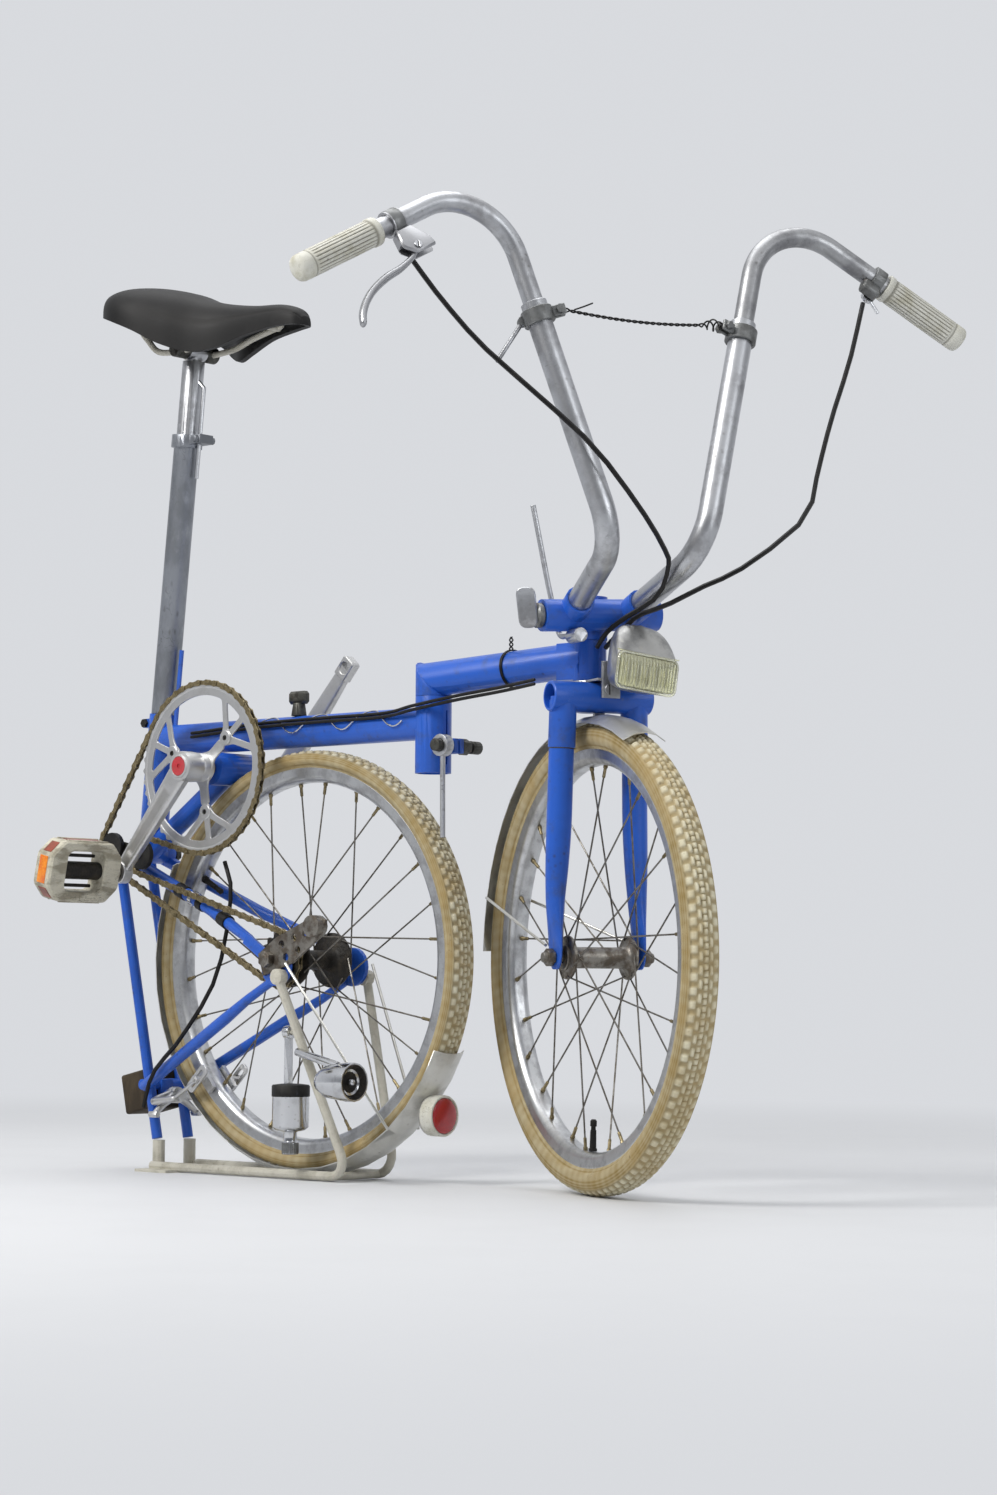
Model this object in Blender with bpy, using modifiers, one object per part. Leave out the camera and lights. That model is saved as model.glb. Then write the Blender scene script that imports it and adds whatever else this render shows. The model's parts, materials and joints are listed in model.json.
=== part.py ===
"""Small-wheeled folding bike, standing folded: the rear wheel is swung under the main tube and the bike
rests on its rear rack and its front tyre. +X is forward, +Y is the rider's left, +Z is up, in metres.
The origin is the middle of the flat plate under the rack."""

import math

import bmesh
import bpy
from mathutils import Matrix, Vector

for old in list(bpy.data.objects):
    bpy.data.objects.remove(old, do_unlink=True)

# Clearances between neighbouring pieces
GAP = 0.0003

# Wheels
RIM_RADIUS = 0.206
RIM_DEPTH = 0.016
RIM_WIDTH = 0.025
FLANGE_DEPTH = 0.0055
TYRE_WIDTH = 0.0355
FRONT_TYRE_RADIUS = 0.233
REAR_TYRE_RADIUS = 0.2245
SPOKES = 28
SPOKE_RADIUS = 0.0009
AXLE_RADIUS = 0.005
NUT_RADIUS = 0.0088
NUT_LENGTH = 0.0075
HUB_BARREL_RADIUS = 0.0105
FRONT_FLANGE_RADIUS = 0.0215
REAR_FLANGE_RADIUS = 0.0295
FRONT_FLANGE_SPREAD = 0.033
REAR_FLANGE_SPREAD = 0.031
HUB_END = 0.0385

# Main frame
MAIN_TUBE_RADIUS = 0.01725
MAIN_TUBE_Z = 0.477
SEAT_TUBE_RADIUS = 0.016
SEAT_TUBE_TOP = 0.507
SEAT_TUBE_BOTTOM = 0.362
SEAT_TUBE_LEAN = 0.105
SEAT_TUBE_X = -0.0481
SLEEVE_X = 0.366
SLEEVE_RADIUS = 0.019
SLEEVE_BOTTOM = 0.4244
SLEEVE_TOP = 0.5042
SLEEVE_SLOT = 0.0022
CRANK_X = 0.0655
CRANK_Z = 0.440
SHELL_RADIUS = 0.0182
SHELL_HALF = 0.034
PIVOT_X = -0.068
PIVOT_Z = 0.352
PIVOT_RADIUS = 0.005
PIVOT_LUG_RADIUS = 0.012
PIVOT_LUG_HALF = 0.0168
BRACE_RADIUS = 0.011

# Clamp on the front hinge sleeve
CLAMP_X = 0.3955
CLAMP_Z = 0.4515
CLAMP_BOLT_RADIUS = 0.0045
CLAMP_LUG_THICK = 0.006
CLAMP_BAR_RADIUS = 0.0028
CLAMP_BAR_LENGTH = 0.086

# Knob on the main tube
KNOB_X = 0.1675
KNOB_HEIGHT = 0.028
KNOB_WIDTH = 0.026

# Front frame
UPPER_TUBE_RADIUS = 0.018
UPPER_TUBE_REAR_Z = 0.5225
UPPER_TUBE_FRONT_Z = 0.5295
HINGE_POST_RADIUS = 0.016
STEER_X = 0.578
HEAD_TUBE_RADIUS = 0.0168
HEAD_TUBE_BOTTOM = 0.508
HEAD_TUBE_TOP = 0.548
STEERER_RADIUS = 0.0127

# Fork and stem, in the fork's own frame: forward, left, up from the steering axis
STEER_TURN = math.radians(-24.4)
FORK_OFFSET = 0.022
CROWN_Z = 0.4896
CROWN_RADIUS = 0.015
CROWN_HALF = 0.054
CROWN_BORE = 0.0122
LEG_RADIUS = 0.0125
LEG_SLEEVE_RADIUS = 0.0136
LEG_TOP_SIDE = 0.0388
LEG_END_SIDE = 0.0455
LEG_SLEEVE_END = 0.458
DROPOUT_TOP = 0.272
DROPOUT_THICK = 0.006
DROPOUT_WIDTH = 0.024
STEM_Z = 0.572
STEM_RADIUS = 0.016
STEM_HALF = 0.063
STEM_TILT = math.radians(3.0)
STEM_COLLAR_RADIUS = 0.0178
LEVER_PIN_RADIUS = 0.004
LEVER_LENGTH = 0.040
LEVER_WIDTH = 0.019
TOMMY_BOLT = (0.041, -0.0335, 0.5484)

# Handlebars
LOWER_BAR_RADIUS = 0.012
UPPER_BAR_RADIUS = 0.010
BAR_SOCKET = (0.034, 0.0315, 0.5772)
BAR_KNEE = (0.1546, 0.048, 0.6255)
BAR_COLLAR = (0.113, 0.110, 0.845)
BAR_KNEE_BEND = 0.050
BAR_INSERTED = 0.088
BAR_TRAVEL = 0.058
BAR_RISE_RIGHT = 0.062
BAR_RISE_LEFT = 0.068
BAR_ROLL_RIGHT = math.radians(-5.2)
BAR_ROLL_LEFT = math.radians(0.7)
BAR_TOP_BEND = 0.065
BAR_TOP_ANGLE = math.radians(105.5)
BAR_RUN = 0.066
COLLAR_RADIUS = 0.0155
COLLAR_HEIGHT = 0.017
GRIP_LENGTH = 0.100
GRIP_RADIUS = 0.0133

# Brake lever, with the two-finger blade turned forward of straight down
LEVER_TURN = math.radians(32)
BAND_BACK = 0.022
HOOD_REACH = 0.0425
HOOD_THICK = 0.014
HOOD_SLOT = 0.0086
LEVER_PIVOT_REACH = 0.0355
LEVER_PIN = 0.0018

# Headlamp, in the fork's frame
LAMP_FORWARD = 0.068
LAMP_SIDE = 0.020
LAMP_Z = 0.5225
LAMP_WIDTH = 0.068
LAMP_HEIGHT = 0.066
LAMP_DEPTH = 0.0525
LAMP_ROLL = math.radians(-7.5)
LAMP_BOLT_SIDE = 0.004

# Mudguards
GUARD_HALF_WIDTH = 0.0226
GUARD_SKIN = 0.0011
FRONT_GUARD_RADIUS = 0.240
REAR_GUARD_RADIUS = 0.2305
GUARD_DROP = 0.0085

# Crankset
CHAIN_Y = -0.0465
CHAIN_PITCH = 0.0127
RING_TEETH = 46
SPROCKET_TEETH = 14
PULLEY_TEETH = 10
RING_THICK = 0.003
RING_BAND = 0.0095
CHAIN_WIDTH = 0.0064
CHAIN_HALF_HEIGHT = 0.0038
CHAIN_JOIN = 0.0012
BOSS_RADIUS = 0.016
CRANK_LENGTH = 0.150
CRANK_ANGLE = math.radians(-131.4)
CRANK_ARM_THICK = 0.013
CRANK_ARM_WIDTH = 0.019
SPINDLE_RADIUS = 0.0082
RIGHT_ARM_Y = -0.073
LEFT_ARM_Y = 0.077
PEDAL_START = 0.012
PEDAL_LENGTH = 0.100
PEDAL_WIDTH = 0.066
PEDAL_HEIGHT = 0.027
PEDAL_TILT = math.radians(102)

# Chain pulleys by the fold pivot
UPPER_PULLEY = (-0.030, 0.347)
LOWER_PULLEY = (-0.078, 0.357)
PULLEY_THICK = 0.0065
PULLEY_PIN_RADIUS = 0.003
PULLEY_PLATE_Y = -0.0400
PULLEY_PLATE_THICK = 0.002

# Rear frame
REAR_AXLE_X = 0.1905
REAR_AXLE_Z = 0.2315
CHAINSTAY_RADIUS = 0.007
SEATSTAY_RADIUS = 0.00635
UPRIGHT_RADIUS = 0.006
UPRIGHT_SIDE = 0.023
UPRIGHT_TOP = (-0.0936, 0.350)
UPRIGHT_FOOT = (-0.0241, 0.035)
STAY_START_SIDE = 0.0255
DROPOUT_SIDE = 0.0575
STAY_KNEE = (0.070, 0.0352, 0.2865)
STAY_END = (0.152, 0.0545, 0.2525)
REAR_DROPOUT_THICK = 0.005
REAR_DROPOUT_RADIUS = 0.021
APEX = (-0.0372, 0.094)
APEX_SIDE = 0.031
BUMPER_LENGTH = 0.044
BUMPER_DEPTH = 0.0385
BUMPER_WIDTH = 0.050

# Rear rack
RACK_ROD_RADIUS = 0.005
RACK_ROD_Z = 0.0058
RACK_SIDE = 0.034
RACK_PLATE = (0.050, 0.110, 0.003)
STRUT_TOP = (0.208, 0.0670, 0.213)
STRUT_KNEE = (0.2835, 0.0345, 0.005)
RACK_CROSS_X = 0.262

# Lamp, dynamo and reflector on the rear frame
REAR_LAMP = (0.3085, -0.080, 0.106)
REAR_LAMP_RADIUS = 0.020
REAR_LAMP_LENGTH = 0.052
DYNAMO = (0.214, -0.052, 0.074)
DYNAMO_RADIUS = 0.0195
DYNAMO_HEIGHT = 0.042
ROLLER_RADIUS = 0.007
DYNAMO_PIN = (0.2035, -0.052, 0.155)
DYNAMO_PIN_START = 0.2200
DYNAMO_PIN_RADIUS = 0.0025
REFLECTOR_RADIUS = 0.021
REFLECTOR_LENGTH = 0.017
REFLECTOR_ANGLE = -43.6
TORQUE_THICK = 0.0035
TORQUE_ANGLE = 26.0

# Seat
POST_RADIUS = 0.0143
UPPER_POST_RADIUS = 0.0125
POST_FOOT = 0.430
SADDLE_CLAMP_Z = 0.914
POST_COLLAR_Z = SADDLE_CLAMP_Z - 0.108
POST_COLLAR_HEIGHT = 0.014
UPPER_POST_FOOT = SADDLE_CLAMP_Z - 0.214
UPPER_POST_TOP = SADDLE_CLAMP_Z - 0.011
GUIDE_ROD_RADIUS = 0.0024
GUIDE_ROD_AHEAD = 0.0205
GUIDE_ROD_DROP = 0.036
SEAT_PEG_RADIUS = 0.0026
SEAT_PEG_AHEAD = 0.0207
SEAT_PEG_TOP = SEAT_TUBE_TOP + 0.071
SADDLE_BARREL_HALF = 0.0125
RAIL_RADIUS = 0.0035
RAIL_SIDE = 0.021

# Stations along the saddle: distance forward, half width, top and skirt above the clamp
SADDLE_STATIONS = (
    (-0.1050, 0.026, 0.0690, 0.0540),
    (-0.0990, 0.048, 0.0750, 0.0460),
    (-0.0850, 0.067, 0.0760, 0.0390),
    (-0.0600, 0.077, 0.0765, 0.0300),
    (-0.0300, 0.074, 0.0728, 0.0170),
    (0.0000, 0.060, 0.0650, 0.0000),
    (0.0300, 0.042, 0.0530, -0.0100),
    (0.0600, 0.030, 0.0450, -0.0070),
    (0.1000, 0.023, 0.0380, 0.0030),
    (0.1400, 0.0195, 0.0340, 0.0075),
    (0.1620, 0.0150, 0.0270, 0.0080),
    (0.1720, 0.0075, 0.0170, 0.0070),
)
SADDLE_WALL = 0.007

# Rear brake
BRAKE_X = -0.0190
BRAKE_Z = 0.0825
BRAKE_SIDE = -0.004
BRAKE_BOLT_RADIUS = 0.003
BRAKE_PAD_ANGLE = math.radians(222)
BRAKE_PAD_TURN = math.radians(-42)
BRAKE_PAD_DEPTH = 0.0115
CABLE_RADIUS = 0.0025

BLUE = (0.020, 0.115, 0.560)
ALUMINIUM = (0.56, 0.57, 0.58)
DULL_STEEL = (0.30, 0.29, 0.27)
CREAM = (0.74, 0.71, 0.60)
BLACK = (0.015, 0.015, 0.017)
TAN = (0.66, 0.50, 0.29)
BRASS = (0.34, 0.29, 0.17)

collection = bpy.data.collections.new("folding_bike")
bpy.context.scene.collection.children.link(collection)
bodies = {}


# Helpers that return an unnamed solid with its place in its mesh

def solid_from(bm):
    bmesh.ops.recalc_face_normals(bm, faces=bm.faces)
    mesh = bpy.data.meshes.new("shape")
    bm.to_mesh(mesh)
    bm.free()
    shape = bpy.data.objects.new("shape", mesh)
    collection.objects.link(shape)
    return shape


def evaluated(shape):
    """The mesh of an object with its modifiers, welded and facing out, in place of the old object."""
    bpy.context.view_layer.update()
    graph = bpy.context.evaluated_depsgraph_get()
    mesh = bpy.data.meshes.new_from_object(shape.evaluated_get(graph))
    bm = bmesh.new()
    bm.from_mesh(mesh)
    bm.transform(shape.matrix_world)
    bmesh.ops.remove_doubles(bm, verts=bm.verts, dist=1e-6)
    bpy.data.objects.remove(shape, do_unlink=True)
    bpy.data.meshes.remove(mesh)
    return solid_from(bm)


def rod(start, end, radius, end_radius=None, sides=12):
    start, end = Vector(start), Vector(end)
    run = end - start
    turn = run.to_track_quat("Z", "Y").to_matrix().to_4x4()
    bm = bmesh.new()
    bmesh.ops.create_cone(
        bm,
        cap_ends=True,
        segments=sides,
        radius1=radius,
        radius2=radius if end_radius is None else end_radius,
        depth=run.length,
        matrix=Matrix.Translation((start + end) / 2) @ turn,
    )
    return solid_from(bm)


def block(centre, size, turn=None):
    bm = bmesh.new()
    place = Matrix.Translation(centre) @ (turn or Matrix()) @ Matrix.Diagonal((*size, 1.0))
    bmesh.ops.create_cube(bm, size=1.0, matrix=place)
    return solid_from(bm)


def rounded(shape, width, segments=1):
    bevel = shape.modifiers.new("rounded", "BEVEL")
    bevel.width = width
    bevel.segments = segments
    bevel.limit_method = "ANGLE"
    bevel.angle_limit = math.radians(40)
    return evaluated(shape)


def plate(outline, thickness, place):
    """A flat outline of (x, y) points, extruded both ways about z = 0, then placed."""
    bm = bmesh.new()
    low = [bm.verts.new((x, y, -thickness / 2)) for x, y in outline]
    high = [bm.verts.new((x, y, thickness / 2)) for x, y in outline]
    bm.faces.new(low[::-1])
    bm.faces.new(high)
    for i in range(len(outline)):
        j = (i + 1) % len(outline)
        bm.faces.new((low[i], low[j], high[j], high[i]))
    bm.transform(place)
    return solid_from(bm)


def turned(profile, centre, axis, steps=32, ring=False):
    """A profile of (radius, height) turned about an axis; ring closes it into a loop round a bore."""
    bm = bmesh.new()
    points = [bm.verts.new((radius, 0.0, height)) for radius, height in profile]
    for first, second in zip(points, points[1:]):
        bm.edges.new((first, second))
    if ring:
        bm.edges.new((points[-1], points[0]))
    mesh = bpy.data.meshes.new("profile")
    bm.to_mesh(mesh)
    bm.free()
    shape = bpy.data.objects.new("profile", mesh)
    collection.objects.link(shape)
    screw = shape.modifiers.new("turned", "SCREW")
    screw.steps = steps
    screw.render_steps = steps
    screw.use_merge_vertices = True
    screw.merge_threshold = 1e-5
    shape.matrix_world = Matrix.Translation(centre) @ Vector(axis).to_track_quat("Z", "Y").to_matrix().to_4x4()
    return evaluated(shape)


def tube(points, radius, resolution=4):
    curve = bpy.data.curves.new("route", "CURVE")
    curve.dimensions = "3D"
    curve.bevel_depth = radius
    curve.bevel_resolution = resolution
    curve.use_fill_caps = True
    spline = curve.splines.new("POLY")
    spline.points.add(len(points) - 1)
    for point, place in zip(spline.points, points):
        point.co = (*place, 1.0)
    shape = bpy.data.objects.new("route", curve)
    collection.objects.link(shape)
    return evaluated(shape)


def bent(corners, bend, step=math.radians(13)):
    """Points along straight runs joined by arcs of the bend radius at each inner corner."""
    corners = [Vector(c) for c in corners]
    points = [corners[0]]
    for before, corner, after in zip(corners, corners[1:], corners[2:]):
        back = (before - corner).normalized()
        ahead = (after - corner).normalized()
        turn = math.pi - back.angle(ahead)
        reach = bend * math.tan(turn / 2)
        centre = corner + (back + ahead).normalized() * (bend / math.cos(turn / 2))
        start = corner + back * reach - centre
        end = corner + ahead * reach - centre
        count = max(2, math.ceil(turn / step))
        for i in range(count + 1):
            t = i / count
            points.append(centre + (start * math.sin((1 - t) * turn) + end * math.sin(t * turn)) / math.sin(turn))
    points.append(corners[-1])
    return points


def flowing(places, count):
    """A smooth curve through the places, read at evenly spaced parameters."""
    places = [Vector(p) for p in places]
    ends = [2 * places[0] - places[1], *places, 2 * places[-1] - places[-2]]
    spans = len(places) - 1
    points = []
    for i in range(count + 1):
        span = min(int(i * spans / count), spans - 1)
        t = i * spans / count - span
        a, b, c, d = ends[span:span + 4]
        points.append(
            0.5 * (2 * b + (c - a) * t + (2 * a - 5 * b + 4 * c - d) * t**2 + (3 * b - a - 3 * c + d) * t**3)
        )
    return points


def boolean(base, others, operation):
    for other in others:
        change = base.modifiers.new("change", "BOOLEAN")
        change.operation = operation
        change.solver = "EXACT"
        change.use_self = operation == "UNION"
        change.object = other
        base = evaluated(base)
        bpy.data.objects.remove(other, do_unlink=True)
    return base


def joined(first, *others):
    return boolean(first, others, "UNION")


def cut(base, *cutters):
    return boolean(base, cutters, "DIFFERENCE")


def together(shapes):
    """Several separate shapes in one mesh, to join to another in one step."""
    bm = bmesh.new()
    for shape in shapes:
        bm.from_mesh(shape.data)
        bpy.data.objects.remove(shape, do_unlink=True)
    return solid_from(bm)


def moved(shape, place):
    shape.data.transform(place)
    return shape


def fork_place():
    return Matrix.Translation((STEER_X, 0.0, 0.0)) @ Matrix.Rotation(STEER_TURN, 4, "Z")


def named(shape, name, body, colour, roughness=0.5, metallic=0.0):
    shape.name = name
    shape.data.name = name
    material = bpy.data.materials.new(name)
    material.use_nodes = True
    surface = material.node_tree.nodes["Principled BSDF"]
    surface.inputs["Base Color"].default_value = (*colour, 1.0)
    surface.inputs["Roughness"].default_value = roughness
    surface.inputs["Metallic"].default_value = metallic
    shape.data.materials.clear()
    shape.data.materials.append(material)
    shape.data.shade_smooth()
    shape.data.set_sharp_from_angle(angle=math.radians(35))
    bodies.setdefault(body, []).append(shape)
    return shape


def polar(centre, radius, angle, y):
    return (centre[0] + radius * math.cos(angle), y, centre[1] + radius * math.sin(angle))


def sprocket_radius(teeth):
    return CHAIN_PITCH / (2 * math.sin(math.pi / teeth))


def seat_line(z, ahead=0.0):
    """The point at height z on the seat tube's axis, or so far ahead of it."""
    return (SEAT_TUBE_X + SEAT_TUBE_LEAN * (z - SEAT_TUBE_TOP) + ahead, 0.0, z)


# Wheels

def wheel_ring(profile, place):
    return moved(turned(profile, (0, 0, 0), (0, 0, 1), steps=48, ring=True), place)


def tyre(radius, place):
    half = TYRE_WIDTH / 2
    bead = RIM_WIDTH / 2 - 0.0022
    well = RIM_RADIUS - FLANGE_DEPTH + GAP
    lip = RIM_RADIUS + 0.0012
    height = radius - lip
    side = [
        (well, bead),
        (lip, bead),
        (lip + height * 0.36, half),
        (lip + height * 0.70, half * 0.86),
        (radius, half * 0.30),
    ]
    return wheel_ring(side + [(r, -w) for r, w in reversed(side)], place)


def rim(place):
    half = RIM_WIDTH / 2
    inner = RIM_RADIUS - RIM_DEPTH
    wall = 0.0018
    side = [
        (inner, half * 0.45),
        (inner + RIM_DEPTH * 0.35, half * 0.94),
        (RIM_RADIUS, half),
        (RIM_RADIUS, half - wall),
        (RIM_RADIUS - FLANGE_DEPTH, half - wall),
    ]
    return wheel_ring(side + [(r, -w) for r, w in reversed(side)], place)


def hub(place, flange, spread, end):
    """A turned hub with its spokes laced two-cross from both flanges to just short of the rim."""
    bore = AXLE_RADIUS + GAP
    thick = 0.0016
    half = [
        (bore, end),
        (HUB_BARREL_RADIUS + 0.002, end),
        (HUB_BARREL_RADIUS + 0.002, spread + thick),
        (flange, spread + thick),
        (flange, spread - thick),
        (HUB_BARREL_RADIUS + 0.004, spread - thick - 0.001),
        (HUB_BARREL_RADIUS, spread - thick - 0.008),
    ]
    body = turned(half + [(r, -h) for r, h in reversed(half)], (0, 0, 0), (0, 0, 1), steps=16, ring=True)
    tip = RIM_RADIUS - RIM_DEPTH - 0.0012
    per_side = SPOKES // 2
    spokes = []
    for side in (-1, 1):
        for i in range(per_side):
            lean = 1 if i % 2 else -1
            rim_angle = 2 * math.pi * (i + (0.25 if side > 0 else -0.25)) / per_side
            hub_angle = rim_angle + lean * math.radians(62)
            height = side * (spread + lean * 0.0014)
            root = flange - 0.003
            spokes.append(
                rod(
                    (root * math.cos(hub_angle), root * math.sin(hub_angle), height),
                    (tip * math.cos(rim_angle), tip * math.sin(rim_angle), side * 0.0025),
                    SPOKE_RADIUS,
                    sides=4,
                )
            )
    return moved(joined(body, together(spokes)), place)


def wheels():
    upright = Matrix.Rotation(math.radians(-90), 4, "X")
    front = fork_place() @ Matrix.Translation((FORK_OFFSET, 0, FRONT_TYRE_RADIUS)) @ upright
    rear = Matrix.Translation((REAR_AXLE_X, 0, REAR_AXLE_Z)) @ upright
    for end, place, radius, flange, spread in (
        ("front", front, FRONT_TYRE_RADIUS, FRONT_FLANGE_RADIUS, FRONT_FLANGE_SPREAD),
        ("rear", rear, REAR_TYRE_RADIUS, REAR_FLANGE_RADIUS, REAR_FLANGE_SPREAD),
    ):
        body = f"{end}_wheel"
        named(tyre(radius, place), f"{end}_tyre", body, TAN, 0.8)
        named(rim(place), f"{end}_rim", body, ALUMINIUM, 0.4, 1.0)
        named(hub(place, flange, spread, HUB_END), f"{end}_hub_and_spokes", body, DULL_STEEL, 0.45, 1.0)


def axle(centre, direction, dropout_outside, tip):
    """An axle with a hexagon nut outside each dropout."""
    centre, direction = Vector(centre), Vector(direction)
    pin = rod(centre - direction * tip, centre + direction * tip, AXLE_RADIUS, sides=12)
    nuts = [
        rod(
            centre + direction * side * (dropout_outside + GAP),
            centre + direction * side * (dropout_outside + GAP + NUT_LENGTH),
            NUT_RADIUS,
            sides=6,
        )
        for side in (-1, 1)
    ]
    return joined(pin, *nuts)


# Main frame

def main_frame():
    seat_low = seat_line(SEAT_TUBE_BOTTOM)
    frame = joined(
        rod(seat_line(MAIN_TUBE_Z), (SLEEVE_X, 0, MAIN_TUBE_Z), MAIN_TUBE_RADIUS, sides=20),
        rod((SLEEVE_X, 0, SLEEVE_BOTTOM), (SLEEVE_X, 0, SLEEVE_TOP), SLEEVE_RADIUS, sides=20),
        rod(seat_low, seat_line(SEAT_TUBE_TOP), SEAT_TUBE_RADIUS, sides=20),
        rod((CRANK_X, -SHELL_HALF, CRANK_Z), (CRANK_X, SHELL_HALF, CRANK_Z), SHELL_RADIUS, sides=20),
        rod((PIVOT_X, -PIVOT_LUG_HALF, PIVOT_Z), (PIVOT_X, PIVOT_LUG_HALF, PIVOT_Z), PIVOT_LUG_RADIUS),
        rod((PIVOT_X, 0, PIVOT_Z), (CRANK_X, 0, CRANK_Z), BRACE_RADIUS, sides=14),
        block((CLAMP_X - 0.005, 0, CLAMP_Z), (0.024, 2 * CLAMP_LUG_THICK + SLEEVE_SLOT, 0.015)),
        rod(
            seat_line(MAIN_TUBE_Z + 0.008, SEAT_PEG_AHEAD),
            seat_line(SEAT_PEG_TOP, SEAT_PEG_AHEAD),
            SEAT_PEG_RADIUS,
            sides=10,
        ),
        block(
            (*seat_line(SEAT_TUBE_TOP - 0.009, -0.019)[:2], SEAT_TUBE_TOP - 0.009),
            (0.014, 0.014, 0.010),
        ),
    )
    post_hole = HINGE_POST_RADIUS + GAP
    seat_bore_low = seat_line(POST_FOOT - 0.052)
    seat_bore_high = seat_line(SEAT_TUBE_TOP + 0.02)
    frame = cut(
        frame,
        rod((SLEEVE_X, 0, SLEEVE_BOTTOM - 0.01), (SLEEVE_X, 0, SEAT_TUBE_TOP + 0.01), post_hole, sides=20),
        rod(seat_bore_low, seat_bore_high, POST_RADIUS + GAP, sides=20),
        rod((CRANK_X, -0.05, CRANK_Z), (CRANK_X, 0.05, CRANK_Z), SPINDLE_RADIUS + GAP),
        rod((PIVOT_X, -0.05, PIVOT_Z), (PIVOT_X, 0.05, PIVOT_Z), PIVOT_RADIUS + GAP, sides=12),
        block((SLEEVE_X + 0.030, 0, CLAMP_Z + 0.010), (0.050, SLEEVE_SLOT, 0.056)),
        rod((CLAMP_X, -0.05, CLAMP_Z), (CLAMP_X, 0.05, CLAMP_Z), CLAMP_BOLT_RADIUS + GAP, sides=12),
        rod((KNOB_X, 0, MAIN_TUBE_Z), (KNOB_X, 0, MAIN_TUBE_Z + 0.03), 0.0035 + GAP, sides=12),
    )
    named(frame, "main_frame", "root", BLUE, 0.35)


def clamp():
    """Screw and nut across the sleeve's lugs, and the tommy bar that hangs from the screw's eye."""
    lug = CLAMP_LUG_THICK + SLEEVE_SLOT / 2 + GAP
    screw = joined(
        rod((CLAMP_X, -0.026, CLAMP_Z), (CLAMP_X, 0.030, CLAMP_Z), CLAMP_BOLT_RADIUS, sides=12),
        rod((CLAMP_X, lug, CLAMP_Z), (CLAMP_X, lug + 0.012, CLAMP_Z), 0.0085, sides=6),
        rod((CLAMP_X, 0.024, CLAMP_Z), (CLAMP_X, 0.037, CLAMP_Z), 0.0068, sides=14),
        rod((CLAMP_X, -0.030, CLAMP_Z), (CLAMP_X, -lug, CLAMP_Z), 0.0065, sides=14),
    )
    named(screw, "hinge_clamp_screw", "root", DULL_STEEL, 0.5, 1.0)
    eye_y = -0.0175
    boss = cut(
        rod((CLAMP_X, eye_y - 0.005, CLAMP_Z), (CLAMP_X, eye_y + 0.005, CLAMP_Z), 0.0115, sides=16),
        rod((CLAMP_X, eye_y - 0.02, CLAMP_Z), (CLAMP_X, eye_y + 0.02, CLAMP_Z), 0.0065 + GAP, sides=14),
    )
    drop = Vector((0.010, 0.0, -1.0)).normalized()
    start = Vector((CLAMP_X, eye_y, CLAMP_Z)) + drop * 0.009
    bar = joined(boss, rod(start, start + drop * CLAMP_BAR_LENGTH, CLAMP_BAR_RADIUS, sides=10))
    named(bar, "hinge_tommy_bar", "hinge_bar", ALUMINIUM, 0.45, 1.0)


def knob():
    foot = MAIN_TUBE_Z + MAIN_TUBE_RADIUS
    shape = joined(
        rod((KNOB_X, 0, foot - 0.008), (KNOB_X, 0, foot + KNOB_HEIGHT - 0.006), 0.0035, sides=12),
        rod((KNOB_X, 0, foot + GAP), (KNOB_X, 0, foot + 0.014), 0.0085, 0.0065, sides=14),
        rounded(block((KNOB_X, 0, foot + KNOB_HEIGHT - 0.008), (KNOB_WIDTH, 0.011, 0.014)), 0.003),
    )
    named(shape, "frame_knob", "knob", BLACK, 0.6)


def pivot_axle():
    """Rear fold axle, with the plate outside the stays that carries both chain pulleys."""
    outer = PULLEY_PLATE_Y - PULLEY_PLATE_THICK / 2
    inner = PULLEY_PLATE_Y + PULLEY_PLATE_THICK / 2
    pin_tip = CHAIN_Y - PULLEY_THICK / 2 - 0.003
    left_face = STAY_START_SIDE + CHAINSTAY_RADIUS + 0.0023
    shapes = [rod((PIVOT_X, outer, PIVOT_Z), (PIVOT_X, left_face, PIVOT_Z), PIVOT_RADIUS, sides=12)]
    shapes.append(rod(
        (PIVOT_X, left_face - 0.0005, PIVOT_Z),
        (PIVOT_X, left_face + 0.006, PIVOT_Z),
        0.009,
        sides=6,
    ))
    for x, z in (UPPER_PULLEY, LOWER_PULLEY):
        shapes.append(rod((x, outer, z), (x, inner, z), 0.009, sides=14))
        shapes.append(rod((x, inner, z), (x, pin_tip, z), PULLEY_PIN_RADIUS, sides=10))
    middle = (
        (UPPER_PULLEY[0] + LOWER_PULLEY[0]) / 2,
        PULLEY_PLATE_Y,
        (UPPER_PULLEY[1] + LOWER_PULLEY[1]) / 2,
    )
    run = Vector((UPPER_PULLEY[0] - LOWER_PULLEY[0], 0, UPPER_PULLEY[1] - LOWER_PULLEY[1]))
    slope = Matrix.Rotation(-math.atan2(run.z, run.x), 4, "Y")
    shapes.append(block(middle, (run.length, PULLEY_PLATE_THICK, 0.016), slope))
    named(joined(*shapes), "fold_axle_and_pulley_plate", "root", DULL_STEEL, 0.5, 1.0)


def pulleys():
    radius = sprocket_radius(PULLEY_TEETH) - CHAIN_HALF_HEIGHT - 2 * GAP
    for (x, z), name in ((UPPER_PULLEY, "upper_pulley"), (LOWER_PULLEY, "lower_pulley")):
        half = PULLEY_THICK / 2 - GAP
        bore = PULLEY_PIN_RADIUS + GAP
        profile = [(bore, half), (radius, half), (radius, -half), (bore, -half)]
        disc = turned(profile, (x, CHAIN_Y, z), (0, 1, 0), steps=24, ring=True)
        named(disc, name, name, CREAM, 0.5)


# Crankset

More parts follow.
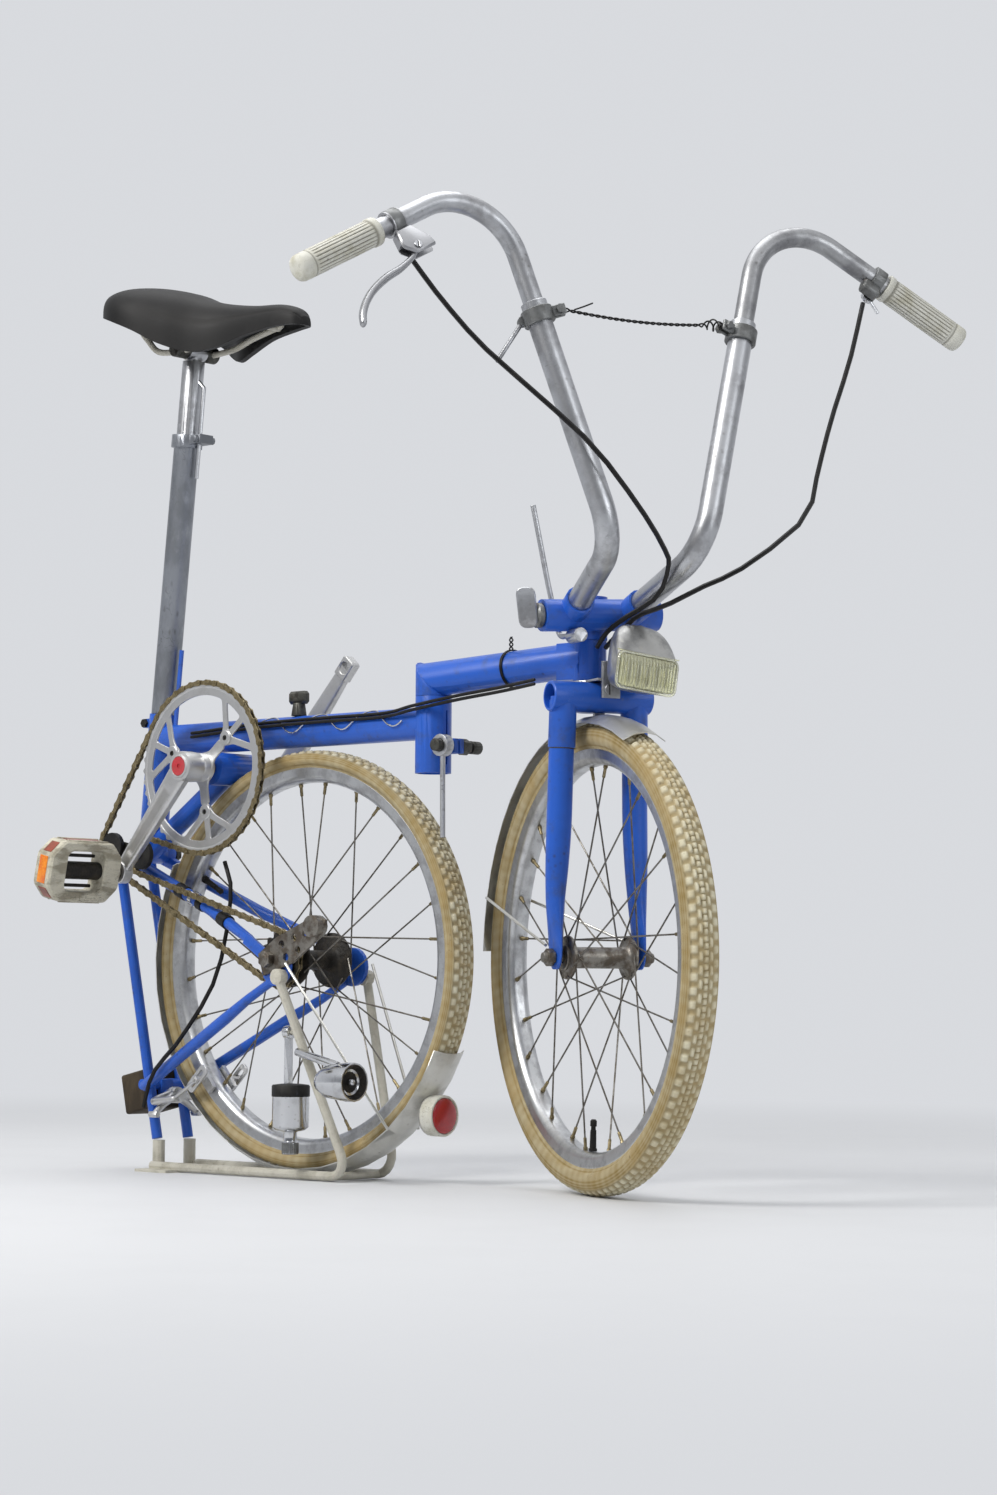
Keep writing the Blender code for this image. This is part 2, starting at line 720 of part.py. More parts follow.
def chainring():
    """Ring, three arms to the boss and three bolt bosses that branch to the ring."""
    pitch_radius = sprocket_radius(RING_TEETH)
    outer = pitch_radius - CHAIN_HALF_HEIGHT - GAP
    inner = outer - RING_BAND
    half = RING_THICK / 2
    centre = (CRANK_X, CHAIN_Y, CRANK_Z)
    ring = turned(
        [(inner, half), (outer, half), (outer, -half), (inner, -half)],
        centre,
        (0, 1, 0),
        40,
        True,
    )
    shapes = [rod(
        (CRANK_X, CHAIN_Y - 0.010, CRANK_Z),
        (CRANK_X, CHAIN_Y + 0.004, CRANK_Z),
        BOSS_RADIUS,
        sides=20,
    )]
    for start in (159, 39, 279):
        angle = math.radians(start)
        bolt = polar((CRANK_X, CRANK_Z), 0.049, angle, CHAIN_Y)
        hub_point = polar((CRANK_X, CRANK_Z), 0.010, angle, CHAIN_Y)
        shapes.append(rod((bolt[0], CHAIN_Y - 0.006, bolt[2]), (bolt[0], CHAIN_Y + 0.003, bolt[2]), 0.0095))
        bars = [(hub_point, bolt, 0.012)]
        for spread in (-27, 0, 27):
            end = polar((CRANK_X, CRANK_Z), (inner + outer) / 2, angle + math.radians(spread), CHAIN_Y)
            bars.append((bolt, end, 0.007))
        for first, second, width in bars:
            run = Vector(second) - Vector(first)
            turn = Matrix.Rotation(-math.atan2(run.z, run.x), 4, "Y")
            middle = (Vector(first) + Vector(second)) / 2
            shapes.append(block(middle, (run.length, RING_THICK * 0.86, width), turn))
    ring = joined(ring, *shapes)
    ring = cut(ring, rod((CRANK_X, -0.06, CRANK_Z), (CRANK_X, -0.03, CRANK_Z), SPINDLE_RADIUS + GAP))
    named(ring, "chainring", "crankset", ALUMINIUM, 0.35, 1.0)


def crank_arm(side_y, angle, eye_hole):
    centre = (CRANK_X, CRANK_Z)
    eye = polar(centre, CRANK_LENGTH, angle, side_y)
    run = Vector(eye) - Vector((CRANK_X, side_y, CRANK_Z))
    turn = Matrix.Rotation(-math.atan2(run.z, run.x), 4, "Y")
    outline = [
        (-CRANK_LENGTH / 2, -0.0135),
        (CRANK_LENGTH / 2 - 0.006, -CRANK_ARM_WIDTH * 0.44),
        (CRANK_LENGTH / 2 - 0.006, CRANK_ARM_WIDTH * 0.44),
        (-CRANK_LENGTH / 2, 0.0135),
    ]
    place = Matrix.Translation(Vector((CRANK_X, side_y, CRANK_Z)) + run / 2) @ turn
    upright = Matrix.Rotation(math.radians(90), 4, "X")
    half = CRANK_ARM_THICK / 2
    arm = joined(
        rounded(plate(outline, CRANK_ARM_THICK * 0.86, place @ upright), 0.0025, 1),
        rod((CRANK_X, side_y - half, CRANK_Z), (CRANK_X, side_y + half, CRANK_Z), BOSS_RADIUS, sides=20),
        rod((eye[0], side_y - half, eye[2]), (eye[0], side_y + half, eye[2]), 0.0125, sides=16),
    )
    if eye_hole:
        arm = cut(
            arm,
            rod((eye[0], side_y - 0.02, eye[2]), (eye[0], side_y + 0.02, eye[2]), eye_hole, sides=14),
        )
    return arm


def cranks():
    half = CRANK_ARM_THICK / 2
    square = SPINDLE_RADIUS
    spindle_right = RIGHT_ARM_Y - 0.001
    spindle_left = LEFT_ARM_Y + 0.001
    right = crank_arm(RIGHT_ARM_Y, CRANK_ANGLE, 0.0052)
    sleeve_end = CHAIN_Y - 0.010 - GAP
    right = joined(
        right,
        rod((CRANK_X, RIGHT_ARM_Y, CRANK_Z), (CRANK_X, sleeve_end, CRANK_Z), BOSS_RADIUS, sides=20),
        rod(
            (CRANK_X, RIGHT_ARM_Y - half, CRANK_Z),
            (CRANK_X, RIGHT_ARM_Y - half - 0.0025, CRANK_Z),
            0.0110,
            sides=20,
        ),
    )
    spindle_cut = rod((CRANK_X, spindle_right - GAP, CRANK_Z), (CRANK_X, -0.03, CRANK_Z), square + GAP)
    named(cut(right, spindle_cut), "right_crank", "crankset", ALUMINIUM, 0.35, 1.0)
    left = crank_arm(LEFT_ARM_Y, CRANK_ANGLE + math.pi, 0.0068)
    left = cut(left, rod((CRANK_X, 0.03, CRANK_Z), (CRANK_X, spindle_left + GAP, CRANK_Z), square + GAP))
    named(left, "left_crank", "crankset", ALUMINIUM, 0.35, 1.0)
    spindle = rod((CRANK_X, spindle_right, CRANK_Z), (CRANK_X, spindle_left, CRANK_Z), square)
    named(spindle, "crank_spindle", "crankset", DULL_STEEL, 0.4, 1.0)


def pedal():
    """Axle in the crank's eye, and a chamfered open frame with a barrel along the axle."""
    eye = polar((CRANK_X, CRANK_Z), CRANK_LENGTH, CRANK_ANGLE, RIGHT_ARM_Y)
    x, z = eye[0], eye[2]
    face = RIGHT_ARM_Y - CRANK_ARM_THICK / 2
    start = face - PEDAL_START + 0.006
    end = start - PEDAL_LENGTH
    pin = joined(
        rod((x, RIGHT_ARM_Y + CRANK_ARM_THICK / 2, z), (x, end + 0.012, z), 0.0049, sides=12),
        rod((x, face - GAP, z), (x, face - 0.004, z), 0.0085, sides=12),
    )
    named(pin, "pedal_axle", "crankset", DULL_STEEL, 0.4, 1.0)
    middle = (x, (start + end) / 2, z)
    w, l, c = PEDAL_WIDTH / 2, PEDAL_LENGTH / 2, 0.016
    outline = [
        (w, l - c),
        (w - c, l),
        (c - w, l),
        (-w, l - c),
        (-w, c - l),
        (c - w, -l),
        (w - c, -l),
        (w, c - l),
    ]
    tilt = Matrix.Rotation(PEDAL_TILT, 4, "Y")
    frame = plate(outline, PEDAL_HEIGHT, Matrix.Translation(middle) @ tilt)
    inside = [(px * 0.68, py * 0.80) for px, py in outline]
    frame = cut(frame, plate(inside, PEDAL_HEIGHT * 2, Matrix.Translation(middle) @ tilt))
    frame = joined(frame, rod((x, start + 0.001, z), (x, end + 0.004, z), 0.0105, sides=16))
    frame = cut(frame, rod((x, start + 0.02, z), (x, end + 0.011, z), 0.0049 + GAP, sides=12))
    named(frame, "pedal_body", "pedal", CREAM, 0.5)


# Chain

def chain_band(route, name, body):
    """A band of the chain's width and height that follows a route of (x, z) points."""
    height = CHAIN_HALF_HEIGHT
    left, right = [], []
    for i, point in enumerate(route):
        before = Vector(route[max(i - 1, 0)])
        after = Vector(route[min(i + 1, len(route) - 1)])
        along = (after - before).normalized()
        side = Vector((-along.y, along.x)) * height
        left.append(Vector(point) + side)
        right.append(Vector(point) - side)
    upright = Matrix.Rotation(math.radians(90), 4, "X")
    outline = [tuple(p) for p in left + right[::-1]]
    band = plate(outline, CHAIN_WIDTH, Matrix.Translation((0, CHAIN_Y, 0)) @ upright)
    return named(band, name, body, BRASS, 0.55, 1.0)


def arc(centre, radius, start, end, count):
    """Points from one angle to another, in degrees."""
    step = (end - start) / count
    angles = [math.radians(start + step * i) for i in range(count + 1)]
    return [(centre[0] + radius * math.cos(a), centre[1] + radius * math.sin(a)) for a in angles]


def tangent(first, first_radius, second, second_radius, turn):
    """The angle of the chain's contact on the first wheel; a negative second radius makes it cross over."""
    x, z = second[0] - first[0], second[1] - first[1]
    lean = math.acos((first_radius - second_radius) / math.hypot(x, z))
    return math.degrees(math.atan2(z, x) + turn * lean)


def chain():
    """The chain runs over the ring, under the upper pulley, round the sprocket and back by the lower one."""
    big = sprocket_radius(RING_TEETH)
    small = sprocket_radius(PULLEY_TEETH)
    driven = sprocket_radius(SPROCKET_TEETH)
    ring_centre = (CRANK_X, CRANK_Z)
    hub_centre = (REAR_AXLE_X, REAR_AXLE_Z)
    top = tangent(ring_centre, big, LOWER_PULLEY, small, -1) % 360
    bottom = tangent(ring_centre, big, UPPER_PULLEY, -small, 1)
    leave = tangent(UPPER_PULLEY, small, hub_centre, -driven, -1) % 360
    under = tangent(LOWER_PULLEY, small, hub_centre, driven, -1) % 360
    front = arc(LOWER_PULLEY, small, under, top, 6)
    front += arc(ring_centre, big, top, bottom, 30)
    front += arc(UPPER_PULLEY, small, bottom + 180, leave, 8)
    chain_band(front, "chain_front", "root")
    upper_end, lower_end = front[-1], front[0]
    wrap = arc(hub_centre, driven, leave - 180, under - 360, 12)
    first = (Vector(wrap[0]) - Vector(upper_end)).normalized() * CHAIN_JOIN
    last = (Vector(wrap[-1]) - Vector(lower_end)).normalized() * CHAIN_JOIN
    rear = [tuple(Vector(upper_end) + first), *wrap, tuple(Vector(lower_end) + last)]
    chain_band(rear, "chain_rear", "rear_frame")
    outer = driven - CHAIN_HALF_HEIGHT - GAP
    carrier = HUB_BARREL_RADIUS + 0.004
    half = [(AXLE_RADIUS + GAP, 0.003), (carrier, 0.003), (carrier, 0.0013), (outer - GAP, 0.0013)]
    profile = half + [(radius, -height) for radius, height in reversed(half)]
    disc = turned(profile, (REAR_AXLE_X, CHAIN_Y, REAR_AXLE_Z), (0, 1, 0), 20, True)
    named(disc, "sprocket", "sprocket", DULL_STEEL, 0.5, 1.0)


# Rear frame

def rear_frame():
    top_x, top_z = UPRIGHT_TOP
    foot_x, foot_z = UPRIGHT_FOOT
    apex_x, apex_z = APEX
    shapes = []
    for side in (-1, 1):
        plate_low = side * (DROPOUT_SIDE - REAR_DROPOUT_THICK / 2)
        plate_high = side * (DROPOUT_SIDE + REAR_DROPOUT_THICK / 2)
        tongue = Vector((REAR_AXLE_X + 0.006, 0, REAR_AXLE_Z - 0.007)) - Vector((
            STAY_END[0],
            0,
            STAY_END[2],
        ))
        tongue_turn = Matrix.Rotation(-math.atan2(tongue.z, tongue.x), 4, "Y")
        tongue_middle = Vector((STAY_END[0], side * DROPOUT_SIDE, STAY_END[2])) + tongue * 0.42
        ear_end = STAY_START_SIDE + CHAINSTAY_RADIUS - 0.002
        shapes += [
            rod(
                (top_x, side * UPRIGHT_SIDE, top_z),
                (foot_x, side * UPRIGHT_SIDE, foot_z),
                UPRIGHT_RADIUS,
                sides=12,
            ),
            tapered(
                [
                    ((top_x, side * STAY_START_SIDE, top_z + 0.004), CHAINSTAY_RADIUS),
                    ((STAY_KNEE[0], side * STAY_KNEE[1], STAY_KNEE[2]), CHAINSTAY_RADIUS),
                    ((STAY_END[0], side * STAY_END[1], STAY_END[2]), 0.0054),
                ],
                12,
            ),
            tapered(
                [
                    ((apex_x, side * APEX_SIDE, apex_z - 0.002), SEATSTAY_RADIUS),
                    ((0.110, side * 0.0488, 0.1682), SEATSTAY_RADIUS),
                    ((0.152, side * 0.0553, 0.1897), 0.0050),
                    ((REAR_AXLE_X - 0.002, side * 0.0551, REAR_AXLE_Z - 0.0225), 0.0047),
                ],
                12,
            ),
            rod(
                (PIVOT_X, side * (PIVOT_LUG_HALF + GAP), PIVOT_Z),
                (PIVOT_X, side * ear_end, PIVOT_Z),
                0.0105,
            ),
            block(tongue_middle, (tongue.length * 0.95, REAR_DROPOUT_THICK * 0.9, 0.012), tongue_turn),
            rod(
                (REAR_AXLE_X + 0.006, plate_low, REAR_AXLE_Z - 0.007),
                (REAR_AXLE_X + 0.006, plate_high, REAR_AXLE_Z - 0.007),
                REAR_DROPOUT_RADIUS,
                sides=20,
            ),
        ]
    bridge_side = APEX_SIDE + 0.004
    shapes.append(rod(
        (apex_x, -bridge_side, apex_z),
        (apex_x, bridge_side, apex_z),
        UPRIGHT_RADIUS,
        sides=12,
    ))
    shapes.append(block(
        (apex_x + 0.0045, BRAKE_SIDE, (apex_z + BRAKE_Z) / 2 - 0.002),
        (0.006, 0.016, 0.026),
    ))
    shapes.append(rod(
        (apex_x + 0.003, BRAKE_SIDE, BRAKE_Z),
        (BRAKE_X - 0.0026, BRAKE_SIDE, BRAKE_Z),
        0.006,
        sides=12,
    ))
    shapes.append(rod(
        (apex_x + 0.004, BRAKE_SIDE, BRAKE_Z),
        (BRAKE_X + 0.0125, BRAKE_SIDE, BRAKE_Z),
        BRAKE_BOLT_RADIUS,
        sides=12,
    ))
    frame = joined(*shapes)
    frame = cut(
        frame,
        rod((PIVOT_X, -0.06, PIVOT_Z), (PIVOT_X, 0.06, PIVOT_Z), PIVOT_RADIUS + GAP, sides=12),
        rod(
            (REAR_AXLE_X, -0.09, REAR_AXLE_Z),
            (REAR_AXLE_X, 0.09, REAR_AXLE_Z),
            AXLE_RADIUS + GAP,
            sides=12,
        ),
    )
    named(frame, "rear_frame", "rear_frame", BLUE, 0.35)


def bumper():
    """Rubber block behind the uprights, with the bracket that ties it to them."""
    top, foot = Vector((UPRIGHT_TOP[0], 0, UPRIGHT_TOP[1])), Vector((UPRIGHT_FOOT[0], 0, UPRIGHT_FOOT[1]))
    along = (foot - top).normalized()
    behind = Vector((-1, 0, 0))
    turn = Matrix.Rotation(math.atan2(-along.x, -along.z), 4, "Y")
    height = APEX[1] - 0.009
    seat = top + (foot - top) * (top.z - height) / (top.z - foot.z)
    offset = (UPRIGHT_RADIUS + GAP + BUMPER_DEPTH / 2) / -along.z
    body = rounded(
        block(seat + behind * offset, (BUMPER_DEPTH, BUMPER_WIDTH, BUMPER_LENGTH), turn),
        0.002,
        1,
    )
    named(body, "bumper_block", "rear_frame", BLACK, 0.85)


def rack():
    """Two rods and their cross plates, which the folded bike stands on, and the struts to the dropouts."""
    rear_x = UPRIGHT_FOOT[0] + 0.004
    length, width, thick = RACK_PLATE
    shapes = []
    for side in (-1, 1):
        knee = (STRUT_KNEE[0], side * STRUT_KNEE[1], RACK_ROD_Z)
        strut = (STRUT_TOP[0], side * STRUT_TOP[1], STRUT_TOP[2])
        route = bent([(rear_x, side * RACK_SIDE, RACK_ROD_Z), knee, strut], 0.018, math.radians(22))
        shapes.append(tube(route, RACK_ROD_RADIUS, 3))
        inner = (STRUT_TOP[0], side * (DROPOUT_SIDE + REAR_DROPOUT_THICK / 2 + GAP), STRUT_TOP[2])
        outer = (STRUT_TOP[0], side * (STRUT_TOP[1] + 0.0035), STRUT_TOP[2])
        shapes.append(rod(inner, outer, 0.0085, sides=12))
        foot_top = UPRIGHT_FOOT[1] - 0.0016
        shapes.append(rod(
            (rear_x - 0.0013, side * UPRIGHT_SIDE, RACK_ROD_Z),
            (rear_x - 0.0013, side * UPRIGHT_SIDE, foot_top),
            0.0068,
            sides=10,
        ))
        stub_x = rear_x + 0.0053
        shapes.append(rod(
            (stub_x, side * UPRIGHT_SIDE, RACK_ROD_Z),
            (stub_x, side * RACK_SIDE, RACK_ROD_Z),
            0.0041,
            sides=10,
        ))
    shapes.append(block((0, 0, thick / 2), (length, width, thick)))
    pin_x, pin_y, pin_z = DYNAMO_PIN
    hanger = strut_point(pin_z)
    shapes.append(rod((pin_x, pin_y, pin_z), (DYNAMO_PIN_START, pin_y, pin_z), DYNAMO_PIN_RADIUS, sides=10))
    shapes.append(rod(
        (DYNAMO_PIN_START - 0.001, pin_y, pin_z),
        (hanger[0] + 0.001, hanger[1], pin_z),
        0.0038,
        sides=10,
    ))
    shapes.append(rod(
        (RACK_CROSS_X, -RACK_SIDE, RACK_ROD_Z),
        (RACK_CROSS_X, RACK_SIDE, RACK_ROD_Z),
        0.004,
        sides=10,
    ))
    named(joined(*shapes), "rack", "rear_frame", CREAM, 0.5)


def guard(place, radius, start, end, steps):
    """A curved strip round the wheel: crowned across, a skin thick, from one angle to another in degrees."""
    across = 4
    bm = bmesh.new()
    rows = []
    for layer in (0.0, GUARD_SKIN):
        grid = []
        for i in range(steps + 1):
            angle = math.radians(start + (end - start) * i / steps)
            row = []
            for j in range(across + 1):
                t = 2 * j / across - 1
                r = radius - GUARD_DROP * t * t + layer
                row.append(bm.verts.new((r * math.cos(angle), t * GUARD_HALF_WIDTH, r * math.sin(angle))))
            grid.append(row)
        rows.append(grid)
    low, high = rows
    for i in range(steps):
        for j in range(across):
            bm.faces.new((low[i][j], low[i + 1][j], low[i + 1][j + 1], low[i][j + 1]))
            bm.faces.new((high[i][j], high[i][j + 1], high[i + 1][j + 1], high[i + 1][j]))
        for j in (0, across):
            bm.faces.new((low[i][j], low[i + 1][j], high[i + 1][j], high[i][j]))
    for i in (0, steps):
        for j in range(across):
            bm.faces.new((low[i][j], low[i][j + 1], high[i][j + 1], high[i][j]))
    bm.transform(place)
    return solid_from(bm)


def rear_guard():
    centre = (REAR_AXLE_X, REAR_AXLE_Z)
    place = Matrix.Translation((REAR_AXLE_X, 0, REAR_AXLE_Z))
    strip = guard(place, REAR_GUARD_RADIUS - GUARD_SKIN, -24.8, -208.0, 20)
    shapes = [strip]
    stay_y = DROPOUT_SIDE + REAR_DROPOUT_THICK / 2 + TORQUE_THICK + 0.0025
    for side in (-1, 1):
        edge = polar(
            centre,
            REAR_GUARD_RADIUS - GUARD_DROP + 0.001,
            math.radians(-52),
            side * (GUARD_HALF_WIDTH + 0.0002),
        )
        root = (REAR_AXLE_X + 0.027, side * stay_y, REAR_AXLE_Z - 0.004)
        shapes.append(rod(root, edge, 0.0016, sides=6))
    angle = math.radians(REFLECTOR_ANGLE)
    skin = Vector(polar(centre, REAR_GUARD_RADIUS + 0.0015, angle, 0))
    base = skin + Vector((0.010, 0, 0.0))
    shapes.append(rod(skin, base + Vector((0.001, 0, 0)), 0.004, sides=10))
    shapes.append(rod(base, base + Vector((REFLECTOR_LENGTH - 0.003, 0, 0)), REFLECTOR_RADIUS, sides=20))
    shapes.append(rod(base, base + Vector((REFLECTOR_LENGTH, 0, 0)), REFLECTOR_RADIUS - 0.003, sides=20))
    named(joined(*shapes), "rear_guard_and_reflector", "rear_frame", ALUMINIUM, 0.45, 0.6)


def rear_lamp():
    """A bullet lamp facing forward, on a clip round the right rack strut."""
    x, y, z = REAR_LAMP
    front = x + REAR_LAMP_LENGTH / 2
    back = x - REAR_LAMP_LENGTH / 2
    r = REAR_LAMP_RADIUS
    profile = [
        (0.0, front - 0.010),
        (r - 0.006, front - 0.006),
        (r - 0.0025, front),
        (r, front),
        (r, front - 0.012),
        (r * 0.86, back + 0.016),
        (r * 0.55, back + 0.004),
        (0.0, back),
    ]
    shell = turned([(radius, height - x) for radius, height in profile], (x, y, z), (1, 0, 0), steps=16)
    clip_top = strut_point(0.135)
    clip = rod(
        (clip_top[0], clip_top[1] - RACK_ROD_RADIUS - 0.0049, clip_top[2]),
        (x - 0.002, y + 0.004, z + r - 0.004),
        0.0045,
        sides=8,
    )
    named(joined(shell, clip), "rear_lamp", "rear_frame", ALUMINIUM, 0.35, 1.0)


def strut_point(z, side=-1):
    """The point at height z on a rack strut's axis."""
    t = (STRUT_TOP[2] - z) / (STRUT_TOP[2] - RACK_ROD_RADIUS)
    return (
        STRUT_TOP[0] + t * (STRUT_KNEE[0] - STRUT_TOP[0]),
        side * (STRUT_TOP[1] + t * (STRUT_KNEE[1] - STRUT_TOP[1])),
        z,
    )


def dynamo():
    """A bottle dynamo beside the tyre: body, cap, neck and roller, hung from the right seatstay."""
    x, y, z = DYNAMO
    top = z + DYNAMO_HEIGHT / 2
    low = z - DYNAMO_HEIGHT / 2
    r = DYNAMO_RADIUS
    neck = low - 0.012
    profile = [
        (0.0, top + 0.006),
        (r * 0.55, top + 0.005),
        (r * 1.03, top + 0.001),
        (r * 1.03, top - 0.005),
        (r, top - 0.006),
        (r, low + 0.003),
        (r * 0.80, low),
        (ROLLER_RADIUS, low - 0.002),
        (ROLLER_RADIUS, neck),
        (ROLLER_RADIUS + 0.0015, neck - 0.001),
        (ROLLER_RADIUS + 0.0015, neck - 0.013),
        (0.0, neck - 0.013),
    ]
    body = turned([(radius, height - z) for radius, height in profile], (x, y, z), (0, 0, 1), steps=14)
    arm = block(
        (x - 0.004, y, (top + DYNAMO_PIN[2]) / 2 + 0.001),
        (0.0072, 0.006, DYNAMO_PIN[2] - top - 0.002),
    )
    pin_low, pin_high = DYNAMO_PIN_START, DYNAMO_PIN
    eye = rod((x - 0.008, y, pin_high[2]), (x, y, pin_high[2]), 0.007, sides=12)
    bore = rod(
        (pin_high[0] - 0.02, y, pin_high[2]),
        (pin_low + 0.02, y, pin_high[2]),
        DYNAMO_PIN_RADIUS + GAP,
        sides=10,
    )
    named(cut(joined(body, arm, eye), bore), "dynamo", "dynamo", ALUMINIUM, 0.3, 1.0)


def torque_arm():
    """The drilled plate on the right end of the rear axle, with a round boss at its tip."""
    inner = DROPOUT_SIDE + REAR_DROPOUT_THICK / 2 + GAP
    y = -(inner + TORQUE_THICK / 2)
    slope = math.radians(TORQUE_ANGLE)
    turn = Matrix.Rotation(-slope, 4, "Y")
    upright = Matrix.Rotation(math.radians(90), 4, "X")
    outline = [
        (-0.015, -0.012),
        (0.030, -0.019),
        (0.082, -0.012),
        (0.093, 0.0),
        (0.082, 0.011),
        (0.020, 0.016),
        (-0.012, 0.012),
    ]
    place = Matrix.Translation((REAR_AXLE_X, y, REAR_AXLE_Z)) @ turn @ upright
    body = plate(outline, TORQUE_THICK, place)
    tip = polar((REAR_AXLE_X, REAR_AXLE_Z), 0.078, slope, y)
    body = joined(body, rod((tip[0], y + 0.004, tip[2]), (tip[0], y - 0.010, tip[2]), 0.0115, sides=16))
    holes = [rod(
        (REAR_AXLE_X, y - 0.02, REAR_AXLE_Z),
        (REAR_AXLE_X, y + 0.02, REAR_AXLE_Z),
        AXLE_RADIUS + GAP,
        sides=12,
    )]
    for along, aside in ((0.024, 0.006), (0.024, -0.009), (0.043, 0.004), (0.043, -0.010), (0.060, 0.000)):
        spot = polar((REAR_AXLE_X, REAR_AXLE_Z), along, slope, y)
        x = spot[0] - aside * math.sin(slope)
        z = spot[2] + aside * math.cos(slope)
        holes.append(rod((x, y - 0.02, z), (x, y + 0.02, z), 0.0042, sides=10))
    named(cut(body, *holes), "drilled_hub_arm", "rear_frame", ALUMINIUM, 0.4, 1.0)


def rear_brake():
    """Two caliper arms on one bolt, each with a slotted shoe holder beside the rim."""
    centre = (REAR_AXLE_X, REAR_AXLE_Z)
    for side, name in ((-1, "right_brake_arm"), (1, "left_brake_arm")):
        layer = BRAKE_X if side < 0 else BRAKE_X + 0.006
        pad = polar(centre, RIM_RADIUS - BRAKE_PAD_DEPTH, BRAKE_PAD_ANGLE, side * 0.0185)
        elbow = (layer, side * 0.034, BRAKE_Z - 0.007)
        hinge = (layer, BRAKE_SIDE, BRAKE_Z)
        lever = (layer, -side * 0.034 + BRAKE_SIDE, BRAKE_Z - 0.020)
        crook = (0.012, side * 0.0325, BRAKE_Z - 0.003)
        arm = joined(
            rod((layer - 0.0022, BRAKE_SIDE, BRAKE_Z), (layer + 0.0022, BRAKE_SIDE, BRAKE_Z), 0.009),
            rod(lever, hinge, 0.0018, sides=8),
            rod(hinge, elbow, 0.0021, sides=8),
            tapered(
                [
                    ((layer - 0.002, side * 0.034, BRAKE_Z - 0.007), 0.0026),
                    (crook, 0.0023),
                    ((pad[0], side * 0.0290, pad[2]), 0.0023),
                ],
                8,
            ),
            rod((pad[0], side * 0.0315, pad[2]), (pad[0], side * 0.0172, pad[2]), 0.0034, sides=8),
            block(
                (pad[0], side * 0.0158, pad[2]),
                (0.010, 0.0048, 0.030),
                Matrix.Rotation(BRAKE_PAD_TURN, 4, "Y"),
            ),
        )
        bore = rod(
            (layer - 0.02, BRAKE_SIDE, BRAKE_Z),
            (layer + 0.02, BRAKE_SIDE, BRAKE_Z),
            BRAKE_BOLT_RADIUS + GAP,
            sides=12,
        )
        named(cut(arm, bore), name, name, ALUMINIUM, 0.4, 1.0)


# Front frame, fork and stem

def half_space(point, normal, size=0.4):
    """A large block that fills the side of a plane that its normal points to."""
    turn = Vector(normal).to_track_quat("Z", "Y").to_matrix().to_4x4()
    return block(Vector(point) + Vector(normal).normalized() * size / 2, (size, size, size), turn)


def front_frame():
    corner = (SLEEVE_X, 0, UPPER_TUBE_REAR_Z)
    mitre = Vector((1, 0, 1))
    rise = (UPPER_TUBE_FRONT_Z - UPPER_TUBE_REAR_Z) / 0.180
    slope_end = (STEER_X, 0, UPPER_TUBE_REAR_Z + rise * (STEER_X - SLEEVE_X))
    start = (SLEEVE_X - 0.03, 0, UPPER_TUBE_REAR_Z - rise * 0.03)
    shoulder = SLEEVE_TOP + GAP
    upright = cut(
        rod((SLEEVE_X, 0, shoulder), (SLEEVE_X, 0, UPPER_TUBE_REAR_Z + 0.05), SLEEVE_RADIUS, sides=20),
        half_space(corner, mitre),
    )
    run = cut(rod(start, slope_end, UPPER_TUBE_RADIUS, sides=20), half_space(corner, -mitre))
    frame = joined(
        rod(
            (SLEEVE_X, 0, SLEEVE_BOTTOM + 0.004),
            (SLEEVE_X, 0, shoulder + 0.004),
            HINGE_POST_RADIUS,
            sides=20,
        ),
        upright,
        run,
        rod((STEER_X, 0, HEAD_TUBE_BOTTOM), (STEER_X, 0, HEAD_TUBE_TOP), HEAD_TUBE_RADIUS, sides=20),
        block((STEER_X - 0.016, 0, 0.528), (0.030, 0.030, 0.037)),
    )
    bore = rod((STEER_X, 0, 0.45), (STEER_X, 0, 0.60), STEERER_RADIUS + GAP, sides=20)
    frame = cut(frame, bore)
    named(frame, "front_frame", "front_frame", BLUE, 0.35)


